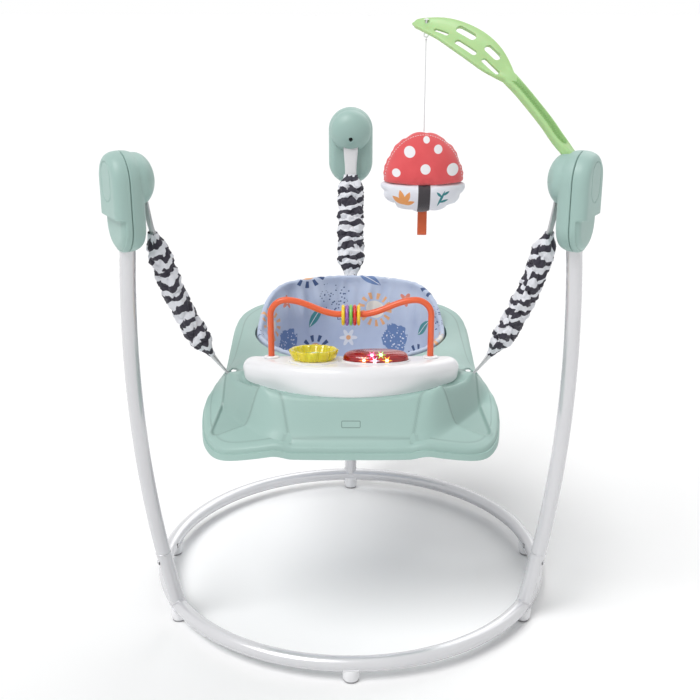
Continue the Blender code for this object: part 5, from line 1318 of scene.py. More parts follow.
class Hang:
    """The line along which a strap, spring and sleeve sag from the pin to the tray's slot."""

    def __init__(self, azimuth):
        slot_height = tray_height_at(*turned(azimuth, SLOT_R).xy)
        start = Vector((0.0, *PIN_POS))
        end = Vector((0.0, SLOT_R, slot_height))
        drop = start.z - end.z
        first = start + Vector((0.0, HANG_START[0], HANG_START[1] * drop))
        second = end + Vector((0.0, HANG_END[0], HANG_END[1] * drop))
        points = [start * (1 - t) ** 3 + first * 3 * t * (1 - t) ** 2 + second * 3 * t ** 2 * (1 - t)
                  + end * t ** 3 for t in np.linspace(0.0, 1.0, 241)]
        self.points = np.array([tuple(point) for point in points])
        steps = np.linalg.norm(np.diff(self.points, axis=0), axis=1)
        self.lengths = np.concatenate(([0.0], np.cumsum(steps)))
        self.length = self.lengths[-1]
        self.bar = Vector((0.0, SLOT_R - BAR_IN, slot_height - BAR_DROP))

    def point(self, distance):
        distance = min(max(distance, 0.0), self.length)
        return Vector([np.interp(distance, self.lengths, self.points[:, k]) for k in range(3)])

    def at(self, distance):
        """The point at a distance from the pin, and the outward normal there."""
        down = (self.point(distance + 0.002) - self.point(distance - 0.002)).normalized()
        return self.point(distance), Vector((0.0, -down.z, down.y))


def in_world(point, azimuth):
    """Where a point of the rear leg's drawing lies in the world, on the leg at an azimuth."""
    return leg_turn(azimuth) @ point + Vector((0.0, FRAME_Y, RING_Z))


HANGS = {side: Hang(azimuth) for side, azimuth in LEG_AZIMUTHS.items()}

# %% [markdown]
# Webbing is a flat band about one and a half millimetres thick. The loop keeps its outside out, so the
# band's cross section turns with it.

# %% Straps
STRAP_ARCH = 0.0034


def band_section(width, thickness):
    w, t = width / 2, thickness / 2
    edge = min(0.0005, w / 4)
    upper = [(w, 0.4 * t), (w - edge, t)] + [(x, t) for x in np.linspace(w * 0.6, -w * 0.6, 5)]
    upper += [(-w + edge, t), (-w, 0.4 * t)]
    return upper + [(-x, -z) for x, z in upper]


def looped_band(name, centre, line, width_at, eyelet, arch=0.0):
    """A strap that loops round a pin, its two layers sewn along a line and arched apart towards its end."""
    radius = PIN_R + 2 * CLOTH_GAP + LOOP_WALL / 2
    half = LOOP_WALL / 2
    start = (line[0] - centre).normalized()
    heading = math.atan2(start.z, start.y)
    opening = math.asin(half / radius)
    stations = []
    for i, point in enumerate(line):
        behind = line[i - 1] if i else centre
        ahead = line[min(i + 1, len(line) - 1)]
        along = (ahead - behind).normalized()
        side = Vector((0.0, -along.z, along.y))
        stations.append((point, side))
    path = [(point + half * side, side) for point, side in reversed(stations)]
    for angle in np.linspace(heading + opening, heading + FULL_TURN - opening, 26):
        out = Vector((0.0, math.cos(angle), math.sin(angle)))
        path.append((centre + radius * out, out))
    path += [(point - half * side, -side) for point, side in stations]
    rings, along = [], [0.0]
    reach = (line[-1] - centre).length
    for i, (point, out) in enumerate(path):
        width = width_at(point.z)
        lift = arch * ease(((point - centre).length / reach - 0.15) / 0.75)
        rings.append([point + Vector((x, 0.0, 0.0)) + out * (depth + lift * (1 - (2 * x / width) ** 2))
                      for x, depth in band_section(width, LOOP_WALL * 0.94)])
        if i:
            along.append(along[-1] + (point - path[i - 1][0]).length)
    section = band_section(width_at(line[-1].z), LOOP_WALL)
    band = skin(name, rings, uv=(lengths_along(section + section[:1]), along))
    place, axis = eyelet
    return combined(band, rod("eyelet", place - axis * 0.01, place + axis * 0.01, EYELET_R))


def upper_strap(name, hang):
    """The strap from a housing's pin down into the sleeve; it narrows on the way."""
    centre = hang.at(0.0)[0]
    line = [hang.at(s)[0] for s in np.linspace(PIN_R + LOOP_WALL + 0.002, UPPER_STRAP_LENGTH, 24)]
    waist = hang.at(SLEEVE_START - 0.006)[0].z

    def width_at(z):
        share = ease((centre.z - 0.02 - z) / (centre.z - 0.02 - waist))
        return mix(STRAP_WIDTH, UPPER_STRAP_WAIST, share)
    point, normal = hang.at(UPPER_STRAP_LENGTH - HOOK_R - CLOTH_GAP)
    return looped_band(name, centre, line, width_at, (point, normal), STRAP_ARCH / 2)


def lower_strap(name, hang):
    """The strap from a bar under the tray, up through the slot and into the sleeve."""
    top = hang.length - LOWER_STRAP_LENGTH
    line = [hang.bar + Vector((0.0, 0.0015, PIN_R + LOOP_WALL + 0.002))]
    line += [hang.at(s)[0] for s in np.linspace(hang.length, top, 20)]
    line = catmull_rom(line, 2)
    point, normal = hang.at(top + HOOK_R + CLOTH_GAP)
    return looped_band(name, hang.bar, line, lambda z: LOWER_STRAP_WIDTH, (point, normal), STRAP_ARCH)


for side, azimuth in LEG_AZIMUTHS.items():
    hang = HANGS[side]
    pin = rod(f"pin_{side}", (-PIN_LENGTH / 2, *PIN_POS), (PIN_LENGTH / 2, *PIN_POS), PIN_R, 32)
    settle(pin, steel, "frame", "metal", f"strap_pin_{side}", mast=azimuth)
    settle(upper_strap(f"webbing_upper_{side}", hang), webbing, "frame", "webbing", f"upper_strap_{side}",
           mast=azimuth)
    settle(lower_strap(f"webbing_lower_{side}", hang), webbing, "tray", "webbing", f"lower_strap_{side}",
           mast=azimuth)

# %% [markdown]
# The spring is wound tight and stretches when the tray goes down. Its wire is one line: a hook, the coil
# and a second hook.

# %% Springs
COIL_R = 0.0090
WIRE_R = 0.0013
COIL_TURNS = 34
TURN_POINTS = 14
HOOK_CLEAR = 0.0040
HOOK_SWEEP = 215


def coil(name, hang):
    """A spring's wire: a hook, the turns and a hook."""
    top, bottom = UPPER_STRAP_LENGTH, hang.length - LOWER_STRAP_LENGTH
    first, last = top + HOOK_R + HOOK_CLEAR, bottom - HOOK_R - HOOK_CLEAR
    hook_angles = np.radians(np.linspace(HOOK_SWEEP, 0, 18))
    points = []
    for angle in hook_angles:
        point, normal = hang.at(top + HOOK_R * math.cos(angle))
        points.append(point + normal * HOOK_R * math.sin(angle))
    count = COIL_TURNS * TURN_POINTS
    for step in range(count + 1):
        share = step / count
        grow = ease(min(1.0, share * count / 8, (1 - share) * count / 8))
        angle = math.pi / 2 + FULL_TURN * COIL_TURNS * share
        point, normal = hang.at(mix(first, last, share))
        across = Vector((math.cos(angle), 0.0, 0.0)) + normal * math.sin(angle)
        points.append(point + COIL_R * grow * across)
    for angle in reversed(hook_angles):
        point, normal = hang.at(bottom - HOOK_R * math.cos(angle))
        points.append(point - normal * HOOK_R * math.sin(angle))
    return tube(name, points, WIRE_R, 8)


def crossing(hang, azimuth, start, end):
    """The two bodies that a sagging piece joins, and where it leaves the one and reaches the other."""
    return "frame", "tray", in_world(hang.point(start), azimuth), in_world(hang.point(end), azimuth)


for side, azimuth in LEG_AZIMUTHS.items():
    hang = HANGS[side]
    ends = (UPPER_STRAP_LENGTH, hang.length - LOWER_STRAP_LENGTH)
    settle(coil(f"coil_{side}", hang), steel, crossing(hang, azimuth, *ends), "metal", f"spring_{side}",
           mast=azimuth)

# %% [markdown]
# The sleeve is a tube of cloth, cut longer than the spring and gathered along it. Sharp creases with
# round bulges between them run round the tube, and small random folds break them up.

# %% Sleeves
SLEEVE_HALF_WIDTH = 0.0250
SLEEVE_HALF_DEPTH = 0.0165
SLEEVE_TIPS = ((0.0140, 0.0068), (0.0115, 0.0062))
SLEEVE_RINGS = 190
SLEEVE_SIDES = 84
BULGES = 7
CREASE_DEPTH = 0.0066
SLEEVE_CLOTH = 0.0006
SLEEVE_OPENING = (0.13, 0.16)
STRIPE_MAP = (0.135, 1.15)


def sleeve_swell(share, angle, seed):
    """How far the cloth stands out from or falls in to its mean line."""
    phase = BULGES * share + 0.30 * math.sin(2 * angle + seed) + 0.16 * math.sin(5 * angle + 2.1 * seed)
    phase += 0.10 * math.sin(31 * share + 3 * seed)
    crease = abs(math.sin(math.pi * phase))
    place = Vector((3.5 * math.cos(angle), 3.5 * math.sin(angle), 26.0 * share + 7.0 * seed))
    ruck = noise.noise(place)
    fine = noise.noise(place * 2.7)
    return CREASE_DEPTH * (crease ** 0.55 - 0.74) + 0.0030 * ruck + 0.0012 * fine


def gathered_sleeve(name, hang, seed):
    start, stop = SLEEVE_START, hang.length - SLEEVE_STOP
    angles = round_angles(SLEEVE_SIDES)
    rings = []
    for share in np.linspace(0, 1, SLEEVE_RINGS):
        point, normal = hang.at(mix(start, stop, share))
        open_share = ease(share / SLEEVE_OPENING[0]) * ease((1 - share) / SLEEVE_OPENING[1])
        tip_width, tip_depth = [mix(first, last, share) for first, last in zip(*SLEEVE_TIPS)]
        ring = []
        for angle in angles:
            swell = sleeve_swell(share, angle, seed) * (0.15 + 0.85 * open_share)
            width = mix(tip_width, SLEEVE_HALF_WIDTH, open_share) + swell
            depth = mix(tip_depth, SLEEVE_HALF_DEPTH, open_share) + swell
            across = Vector((width * math.cos(angle), 0.0, 0.0))
            ring.append(point + across + normal * depth * math.sin(angle))
        rings.append(ring)
    across = np.linspace(0.0, STRIPE_MAP[0], SLEEVE_SIDES + 1)
    along = np.linspace(0.0, (stop - start) * STRIPE_MAP[1], SLEEVE_RINGS)
    obj = skin(name, rings, ends="open", uv=(across, along))
    wall = obj.modifiers.new("cloth", "SOLIDIFY")
    wall.thickness = SLEEVE_CLOTH
    wall.offset = -1.0
    return tidied(baked(obj))


for number, (side, azimuth) in enumerate(LEG_AZIMUTHS.items()):
    hang = HANGS[side]
    sleeve = gathered_sleeve(f"striped_sleeve_{side}", hang, number * 2.1)
    ends = (SLEEVE_START, hang.length - SLEEVE_STOP)
    settle(sleeve, zebra, crossing(hang, azimuth, *ends), "zebra", f"sleeve_{side}", mast=azimuth,
           smooth_angle=75)

# %% [markdown]
# ## The seat
#
# The seat is a padded cloth bucket on a white ring. The ring lies on a ledge under the tray, so the child
# can turn all the way round. The cloth's edge is low at the front and high at the back.

# %% Seat shape
FABRIC_R = 0.170
FABRIC_WALL = 0.006
RIM_FLARE = 0.007
FLARE_START = 0.006
FLARE_REACH = 0.045
ROLL_R = 0.0045
ROLL_GATHER = 0.0007
OUTER_FOLD = 0.0016
NECK_TUCK = 0.0022
INNER_FOLD = (0.0022, 0.0068)
FLOOR_FOLD = 0.0026
FLOOR_RISE = 0.0035
FABRIC_NECK_R = 0.1590
SEAT_TOP_Z = (0.4405, 0.494)
SEAT_BOTTOM = 0.235
SEAT_RING_HEIGHT = 0.006
SEAT_PLAY = 0.0020
TRACK_LEDGE = 0.0030
LEG_HOLE_R = 0.046
LEG_HOLE_AZIMUTH = 37
LEG_HOLE_Z = 0.296
LEG_HOLE_ENDS = ((0.040, 0.030), (0.240, -0.070))
SEAT_PROFILE = ((0.0, -0.002), (0.050, 0.0), (0.100, 0.075), (0.134, 0.25), (0.152, 0.55))
SEAT_SIDES = 240
TRACK_TOP = DECK_Z - FLANGE_DEPTH - PART_GAP
LEDGE_TOP = TRACK_TOP - SEAT_RING_HEIGHT - 3 * PART_GAP
SEAT_DEPTH = DECK_Z - SEAT_BOTTOM


def round_ring(name, profile):
    return moved(turned_piece(name, profile, 160), y=SEAT_Y)


def seat_rail():
    inner, wall, outer = FABRIC_NECK_R + 0.0015, HOLE_R - 0.0005, HOLE_R + 0.0125
    low = LEDGE_TOP - TRACK_LEDGE
    cut = 0.0008
    return round_ring("seat_rail", [(outer - cut, TRACK_TOP), (outer, TRACK_TOP - cut), (outer, low + cut),
                                    (outer - cut, low), (inner + cut, low), (inner, low + cut),
                                    (inner, LEDGE_TOP), (wall, LEDGE_TOP), (wall, TRACK_TOP)])


def seat_hoop():
    inner, outer = FABRIC_NECK_R + PART_GAP, HOLE_R - SEAT_PLAY
    low = LEDGE_TOP + PART_GAP
    high = low + SEAT_RING_HEIGHT
    return round_ring("seat_hoop", [(outer - 0.0015, high), (outer - 0.0005, high - 0.0005),
                                    (outer, high - 0.0015), (outer, low), (inner, low), (inner, high)])


settle(seat_rail(), white_plastic, "tray", "white", "seat_track")
settle(seat_hoop(), white_plastic, "seat", "white", "seat_ring")

# %% [markdown]
# The bucket's section runs from the middle of the outside, up over a rolled padded edge and down the
# inside. Soft upright folds gather below the edge, as cloth does when it is sewn to a smaller ring.

# %% Padded bucket


def seat_rim_height(angle):
    from_back = np.abs(np.degrees(np.arctan2(np.cos(angle), np.sin(angle))))
    return mix(SEAT_TOP_Z[0], SEAT_TOP_Z[1], smoothstep((98 - from_back) / 55))


def seat_folds(angle, height):
    """Depth of the upright folds and of broad wrinkles at a direction and height."""
    values = []
    for a, z in zip(angle, height):
        along = Vector((6.5 * math.cos(a), 6.5 * math.sin(a), 4.5 * z))
        values.append(noise.noise(along) + 0.45 * noise.noise(along * 2.6 + Vector((3.0, 1.0, 0.0))))
    return np.array(values)


def seat_section():
    """Radius and height of the wall's stations, from the middle of the bottom outward and up."""
    profile = catmull_rom([(r, 0.0, SEAT_BOTTOM + s * SEAT_DEPTH) for r, s in SEAT_PROFILE], 7)
    return [(point.x, point.z) for point in profile]


def bucket_rings():
    angles = round_angles(SEAT_SIDES)
    rim = seat_rim_height(angles)
    low = LEDGE_TOP - TRACK_LEDGE
    ring_top = LEDGE_TOP + PART_GAP + SEAT_RING_HEIGHT
    rings = []

    def add(radius, height, fold=0.0):
        height = np.broadcast_to(height, angles.shape)
        depth = fold * seat_folds(angles, height) if fold else 0.0
        r = radius + depth + RIM_FLARE * smoothstep((height - DECK_Z - FLARE_START) / FLARE_REACH)
        rings.append([tuple(p) for p in zip(r * np.cos(angles), SEAT_Y + r * np.sin(angles), height)])
    for radius, z in seat_section():
        add(radius, z, OUTER_FOLD * min(1.0, radius / 0.10) * ease((low - 0.02 - z) / 0.03))
    add(FABRIC_NECK_R - 0.0010, mix(seat_section()[-1][1], low, 0.6))
    add(FABRIC_NECK_R, low)
    add(FABRIC_NECK_R, ring_top + PART_GAP)
    add(FABRIC_R - 0.004, ring_top + 0.0035)
    for share in np.linspace(0.08, 0.86, 12):
        height = mix(ring_top + 0.004, rim - 0.006, share)
        add(FABRIC_R - 0.0012 * (1 - share), height, -NECK_TUCK * math.sin(math.pi * share))
    gather = ROLL_GATHER * np.sin(58 * angles) * np.sin(9 * angles + 1.0)
    for turn in np.radians(np.linspace(5, 165, 12)):
        add(FABRIC_R - ROLL_R + ROLL_R * math.cos(turn), rim - ROLL_R + gather + ROLL_R * math.sin(turn))
    inner_top = FABRIC_R - 0.0092
    for share in np.linspace(0.04, 1.0, 16):
        radius = mix(inner_top, FABRIC_NECK_R - FABRIC_WALL, smoothstep(share))
        fold = INNER_FOLD[0] + INNER_FOLD[1] * math.sin(math.pi * min(share * 1.1, 1.0))
        add(radius, mix(rim - 0.007, ring_top - 0.002, share), fold * ease((1.0 - share) / 0.1))
    inner = [(radius - FABRIC_WALL * 0.98, z + 0.0025 * ease((0.12 - radius) / 0.05) * 2)
             for radius, z in reversed(seat_section()[:-1]) if radius > 0.03]
    for radius, z in inner:
        add(radius, z + FLOOR_RISE * ease((0.13 - radius) / 0.03), FLOOR_FOLD * ease(radius / 0.12))
    add(0.012, inner[-1][1] + 0.0045)
    return rings


def leg_hole_ends(side):
    azimuth = 270 + side * LEG_HOLE_AZIMUTH
    return [turned(azimuth, radius, LEG_HOLE_Z + rise) for radius, rise in LEG_HOLE_ENDS]


def seat_bucket():
    bucket = skin("printed_seat", bucket_rings()[1:])
    for side in (-1, 1):
        bucket = combined(bucket, moved(rod("leg_hole", *leg_hole_ends(side), LEG_HOLE_R, 72), y=SEAT_Y))
    return bucket


HALVINGS = 30
BINDING_R = 0.0042


def wall_middle_radius(height):
    heights = [z for radius, z in seat_section()]
    radii = [radius for radius, z in seat_section()]
    return float(np.interp(height, heights + [LEDGE_TOP], radii + [FABRIC_NECK_R])) - FABRIC_WALL / 2


def leg_hole_binding(side):
    """A soft binding sewn round a leg hole, where the hole's cylinder meets the middle of the wall."""
    inside, outside = leg_hole_ends(side)
    axis = (outside - inside).normalized()
    across = axis.cross(Vector((0.0, 0.0, 1.0))).normalized()
    upward = across.cross(axis)
    loop = []
    for angle in round_angles(96):
        spoke = (across * math.cos(angle) + upward * math.sin(angle)) * LEG_HOLE_R
        low, high = 0.0, (outside - inside).length
        for _ in range(HALVINGS):
            middle = (low + high) / 2
            point = inside + spoke + axis * middle
            if math.hypot(point.x, point.y) < wall_middle_radius(point.z):
                low = middle
            else:
                high = middle
        loop.append(inside + spoke + axis * low)
    return moved(tube("binding", loop, BINDING_R, 16, closed=True), y=SEAT_Y)


# %% [markdown]
# The print is worked out in the shader, on a flat map wrapped round the seat: the way round, and the
# height. Each motif has its own place in a repeat of cloth, as on a printed roll. The motifs are suns,
# flowers, leaves, zigzags, soft blobs and dots.

# %% Printed cloth
REPEAT = (0.172, 0.118)
REPEATS_ROUND = 4
PRINT_SCALE = 1.45
PERIWINKLE = (0.430, 0.510, 0.690)
PALE = (0.590, 0.660, 0.800)
NAVY = (0.045, 0.085, 0.210)
MID_BLUE = (0.140, 0.230, 0.450)
PEACH = (0.830, 0.430, 0.210)
CREAM = (0.850, 0.800, 0.720)
CLOUD = (0.780, 0.800, 0.860)
TEAL = (0.060, 0.270, 0.290)
CORAL = (0.720, 0.240, 0.170)


def motif(finish, across, along, shift, turn=0.0):
    """Coordinates about a motif's own place in the repeat: x, y, distance and direction."""
    parts = []
    for value, size, offset in ((across, REPEAT[0], shift[0]), (along, REPEAT[1], shift[1])):
        share = finish.math("FRACT", finish.plus(finish.math("DIVIDE", value, size), offset))
        parts.append(finish.times(finish.minus(share, 0.5), size))
    x, y = parts
    if turn:
        x, y = finish.rotated(x, y, turn)
    return x, y, finish.length(x, y), finish.math("ARCTAN2", y, x)


def below(finish, value, edge, softness=0.0004):
    """1 where a value is under an edge."""
    return finish.minus(1.0, finish.step(value, edge, softness))


SUN_BAND = (0.0150, 0.0245)
SUN_CORE = 0.0125
PETAL_DEPTH = 0.26
ZIGZAG_TOOTH = 0.0036
ZIGZAG_HALF = 0.0110
LEAF_HALF = (0.0170, 0.0062)
BLOB_R = 0.0300


def lens(finish, x, y, half_length, half_width):
    """A pointed leaf along x."""
    share = finish.math("DIVIDE", x, half_length)
    bulge = finish.minus(1.0, finish.times(share, share))
    room = finish.minus(finish.absolute(y), finish.times(bulge, half_width))
    return below(finish, room, 0.0)


def sun(finish, across, along, shift, color, core, ray, rays=13):
    reach, heading = motif(finish, across, along, shift)[2:]
    spokes = finish.step(finish.math("COSINE", finish.times(heading, float(rays))), 0.25, 0.12)
    band = finish.times(below(finish, reach, SUN_BAND[1]), finish.step(reach, SUN_BAND[0], 0.0004))
    color = finish.blend(finish.times(spokes, band), color, ray)
    return finish.blend(below(finish, reach, SUN_CORE), color, core)


def flower(finish, across, along, shift, color, petal, heart, petals=6, size=0.0130):
    reach, heading = motif(finish, across, along, shift)[2:]
    wave = finish.math("COSINE", finish.times(heading, float(petals)))
    edge = finish.plus(finish.times(wave, size * PETAL_DEPTH), size * (1 - PETAL_DEPTH))
    color = finish.blend(below(finish, finish.minus(reach, edge), 0.0), color, petal)
    return finish.blend(below(finish, reach, size * PETAL_DEPTH), color, heart)


def zigzag(finish, across, along, shift, color, ink, turn):
    x, y = motif(finish, across, along, shift, turn)[:2]
    tooth = finish.minus(finish.math("PINGPONG", x, ZIGZAG_TOOTH), ZIGZAG_TOOTH / 2)
    line = below(finish, finish.absolute(finish.minus(y, tooth)), 0.0008, 0.0002)
    return finish.blend(finish.times(line, below(finish, finish.absolute(x), ZIGZAG_HALF)), color, ink)


def leaf_pair(finish, across, along, shift, color, ink, turn):
    x, y = motif(finish, across, along, shift, turn)[:2]
    color = finish.blend(lens(finish, x, y, *LEAF_HALF), color, ink)
    rib = finish.times(below(finish, finish.absolute(y), 0.0005, 0.0002),
               below(finish, finish.absolute(x), 0.0150))
    return finish.blend(rib, color, CLOUD)


def dotted_blob(finish, across, along, shift, color, ink, dots):
    x, y, reach = motif(finish, across, along, shift)[:3]
    wobble = finish.noise(70.0, 1.0, vector=finish.vector(x, y))
    edge = finish.plus(reach, finish.times(wobble, 0.018))
    patch = below(finish, edge, BLOB_R)
    cells = finish.node("ShaderNodeTexVoronoi", {"Vector": finish.vector(x, y), "Scale": 260.0})
    spots = finish.times(patch, below(finish, cells.outputs["Distance"], 0.30, 0.06))
    if dots:
        return finish.blend(spots, color, ink)
    return finish.blend(spots, finish.blend(patch, color, ink), CLOUD)


MOTIFS = (
    (dotted_blob, (0.10, 0.62), MID_BLUE, False), (dotted_blob, (0.62, 0.14), NAVY, True),
    (sun, (0.30, 0.30), CREAM, PEACH), (sun, (0.82, 0.80), PEACH, NAVY, 11),
    (flower, (0.52, 0.66), CLOUD, PEACH), (flower, (0.05, 0.12), CORAL, CREAM, 5, 0.0105),
    (leaf_pair, (0.80, 0.38), TEAL, 0.9), (leaf_pair, (0.36, 0.92), MID_BLUE, -0.5),
    (zigzag, (0.18, 0.86), CLOUD, 0.4), (zigzag, (0.60, 0.42), NAVY, -0.7))


def printed_cloth(name, motifs=()):
    finish = Finish(name, PERIWINKLE, roughness=0.62, sheen_weight=0.25, sheen_roughness=0.4)
    x, y, z = finish.xyz(finish.coordinates())
    back = finish.minus(y, SEAT_Y + FRAME_Y)
    heading = finish.math("ARCTAN2", x, back)
    across = finish.times(heading, REPEATS_ROUND * REPEAT[0] / FULL_TURN)
    out = finish.length(x, back)
    along = finish.plus(z, finish.times(out, 0.55))
    along = finish.math("DIVIDE", along, PRINT_SCALE)
    wash = finish.noise(26.0, 3.0)
    color = finish.blend(wash, PERIWINKLE, PALE)
    for draw, shift, *inks in motifs:
        color = draw(finish, across, along, shift, color, *inks)
    finish.color_from(color)
    crumple = finish.bump(finish.noise(46.0, 3.0), 0.25, 0.0020)
    finish.normal_from(woven(finish, finish.times(across, PRINT_SCALE), z, 0.0009, 0.25, under=crumple))
    return finish.material


seat_cloth = printed_cloth("printed_cloth", MOTIFS)
binding_cloth = printed_cloth("binding_cloth")
bucket = settle(seat_bucket(), seat_cloth, "seat", "fabric", "seat_fabric", smooth_angle=60)
bindings = joined("leg_hole_bindings", leg_hole_binding(-1), leg_hole_binding(1))
bindings = settle(bindings, binding_cloth, "seat", "fabric")

# %% [markdown]
# ## The console
#
# A white console sits across the front of the tray and leans towards the seat. Its outline is part of a
# circle with round corners. It has a raised rim for the light button and an eight-sided plinth for the
# spinning cup.

# %% Console
CONSOLE_TILT = math.radians(8)
CONSOLE_POINT = (-0.185, 0.4587)
CONSOLE_CORNER_R = 0.022
CONSOLE_WALL = 0.0030
CONSOLE_EDGE = 0.017
CONSOLE_DROP = 0.018
RIM_HEIGHT = 0.0022
PLINTH_R = 0.0425
SPINNER_POS = (-0.060, -0.185)
DOME_POS = (0.040, -0.187)
LIGHT_DOME = (0.0525, 0.0310)
LIGHT_DOME_HEIGHT = 0.0170
BAR_R = 0.0051
BAR_X = 0.1297
BAR_Y = -0.162
AXLE_R = 0.0040


def console_top_z(y):
    return CONSOLE_POINT[1] - (y - CONSOLE_POINT[0]) * math.tan(CONSOLE_TILT)


def console_frame(place):
    """Carries a piece made about Z onto the console's leaning top."""
    x, y = place
    return Matrix.Translation((x, y, console_top_z(y))) @ Matrix.Rotation(-CONSOLE_TILT, 4, "X")


def console_outline(inset):
    corner_y = CONSOLE_REAR_Y - CONSOLE_CORNER_R
    corner_x = math.sqrt((CONSOLE_ARC_R - CONSOLE_CORNER_R) ** 2 - (corner_y - CONSOLE_ARC_Y) ** 2)
    tangent = math.atan2(corner_y - CONSOLE_ARC_Y, corner_x)
    front = np.linspace(math.pi - tangent, 2 * math.pi + tangent, 97)
    points = arc(0.0, CONSOLE_ARC_Y, CONSOLE_ARC_R - inset, front)
    radius = CONSOLE_CORNER_R - inset
    points += arc(corner_x, corner_y, radius, np.linspace(tangent, math.pi / 2, 14)[1:])
    for share in np.linspace(0, 1, 25)[1:-1]:
        points.append((corner_x - 2 * corner_x * share, corner_y + radius))
    return points + arc(-corner_x, corner_y, radius, np.linspace(math.pi / 2, math.pi - tangent, 14)[:-1])


def console_stations():
    """Inset and drop of the rounded edge, from the wall up to the flat top."""
    angles = np.radians(np.linspace(0, 90, 12))
    return [(CONSOLE_EDGE * (1 - math.cos(a)), CONSOLE_DROP * (1 - math.sin(a))) for a in angles]


def console_body(name, inset, low):
    """The console's outer form, or with an inset the hollow inside it."""
    rings = []
    for share in (0.0, 0.5, 1.0):
        ring = []
        for x, y in console_outline(inset + 0.0010 * (1 - share)):
            bottom = tray_height_at(x, y) - float(console_seat(x, y, tray_height_at(x, y))) + low
            top = console_top_z(y) - inset - CONSOLE_DROP
            ring.append((x, y, mix(bottom, max(top, bottom + 0.0005), share)))
        rings.append(ring)
    for station, drop in console_stations()[1:]:
        rings.append([(x, y, console_top_z(y) - inset - drop) for x, y in console_outline(inset + station)])
    return skin(name, rings)


def oval(radii, margin, count=96):
    a, b = radii[0] + margin, radii[1] + margin
    return [(a * math.cos(t), b * math.sin(t)) for t in round_angles(count)]


def console_shell():
    wall = CONSOLE_WALL
    at_dome, at_spinner = console_frame(DOME_POS), console_frame(SPINNER_POS)
    shell = combined(console_body("white_console", 0.0, 0.0004), console_body("hollow", wall, -0.006))
    octagon = arc(0.0, 0.0, PLINTH_R, np.radians(np.arange(22.5, 360, 45)))
    rim = prism("rim", oval(LIGHT_DOME, 0.0030), -wall / 2, RIM_HEIGHT, bevel=0.0007)
    plinth = prism("plinth", octagon, -wall / 2, RIM_HEIGHT, bevel=0.0007)
    shell = combined(shell, placed(rim, at_dome), "UNION")
    shell = combined(shell, placed(plinth, at_spinner), "UNION")
    top = console_top_z(BAR_Y)
    for x in (-BAR_X, BAR_X):
        hole = rod("hole", (x, BAR_Y, top - 0.05), (x, BAR_Y, top + 0.05), BAR_R + PART_GAP, 48)
        shell = combined(shell, hole)
    window = prism("window", oval(LIGHT_DOME, 0.0006), -0.02, 0.02)
    return combined(shell, placed(window, at_dome))


settle(console_shell(), white_plastic, "tray", "white", "console_top", smooth_angle=35)

# %% [markdown]
# The cup is clear yellow plastic with a scalloped wall. A green flower sits in it round the axle. The
# light button is clear red with fine facets, and five little lamps glow through it. Their glow and star
# flares on the button are painted light, drawn as emission of the button itself.

# %% Clear plastics and lamps


def clear_plastic(name, color, roughness, transmission):
    finish = Finish(name, color, roughness=roughness, ior=1.46, transmission_weight=transmission,
                    coat_weight=0.3, coat_roughness=0.05)
    swirl = finish.noise(70.0, 2.0)
    finish.color_from(finish.blend(swirl, shaded(color, 0.94), shaded(color, 1.08)))
    finish.normal_from(finish.bump(finish.noise(140.0, 2.0), 0.10, 0.0005))
    return finish.material


def lamp_glow(name, color):
    finish = Finish(name, color, roughness=0.2)
    finish.put(finish.shader.inputs["Emission Color"], color)
    finish.put(finish.shader.inputs["Emission Strength"], LAMP_STRENGTH)
    return finish.material


clear_yellow = clear_plastic("clear_yellow", (1.00, 0.83, 0.03), 0.10, 0.45)
LAMP_COLORS = {"pink": (1.0, 0.16, 0.50), "green": (0.12, 1.0, 0.16), "orange": (1.0, 0.34, 0.04),
               "ice": (0.40, 0.75, 1.0), "yellow": (1.0, 0.72, 0.06)}
LED_PLACES = {"pink": (-0.0060, 0.007), "green": (0.0085, 0.008), "orange": (-0.0190, -0.006),
              "ice": (-0.0016, -0.008), "yellow": (0.0180, -0.007)}
LED_R = 0.0025
LED_LEG_X = 0.0011
LED_LEG_R = 0.0003
LAMP_STRENGTH = 14.0
GLOW_STRENGTH = 3.0
GLOW_R = 0.0095
GLOW_CORE_R = 0.0021
GLOW_SLANT = 0.45
GLOW_WAIST = 0.38
GLOW_PLACES = {"pink": (0.0333, 0.3815), "green": (0.0476, 0.3820), "orange": (0.0206, 0.3722),
               "ice": (0.0376, 0.3712), "yellow": (0.0571, 0.3720)}


def starlight(finish):
    """Painted light: the glow that each lamp throws on the clear button, drawn as its emission: a white core
    in a six-pointed star.

    The button's height and depth are added into one slanted measure, which runs up its round front.
    """
    x, y, z = finish.xyz(finish.coordinates())
    color = (0.0, 0.0, 0.0)
    slant = finish.plus(z, finish.times(y, GLOW_SLANT))
    core = (1.0, 0.95, 0.9)
    for name, (across, level) in GLOW_PLACES.items():
        a = finish.minus(x, across)
        b = finish.minus(slant, level + RING_Z + GLOW_SLANT * FRAME_Y)
        reach = finish.length(a, b)
        heading = finish.math("ARCTAN2", b, a)
        ray = finish.absolute(finish.math("COSINE", finish.times(heading, 3.0)))
        ray = finish.math("POWER", ray, 5.0)
        edge = finish.plus(finish.times(ray, GLOW_R * (1 - GLOW_WAIST)), GLOW_R * GLOW_WAIST)
        light = finish.minus(1.0, finish.math("DIVIDE", reach, edge))
        light = finish.math("POWER", finish.math("MAXIMUM", light, 0.0), 1.3)
        color = finish.blend(light, color, LAMP_COLORS[name])
        color = finish.blend(below(finish, reach, GLOW_CORE_R, 0.0009), color, core)
    return color


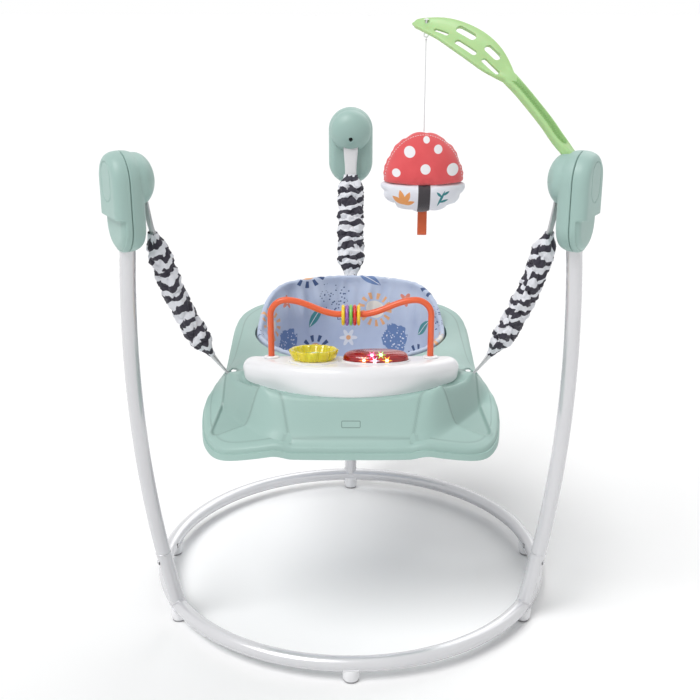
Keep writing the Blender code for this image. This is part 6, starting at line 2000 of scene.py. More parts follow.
def glowing_red():
    finish = Finish("clear_red", (0.56, 0.010, 0.014), roughness=0.07, ior=1.46, transmission_weight=0.55,
                    coat_weight=0.4, coat_roughness=0.05)
    shade = finish.noise(90.0, 2.0)
    finish.color_from(finish.blend(shade, (0.42, 0.006, 0.010), (0.66, 0.016, 0.020)))
    # Painted light: the button itself emits the lamps' stars.
    finish.put(finish.shader.inputs["Emission Color"], starlight(finish))
    finish.put(finish.shader.inputs["Emission Strength"], GLOW_STRENGTH)
    facets = finish.node("ShaderNodeTexVoronoi", {"Vector": finish.coordinates(), "Scale": 170.0},
                         feature="SMOOTH_F1")
    finish.normal_from(finish.bump(facets.outputs["Distance"], 0.35, 0.0010))
    return finish.material


clear_red = glowing_red()

# %% Spinning cup
SPINNER_R = 0.0385
SPINNER_LOBES = 12
SPINNER_HEIGHT = 0.0165
SCALLOP_POINTS = 12
CUP_EDGE = ((0.0002, 0.0022, 0.0022), (-0.0004, 0.0006, 0.0020), (-0.0018, 0.0, 0.0018),
            (-0.0038, 0.0002, 0.0016), (-0.0050, 0.0014, 0.0016))


def scallop(radius, height, depth=0.0012):
    points = []
    for angle in round_angles(SPINNER_LOBES * SCALLOP_POINTS):
        swell = radius + depth * (1.7 * abs(math.cos(SPINNER_LOBES * angle / 2)) ** 0.7 - 1.1)
        points.append((swell * math.cos(angle), swell * math.sin(angle), height))
    return points


def spinner_cup():
    base = RIM_HEIGHT + PART_GAP
    top = base + SPINNER_HEIGHT
    rings = [scallop(SPINNER_R - 0.0075, base, 0.0006), scallop(SPINNER_R - 0.0055, base + 0.0006, 0.0007)]
    for share in np.linspace(0.1, 1.0, 10):
        radius = mix(SPINNER_R - 0.0052, SPINNER_R, share ** 0.8)
        rings.append(scallop(radius, mix(base, top - 0.004, share), mix(0.0008, 0.0022, share)))
    for out, down, depth in CUP_EDGE:
        rings.append(scallop(SPINNER_R + out, top - down, depth))
    for share in np.linspace(0.15, 1.0, 7):
        radius = mix(SPINNER_R - 0.0054, SPINNER_R - 0.0100, share)
        rings.append(scallop(radius, mix(top - 0.002, base + 0.0045, share), mix(0.0016, 0.0008, share)))
    rings.append(scallop(SPINNER_R - 0.0125, base + 0.0030, 0.0006))
    cup = skin("yellow_cup", rings)
    hub = turned_piece("hub", [(0.0, base + 0.006), (0.0080, base + 0.006), (0.0085, base + 0.0055),
                               (0.0085, base + 0.0010), (0.0, base + 0.0010)], 64, closed=False)
    cup = combined(cup, hub, "UNION")
    cup = combined(cup, rod("hole", (0, 0, -0.02), (0, 0, 0.05), AXLE_R + PART_GAP, 48))
    return placed(cup, console_frame(SPINNER_POS))


def green_flower():
    base = RIM_HEIGHT + 0.0036
    outline = []
    for angle in round_angles(160):
        radius = 0.0170 + 0.0042 * abs(math.cos(4 * angle)) ** 0.7
        outline.append((radius * math.cos(angle), radius * math.sin(angle)))
    hole = oval((0.0088, 0.0088), 0.0, 48)
    return placed(prism("green_flower", outline, base, base + 0.004, [hole], bevel=0.0008),
                  console_frame(SPINNER_POS))


def axle_cap():
    top = RIM_HEIGHT + 0.0066
    profile = [(0.0, top + 0.0040), (0.0022, top + 0.0039), (0.0045, top + 0.0032), (0.0062, top + 0.0016),
               (0.0070, top + 0.0004), (0.0069, top), (AXLE_R, top), (AXLE_R, -0.0135), (0.0, -0.0135)]
    return placed(turned_piece("axle_cap", profile, 48, closed=False), console_frame(SPINNER_POS))


settle(spinner_cup(), clear_yellow, "spinner", "yellow", "spinner_ring", smooth_angle=45)
settle(green_flower(), green_plastic, "spinner", "green", "spinner_flower")
settle(axle_cap(), white_plastic, "tray", "white", "spinner_axle")

# %% Light button


def light_button():
    """The outlines of the button's outside, up to its crown, and of its hollow, down from the crown."""
    top = LIGHT_DOME_HEIGHT
    under = -CONSOLE_WALL - PART_GAP

    def ring(inset, height):
        return [(x, y, height) for x, y in oval(LIGHT_DOME, -inset, 120)]
    outer = [ring(-0.0018, under - 0.0030), ring(-0.0020, under - 0.0026), ring(-0.0020, under),
             ring(0.0, under), ring(0.0, 0.0040)]
    for angle in np.radians(np.linspace(8, 90, 14)):
        outer.append(ring(0.0205 * (1 - math.cos(angle)) ** 1.15, 0.0040 + (top - 0.0040) * math.sin(angle)))
    outer.append(ring(0.0270, top + 0.0001))
    inner = []
    for angle in np.radians(np.linspace(90, 8, 12)):
        inset = 0.0024 + 0.0190 * (1 - math.cos(angle)) ** 1.15
        inner.append(ring(inset, 0.0030 + (top - 0.0055) * math.sin(angle)))
    inner.append(ring(0.0024, under - 0.0030))
    return outer, inner


def light_dome():
    outer, inner = light_button()
    bottom = [(x, y, z - 0.002) for x, y, z in inner[-1]]
    button = combined(skin("red_button", outer), skin("inside", [*inner, bottom]))
    return placed(button, console_frame(DOME_POS))


def lamps():
    parts = []
    for name, (x, y) in LED_PLACES.items():
        top = console_top_z(DOME_POS[1] + y) + 0.0065
        low = top - 0.026
        profile = [(0.0, top)] + [(LED_R * math.sin(a), top - LED_R * (1 - math.cos(a)))
                                  for a in np.radians((20, 40, 60, 80, 90))]
        profile += [(LED_R, top - 0.008), (0.0, top - 0.008)]
        lamp = moved(turned_piece("lamp", profile, 24, closed=False), DOME_POS[0] + x, DOME_POS[1] + y)
        parts.append(coated(lamp, lamp_glow(f"lamp_{name}", LAMP_COLORS[name])))
        for leg in (-LED_LEG_X, LED_LEG_X):
            across, back = DOME_POS[0] + x + leg, DOME_POS[1] + y
            wire = rod("leg", (across, back, low), (across, back, top - 0.007), LED_LEG_R, 8)
            parts.append(coated(wire, steel))
    return joined("lamps", *parts)


settle(light_dome(), clear_red, "light_button", "red", "light_dome", smooth_angle=50)
settle(lamps(), None, "tray", "white")

# %% [markdown]
# ## The toy bar
#
# An orange bar stands in two white collars. It rises to a crest at each side and dips in the middle, where
# five rings turn on it.

# %% Bar, collars and rings
CREST_X = 0.104
CREST_Z = 0.5531
DIP_Z = 0.5293
DIP_FLAT = 0.017
BAR_FOOT = 0.0130
BAR_STRAIGHT = 0.030
RING_HOLE_R = 0.0070
RING_OUTER_R = 0.0170
RING_WIDTH = 0.0058
RING_PITCH = 0.0062
COLLAR_R = 0.0130
COLLAR_HEIGHT = 0.0034
TOOTH = 0.05


def bar_line():
    shoulder = BAR_X - CREST_X
    foot = console_top_z(BAR_Y) - BAR_FOOT
    half = [(-BAR_X, foot), (-BAR_X, CREST_Z - shoulder - BAR_STRAIGHT)]
    half += arc(-CREST_X, CREST_Z - shoulder, shoulder, np.linspace(math.pi, math.pi / 2, 22))
    for share in np.linspace(0, 1, 36)[1:]:
        x = mix(CREST_X, DIP_FLAT, share)
        half.append((-x, (CREST_Z + DIP_Z) / 2 + (CREST_Z - DIP_Z) / 2 * math.cos(math.pi * share)))
    return [Vector((x, BAR_Y, z)) for x, z in half + [(-x, z) for x, z in reversed(half)]]


def collar(name, side):
    inner, outer, height = BAR_R + PART_GAP, COLLAR_R, COLLAR_HEIGHT
    profile = [(outer - 0.0040, height), (outer - 0.0020, height - 0.0004),
               (outer - 0.0006, height - 0.0014), (outer, 0.0008), (outer, PART_GAP), (inner, PART_GAP),
               (inner, height - 0.0006), (inner + 0.0006, height)]
    lean = Matrix.Identity(4)
    lean[2][1] = -math.tan(CONSOLE_TILT)
    place = Matrix.Translation((side * BAR_X, BAR_Y, console_top_z(BAR_Y)))
    return placed(turned_piece(name, profile, 64), place @ lean)


def bar_ring(name, ridges):
    """A bead ring about its own axis along X; some have a toothed edge."""
    middle = (RING_HOLE_R + RING_OUTER_R) / 2
    thick = (RING_OUTER_R - RING_HOLE_R) / 2
    rings = []
    for heading in round_angles(96):
        swell = 1.0 + (TOOTH * math.cos(ridges * heading) if ridges else 0.0)
        section = []
        for angle in round_angles(24):
            out = math.cos(angle)
            radius = middle + thick * (math.copysign(abs(out) ** 0.8, out) * (swell if out > 0 else 1.0))
            aside = RING_WIDTH / 2 * math.copysign(abs(math.sin(angle)) ** 0.8, math.sin(angle))
            section.append((aside, radius * math.cos(heading), radius * math.sin(heading)))
        rings.append(section)
    return skin(name, rings, ends="chain")


settle(tube("orange_bar", bar_line(), BAR_R, 28), orange_plastic, "tray", "orange", "toy_bar")
for side, way in (("left", -1), ("right", 1)):
    settle(collar(f"collar_{side}", way), white_plastic, "tray", "white", f"bar_collar_{side}")
RING_AXIS_Z = DIP_Z - (RING_HOLE_R - BAR_R - PART_GAP)
RING_LOOKS = (("yellow_ring", yellow_plastic, "yellow", 0), ("purple_ring", purple_plastic, "purple", 14),
              ("green_ring", green_plastic, "green", 0), ("red_ring", red_plastic, "red", 14),
              ("gold_ring", yellow_plastic, "yellow", 0))
for number, (name, material, slot, ridges) in enumerate(RING_LOOKS, start=1):
    ring = moved(bar_ring(name, ridges), (number - 3) * RING_PITCH, BAR_Y, RING_AXIS_Z)
    settle(ring, material, f"ring_{number}", slot, f"bar_ring_{number}")

# %% [markdown]
# ## The leaf arm
#
# A square green stem leans in from the right housing and opens into a leaf with long holes. Its line is the
# solid's own. The leaf banks to the other side than the solid's and has a slimmer tip, as the photograph
# shows. The stem's upper face carries a strip of small raised ribs.

# %% Leaf arm
ARM_TANG_R = POD_SEAM_R - 0.0145
ARM_LINE = ((0.0020, -0.0120), (0.0270, 0.0150), (0.0480, 0.0400), (0.0860, 0.0793), (0.1145, 0.1050),
            (0.1520, 0.1359), (0.1828, 0.1543), (0.2188, 0.1691), (0.2551, 0.1759), (0.2750, 0.1765))
STEM_WIDTH = 0.020
STEM_THICK = 0.015
LEAF_WIDTH = 0.054
LEAF_THICK = 0.008
NECK_WIDTH = STEM_WIDTH * 1.15
NECK_THICK = LEAF_THICK * 1.5
TIP_WIDTH = 0.008
LEAF_BANK = math.radians(-44)
STEM_BANK = math.radians(-30)
LEAF_SHARE = 0.44
HOOK_SHARE = 0.93
LEAF_SLOTS = ((0.545, 0.0110, 0.036, 0.0095), (0.695, 0.0125, 0.040, 0.0105), (0.840, 0.0080, 0.026, 0.0070),
              (0.590, -0.0090, 0.030, 0.0125), (0.740, -0.0095, 0.036, 0.0125))
ARM_RINGS = 150

ARM_POINTS = np.array([tuple(p) for p in catmull_rom([Vector((0.0, ARM_TANG_R - inward, POD_TOP + up))
                                                      for inward, up in ARM_LINE], 24)])
ARM_STEPS = np.linalg.norm(np.diff(ARM_POINTS, axis=0), axis=1)
ARM_SHARES = np.concatenate(([0.0], np.cumsum(ARM_STEPS))) / ARM_STEPS.sum()


def arm_section(share):
    """Width, thickness and bank: a stem up to LEAF_SHARE, and the leaf from there."""
    if share < LEAF_SHARE:
        blend = ease((share - LEAF_SHARE + 0.06) / 0.06)
        bank = STEM_BANK * ease(share / 0.12)
        return mix(STEM_WIDTH, NECK_WIDTH, blend), mix(STEM_THICK, NECK_THICK, blend), bank
    leaf = (share - LEAF_SHARE) / (1 - LEAF_SHARE)
    outline = math.sin(math.pi * min(leaf ** 0.8 * 0.93 + 0.04, 1.0)) ** 0.75
    width = max(LEAF_WIDTH * outline, mix(NECK_WIDTH, TIP_WIDTH, ease(leaf * 3)))
    thick = mix(NECK_THICK, LEAF_THICK, ease(leaf * 6))
    return width, thick, mix(STEM_BANK, LEAF_BANK, ease(leaf * 4))


def arm_frame(share):
    """The point at a share of the arm, its heading, and the directions of its width and thickness."""
    def point(where):
        where = min(max(where, 0.0), 1.0)
        return Vector([np.interp(where, ARM_SHARES, ARM_POINTS[:, k]) for k in range(3)])
    along = (point(share + 0.01) - point(share - 0.01)).normalized()
    flat = Vector((1.0, 0.0, 0.0))
    upward = flat.cross(along)
    if upward.z < 0:
        upward = -upward
    bank = arm_section(share)[2]
    width_way = flat * math.cos(bank) + upward * math.sin(bank)
    return point(share), along, width_way, upward * math.cos(bank) - flat * math.sin(bank)


def arm_ring(share):
    """A section with round corners; in the leaf its faces are dished between raised edges."""
    point, _, width_way, thick_way = arm_frame(share)
    width, thick = arm_section(share)[:2]
    tip = ease((1.0 - share) / 0.02)
    w, t = width / 2 * mix(0.35, 1.0, tip), thick / 2 * mix(0.45, 1.0, tip)
    corner = min(w, t) * 0.55
    leaf = ease((share - LEAF_SHARE) / 0.06) * ease((0.97 - share) / 0.08)
    ring = []
    for cx, cy, first in ((w - corner, t - corner, 0), (-w + corner, t - corner, 90),
                          (-w + corner, -t + corner, 180), (w - corner, -t + corner, 270)):
        ring += arc(cx, cy, corner, np.radians(np.linspace(first, first + 90, 7)))
        if first in (0, 180):
            way = 1 if first == 0 else -1
            for x in np.linspace(0.72, -0.72, 9):
                dish = 0.0019 * leaf * math.cos(x / 0.72 * math.pi / 2) ** 0.5
                ring.append((way * x * (w - corner), way * (t - dish)))
    return [point + width_way * a + thick_way * b for a, b in ring]


def leaf_slot(share, offset, length, width):
    point, along, width_way, thick_way = arm_frame(share)
    half = length / 2 - width / 2
    outline = []
    for centre, first in ((half, -math.pi / 2), (-half, math.pi / 2)):
        outline += arc(centre, 0.0, width / 2, np.linspace(first, first + math.pi, 17))
    place = Matrix((along, width_way, thick_way)).transposed().to_4x4()
    place.translation = point + width_way * offset
    return placed(prism("slot", outline, -0.02, 0.02), place)


def leaf_arm():
    arm = skin("green_leaf_arm", [arm_ring(share) for share in np.linspace(0.0, 1.0, ARM_RINGS)])
    for slot in LEAF_SLOTS:
        arm = combined(arm, leaf_slot(*slot))
    point = arm_frame(HOOK_SHARE)[0]
    return combined(arm, rod("hole", point - Vector((0, 0, 0.02)), point + Vector((0, 0, 0.02)), 0.0020, 24))


# %% [markdown]
# The ribs on the stem repeat, so they are placed by a node group. It gets the points with a turn for each,
# puts one rib on every point and hands back one mesh. Screws and stitches are placed the same way.

# %% Repeated pieces by nodes


def copies_group(name):
    """A node group that puts one shape on every point, with the group's input sockets by title."""
    tree = bpy.data.node_groups.new(f"{name}_nodes", "GeometryNodeTree")
    sockets = {}
    for title, kind in (("Points", "Geometry"), ("Shape", "Object"), ("Finish", "Material")):
        sockets[title] = tree.interface.new_socket(title, in_out="INPUT", socket_type=f"NodeSocket{kind}")
    tree.interface.new_socket("Copies", in_out="OUTPUT", socket_type="NodeSocketGeometry")
    start, end = tree.nodes.new("NodeGroupInput"), tree.nodes.new("NodeGroupOutput")
    info = tree.nodes.new("GeometryNodeObjectInfo")
    info.inputs["As Instance"].default_value = True
    heading = tree.nodes.new("GeometryNodeInputNamedAttribute")
    heading.data_type = "FLOAT_VECTOR"
    heading.inputs["Name"].default_value = "turn"
    to_turn = tree.nodes.new("FunctionNodeEulerToRotation")
    copies = tree.nodes.new("GeometryNodeInstanceOnPoints")
    real = tree.nodes.new("GeometryNodeRealizeInstances")
    coat = tree.nodes.new("GeometryNodeSetMaterial")
    for source, out, target, into in (
            (start, "Points", copies, "Points"), (start, "Shape", info, "Object"),
            (info, "Geometry", copies, "Instance"), (heading, "Attribute", to_turn, "Euler"),
            (to_turn, "Rotation", copies, "Rotation"), (copies, "Instances", real, "Geometry"),
            (real, "Geometry", coat, "Geometry"), (start, "Finish", coat, "Material"),
            (coat, "Geometry", end, "Copies")):
        tree.links.new(source.outputs[out], target.inputs[into])
    return tree, sockets


def repeated(name, places, template, material):
    """Copies of a template on points. places holds a position and a rotation for each copy."""
    mesh = bpy.data.meshes.new(name)
    mesh.from_pydata([tuple(place) for place, turn in places], [], [])
    turns = mesh.attributes.new("turn", "FLOAT_VECTOR", "POINT")
    turns.data.foreach_set("vector", [value for place, turn in places for value in turn])
    obj = new_object(name, mesh)
    modifier = obj.modifiers.new("copies", "NODES")
    modifier.node_group, sockets = copies_group(name)
    modifier[sockets["Shape"].identifier] = template
    modifier[sockets["Finish"].identifier] = material
    result = baked(obj)
    bpy.data.objects.remove(template)
    print(f"{name}: {len(places)} copies")
    return result


RIB_STATIONS = 36
RIB_START = 0.075


def stem_ribs():
    """Slanted ribs in two crossing rows along the stem's upper face."""
    places = []
    for share in np.linspace(RIB_START, LEAF_SHARE - 0.02, RIB_STATIONS):
        point, along, width_way, thick_way = arm_frame(share)
        width, thick = arm_section(share)[:2]
        for lean in (-1, 1):
            slant = (along + width_way * lean).normalized()
            turn = Matrix((slant, thick_way.cross(slant), thick_way)).transposed().to_euler()
            foot = point + thick_way * (thick / 2 - 0.0001)
            places.append((foot + width_way * (lean * width * 0.14), turn))
    rib = box("rib", (-0.0040, -0.0007, -0.0006), (0.0040, 0.0007, 0.0011), 0.0004)
    return repeated("stem_ribs", places, rib, dark_leaf_plastic)


arm = coated(leaf_arm(), leaf_plastic)
settle(joined("green_leaf_arm", arm, stem_ribs()), None, "frame", "leaf", "leaf_arm",
       mast=LEG_AZIMUTHS["right"], smooth_angle=35)

# %% [markdown]
# A screw sits deep in each housing's dome. The heads have a cross recess, and one node group places all
# three. The heads are near black: painted shade of the deep wells they sit in.

# %% Screws
SCREW_DEPTH = 0.0070
# Near-black heads: painted shade of the deep screw wells.
dark_steel = moulded_plastic("dark_steel", (0.015, 0.015, 0.017), 0.45).material


def cross_screw():
    profile = [(0.0, 0.0), (0.0026, -0.0001), (0.0033, -0.0007), (0.0034, -0.0016), (0.0016, -0.0016),
               (0.0016, -0.0080), (0.0, -0.0080)]
    head = turned_piece("screw", profile, 40, closed=False)
    for size in ((0.0018, 0.0004), (0.0004, 0.0018)):
        head = combined(head, box("recess", (-size[0], -size[1], -0.0009), (size[0], size[1], 0.001)))
    return head


def housing_screws():
    surface = POD_SEAM_R - float(inner_depth(np.array([0.0]), np.array([SCREW_Z]))[0])
    places = []
    for azimuth in LEG_AZIMUTHS.values():
        inward = -turned(azimuth, 1.0)
        turn = inward.to_track_quat("Z", "Y").to_euler()
        places.append((turned(azimuth, surface + SCREW_DEPTH, SCREW_Z), turn))
    return repeated("housing_screws", places, cross_screw(), dark_steel)


settle(housing_screws(), None, "frame", "metal")

# %% [markdown]
# ## The hanging mushroom
#
# A white peg turns in the leaf's tip and holds the string in its eye. The mushroom is a flat stuffed toy:
# a red cap and a white stem half, sewn together all round with a seam that puckers.

# %% Hook
EYE_R = 0.0034
EYE_WIRE_R = 0.0010
EYE_DROP = 0.0105
HOOK = arm_frame(HOOK_SHARE)[0]
EYE_Z = HOOK.z - LEAF_THICK - EYE_DROP


def at_hook(obj):
    """Carry a piece made about the hook's own upright line to the right leg's plane."""
    place = turned(LEG_AZIMUTHS["right"], HOOK.y)
    return moved(obj, place.x, place.y, 0.0)


def peg():
    reach = LEAF_THICK * 0.95
    foot = EYE_Z + 2 * EYE_R
    profile = [(0.0, HOOK.z + reach + 0.0022), (0.0026, HOOK.z + reach + 0.0019),
               (0.0040, HOOK.z + reach + 0.0008), (0.0040, HOOK.z + reach), (0.0015, HOOK.z + reach),
               (0.0015, foot), (0.0, foot)]
    stalk = turned_piece("peg", profile, 40, closed=False)
    wire = arc(EYE_R, 0.0, EYE_WIRE_R, round_angles(16))
    eye = placed(turned_piece("eye", wire, 48), Matrix.Rotation(math.pi / 2, 4, "X"))
    return joined("white_peg", stalk, moved(eye, z=EYE_Z + EYE_R))


settle(at_hook(peg()), white_plastic, "hook", "white", "toy_hook")

# %% Mushroom cloth
TOY_X = turned(LEG_AZIMUTHS["right"], HOOK.y).x
TOY_DROP = 0.144752
TOY_TOP = EYE_Z - EYE_WIRE_R - PART_GAP - TOY_DROP
CAP_HEIGHT = 0.0803
BODY_HEIGHT = 0.0491
TOY_SPLIT = TOY_TOP - CAP_HEIGHT
TOY_BOTTOM = TOY_SPLIT - BODY_HEIGHT
TOY_HALF_WIDTH = 0.066
TOY_HALF_DEPTH = 0.042
CAP_DOTS = ((-0.0240, 0.052, 0.0088), (0.0215, 0.056, 0.0068), (-0.0450, 0.019, 0.0066),
            (0.0010, 0.026, 0.0080), (0.0455, 0.024, 0.0098), (0.0030, 0.070, 0.0052))


def toy_place(finish):
    """Across and up from the middle of the toy's seam."""
    x, z = finish.xyz(finish.coordinates())[::2]
    return finish.minus(x, TOY_X), finish.minus(z, TOY_SPLIT + RING_Z)


def plush_bump(finish, across, up):
    fuzz = finish.bump(finish.noise(1500.0, 2.0), 0.35, 0.0003)
    pucker = finish.bump(finish.noise(90.0, 3.0), 0.25, 0.0015, under=fuzz)
    return woven(finish, across, up, 0.0008, 0.2, under=pucker)


def cap_cloth():
    finish = Finish("cap_cloth", (0.74, 0.085, 0.095), roughness=0.85, sheen_weight=0.35)
    across, up = toy_place(finish)
    shade = finish.noise(40.0, 3.0)
    color = finish.blend(shade, (0.68, 0.065, 0.075), (0.80, 0.110, 0.120))
    for x, z, radius in CAP_DOTS:
        reach = finish.length(finish.minus(across, x), finish.minus(up, z))
        color = finish.blend(below(finish, reach, radius), color, (0.86, 0.84, 0.87))
    finish.color_from(color)
    finish.normal_from(plush_bump(finish, across, up))
    return finish.material


def petal(finish, across, up, root, heading, length, width):
    """A pointed shape that grows from a root along a heading."""
    a = finish.minus(across, root[0] + math.cos(heading) * length / 2)
    b = finish.minus(up, root[1] + math.sin(heading) * length / 2)
    return lens(finish, *finish.rotated(a, b, heading), length / 2, width / 2)


TUFT_ROOT = (-0.0320, -0.033)
TUFT_INK = (0.82, 0.34, 0.10)
TWIG_INK = (0.02, 0.22, 0.25)
BODY_PRINT = (
    (TUFT_ROOT, 2.5, 0.023, 0.0085, TUFT_INK), (TUFT_ROOT, 1.85, 0.026, 0.0090, TUFT_INK),
    (TUFT_ROOT, 1.2, 0.024, 0.0085, TUFT_INK), (TUFT_ROOT, 0.35, 0.018, 0.0070, TUFT_INK),
    ((0.0215, -0.036), 1.15, 0.030, 0.0042, TWIG_INK), ((0.0245, -0.029), 0.30, 0.016, 0.0042, TWIG_INK),
    ((0.0290, -0.020), 2.35, 0.013, 0.0042, TWIG_INK), ((0.0300, -0.017), 0.55, 0.013, 0.0042, TWIG_INK))


def body_cloth():
    finish = Finish("body_cloth", (0.80, 0.81, 0.88), roughness=0.85, sheen_weight=0.35)
    across, up = toy_place(finish)
    shade = finish.noise(40.0, 3.0)
    color = finish.blend(shade, (0.74, 0.76, 0.85), (0.84, 0.85, 0.90))
    for root, heading, length, width, ink in BODY_PRINT:
        color = finish.blend(petal(finish, across, up, root, heading, length, width), color, ink)
    stem = below(finish, finish.absolute(across), 0.0098)
    color = finish.blend(stem, color, (0.045, 0.038, 0.045))
    finish.color_from(color)
    finish.normal_from(plush_bump(finish, across, up))
    return finish.material


# %% [markdown]
# White thread shows along the cap's edge. A node group lays the stitches along the outline, and each one is
# then moved onto the cloth.

# %% Stitches
STITCHES = 46
STITCH_SHARE = 0.955
thread = moulded_plastic("white_thread", (0.84, 0.83, 0.85), 0.8, grain=0.2).material


def edge_stitches():
    """Stitches along the cap's edge, on the side that faces the front."""
    places = []
    for angle in np.linspace(math.radians(8), math.radians(172), STITCHES):
        x = TOY_HALF_WIDTH * STITCH_SHARE * math.cos(angle)
        z = CAP_HEIGHT * STITCH_SHARE * math.sin(angle)
        way = Vector((-TOY_HALF_WIDTH * math.sin(angle), 0.0, CAP_HEIGHT * math.cos(angle)))
        depth = TOY_HALF_DEPTH * 0.34
        places.append((Vector((x, -depth, TOY_SPLIT + z)), way.to_track_quat("X", "Z").to_euler()))
    stitch = box("stitch", (-0.0013, -0.0004, -0.0004), (0.0013, 0.0004, 0.0004), 0.0002)
    return repeated("cap_stitches", places, stitch, thread)


def onto(obj, target, lift):
    """Move each stitch in depth until it lies on the cloth, keeping its shape."""
    tree = BVHTree.FromObject(target, bpy.context.evaluated_depsgraph_get())
    bm = bmesh.new()
    bm.from_mesh(obj.data)
    left = set(bm.verts)
    while left:
        shell, stack = [], [left.pop()]
        while stack:
            vertex = stack.pop()
            shell.append(vertex)
            for edge in vertex.link_edges:
                other = edge.other_vert(vertex)
                if other in left:
                    left.remove(other)
                    stack.append(other)
        middle = sum((vertex.co for vertex in shell), Vector()) / len(shell)
        hit = tree.ray_cast(Vector((middle.x, -0.2, middle.z)), Vector((0.0, 1.0, 0.0)))[0]
        shift = hit.y - lift - middle.y if hit else 0.0
        for vertex in shell:
            vertex.co.y += shift
    bm.to_mesh(obj.data)
    bm.free()
    return obj


# %% [markdown]
# Each half starts as a smooth pillow, thin at its sewn edge. A cloth simulation then blows it up a little
# from inside, as the stuffing does, and a limit on each point's move keeps its size.

# %% Stuffed halves
PILLOW_SIDES = 120
STUFFED_VOXEL = 0.0034
STUFFING = 4.0
STUFFING_LIMIT = 0.0045
CLOTH_FRAMES = 20
SEAM_WIDTH = 0.0008


def pillow_half(name, low, high, power, pucker):
    """Round in plan, thin towards the sides, and tapering to its end in a sewn edge."""
    rings = []
    for share in np.concatenate((np.linspace(0.0, 0.9, 34), np.linspace(0.92, 1.0, 10))):
        size = max((1 - share ** power) ** (1 / power), 0.05)
        tuck = 1.0 - 0.05 * (1 - ease(share / 0.06))
        z = mix(low, high, share)
        ring = []
        for angle in round_angles(PILLOW_SIDES):
            side = abs(math.cos(angle))
            edge = ease((side - 0.90) / 0.10)
            ripple = pucker * edge * math.sin(46 * share + 1.7 * math.sin(angle))
            width = TOY_HALF_WIDTH * size + ripple
            depth = TOY_HALF_DEPTH * size * tuck * (1 - 0.30 * edge)
            folds = 0.0009 * (1 - ease(share / 0.16)) * math.cos(34 * angle)
            ring.append((width * math.cos(angle), (depth + folds) * math.sin(angle), z))
        rings.append(ring)
    return skin(name, rings)


def stuffed(obj):
    """Swell a closed piece with a short cloth simulation and keep its name."""
    name = obj.name
    remesh = obj.modifiers.new("remesh", "REMESH")
    remesh.mode = "VOXEL"
    remesh.voxel_size = STUFFED_VOXEL
    obj = baked(obj)
    before = points_of(obj.data)
    cloth = obj.modifiers.new("stuffing", "CLOTH")
    cloth.settings.use_pressure = True
    cloth.settings.uniform_pressure_force = STUFFING
    cloth.settings.effector_weights.gravity = 0.0
    cloth.settings.quality = 5
    scene = bpy.context.scene
    for frame_number in range(1, CLOTH_FRAMES + 1):
        scene.frame_set(frame_number)
    result = obj.evaluated_get(bpy.context.evaluated_depsgraph_get())
    after = points_of(result.data)
    obj.modifiers.clear()
    scene.frame_set(1)
    move = after - before
    reach = np.linalg.norm(move, axis=1, keepdims=True)
    move *= np.minimum(1.0, STUFFING_LIMIT / np.maximum(reach, 1e-9))
    obj.data.vertices.foreach_set("co", (before + move).ravel())
    finer = obj.modifiers.new("finer", "SUBSURF")
    finer.levels = 1
    finer.render_levels = 1
    obj = baked(obj)
    obj.name = name
    farthest = 1000 * reach.max()
    print(f"{name}: cloth moved by up to {farthest:.1f} mm, kept to {1000 * STUFFING_LIMIT:.1f} mm")
    return obj


def ruffled(obj, height, count, depth):
    """Pull the sewn edge in and out in scallops, and leave the faces as they are."""
    for vertex in obj.data.vertices:
        x, y, z = vertex.co.x, vertex.co.y, vertex.co.z - TOY_SPLIT
        ratio = math.hypot(x / TOY_HALF_WIDTH, z / height)
        edge = ease((ratio - 0.80) / 0.17) * (1 - ease(abs(y) / (0.55 * TOY_HALF_DEPTH)))
        heading = math.atan2(abs(z) / height, x / TOY_HALF_WIDTH)
        wave = abs(math.sin(count * heading / 2 + 0.4)) ** 0.7 - 0.75
        way = Vector((x, 0.0, z)).normalized()
        vertex.co += way * (depth * edge * wave)
    return obj


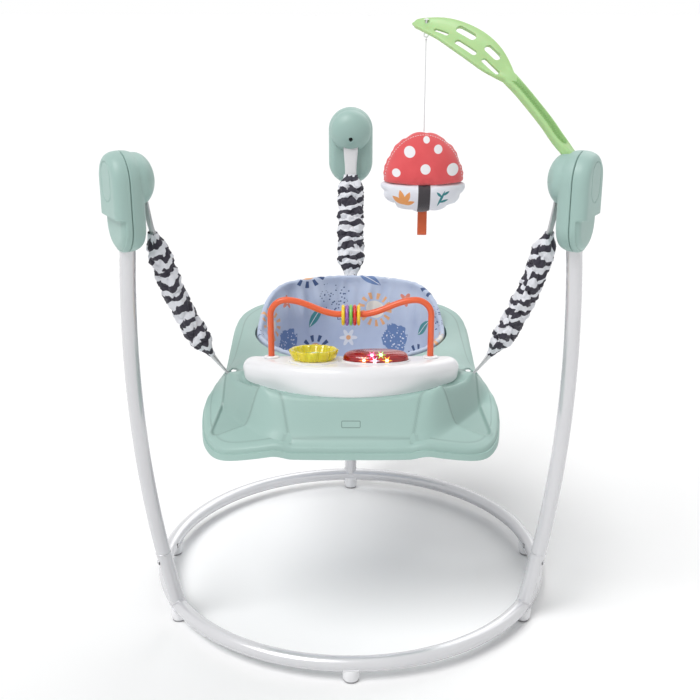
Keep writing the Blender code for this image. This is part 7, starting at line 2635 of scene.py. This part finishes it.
cap = pillow_half("mushroom_top", TOY_SPLIT + PART_GAP / 2, TOY_TOP - SEAM_WIDTH, 2.0, 0.0016)
body = pillow_half("mushroom_stem", TOY_SPLIT - PART_GAP / 2, TOY_BOTTOM + SEAM_WIDTH, 2.2, 0.0042)
cap, body = stuffed(cap), stuffed(body)
cap = ruffled(cap, CAP_HEIGHT, 12, 0.0024)
body = ruffled(body, BODY_HEIGHT, 13, 0.0052)
stitches = onto(edge_stitches(), cap, 0.0002)
settle(at_hook(stitches), None, "toy", "plush_white")
cap = settle(at_hook(cap), cap_cloth(), "toy", "plush_red", "mushroom_cap", smooth_angle=60)
body = settle(at_hook(body), body_cloth(), "toy", "plush_white", "mushroom_body", smooth_angle=60)

# %% Ribbon
RIBBON_WIDTH = 0.015
RIBBON_LENGTH = 0.0404
RIBBON_WALL = 0.0011


def ribbon_loop():
    """A band folded in two and sewn in under the toy."""
    top, bottom = TOY_BOTTOM - PART_GAP, TOY_BOTTOM - RIBBON_LENGTH
    middle, fold = mix(top, bottom, 0.5), bottom + 0.0050
    line = catmull_rom([(0, -0.0022, top), (0, -0.0033, middle), (0, -0.0034, fold),
                        (0, 0.0, bottom + 0.0007), (0, 0.0034, fold), (0, 0.0033, middle),
                        (0, 0.0022, top)], 14)
    section = band_section(RIBBON_WIDTH, RIBBON_WALL)
    rings, along = [], [0.0]
    for i, point in enumerate(line):
        ahead, behind = line[min(i + 1, len(line) - 1)], line[max(i - 1, 0)]
        way = (ahead - behind).normalized()
        out = Vector((0.0, way.z, -way.y))
        rings.append([point + Vector((x, 0.0, 0.0)) + out * depth for x, depth in section])
        if i:
            along.append(along[-1] + (point - line[i - 1]).length)
    return skin("orange_ribbon", rings, uv=(lengths_along(section + section[:1]), along)), along[-1]


ribbon, ribbon_length = ribbon_loop()
ribbon_cloth = webbing_cloth("ribbon_cloth", (0.82, 0.15, 0.05))
settle(at_hook(ribbon), ribbon_cloth, "toy", "orange", "toy_ribbon")

# %% [markdown]
# ## Hidden pieces
#
# The pan under the console, its door, the board, the speaker and the switch keep their solids. They get
# the same plastics as the rest.

# %% Hidden pieces
board_green = moulded_plastic("board_green", (0.02, 0.16, 0.06), 0.45, grain=0.2).material
HIDDEN = {"console_base": white_plastic, "battery_door": white_plastic, "circuit_board": board_green,
          "speaker": black_plastic, "power_switch": orange_plastic}
for node, material in HIDDEN.items():
    for material_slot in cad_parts[node].material_slots:
        material_slot.material = material

# %% [markdown]
# ## Finish
#
# The number of pieces made is printed.

# %% Finish
print("pieces made:", len(MADE))
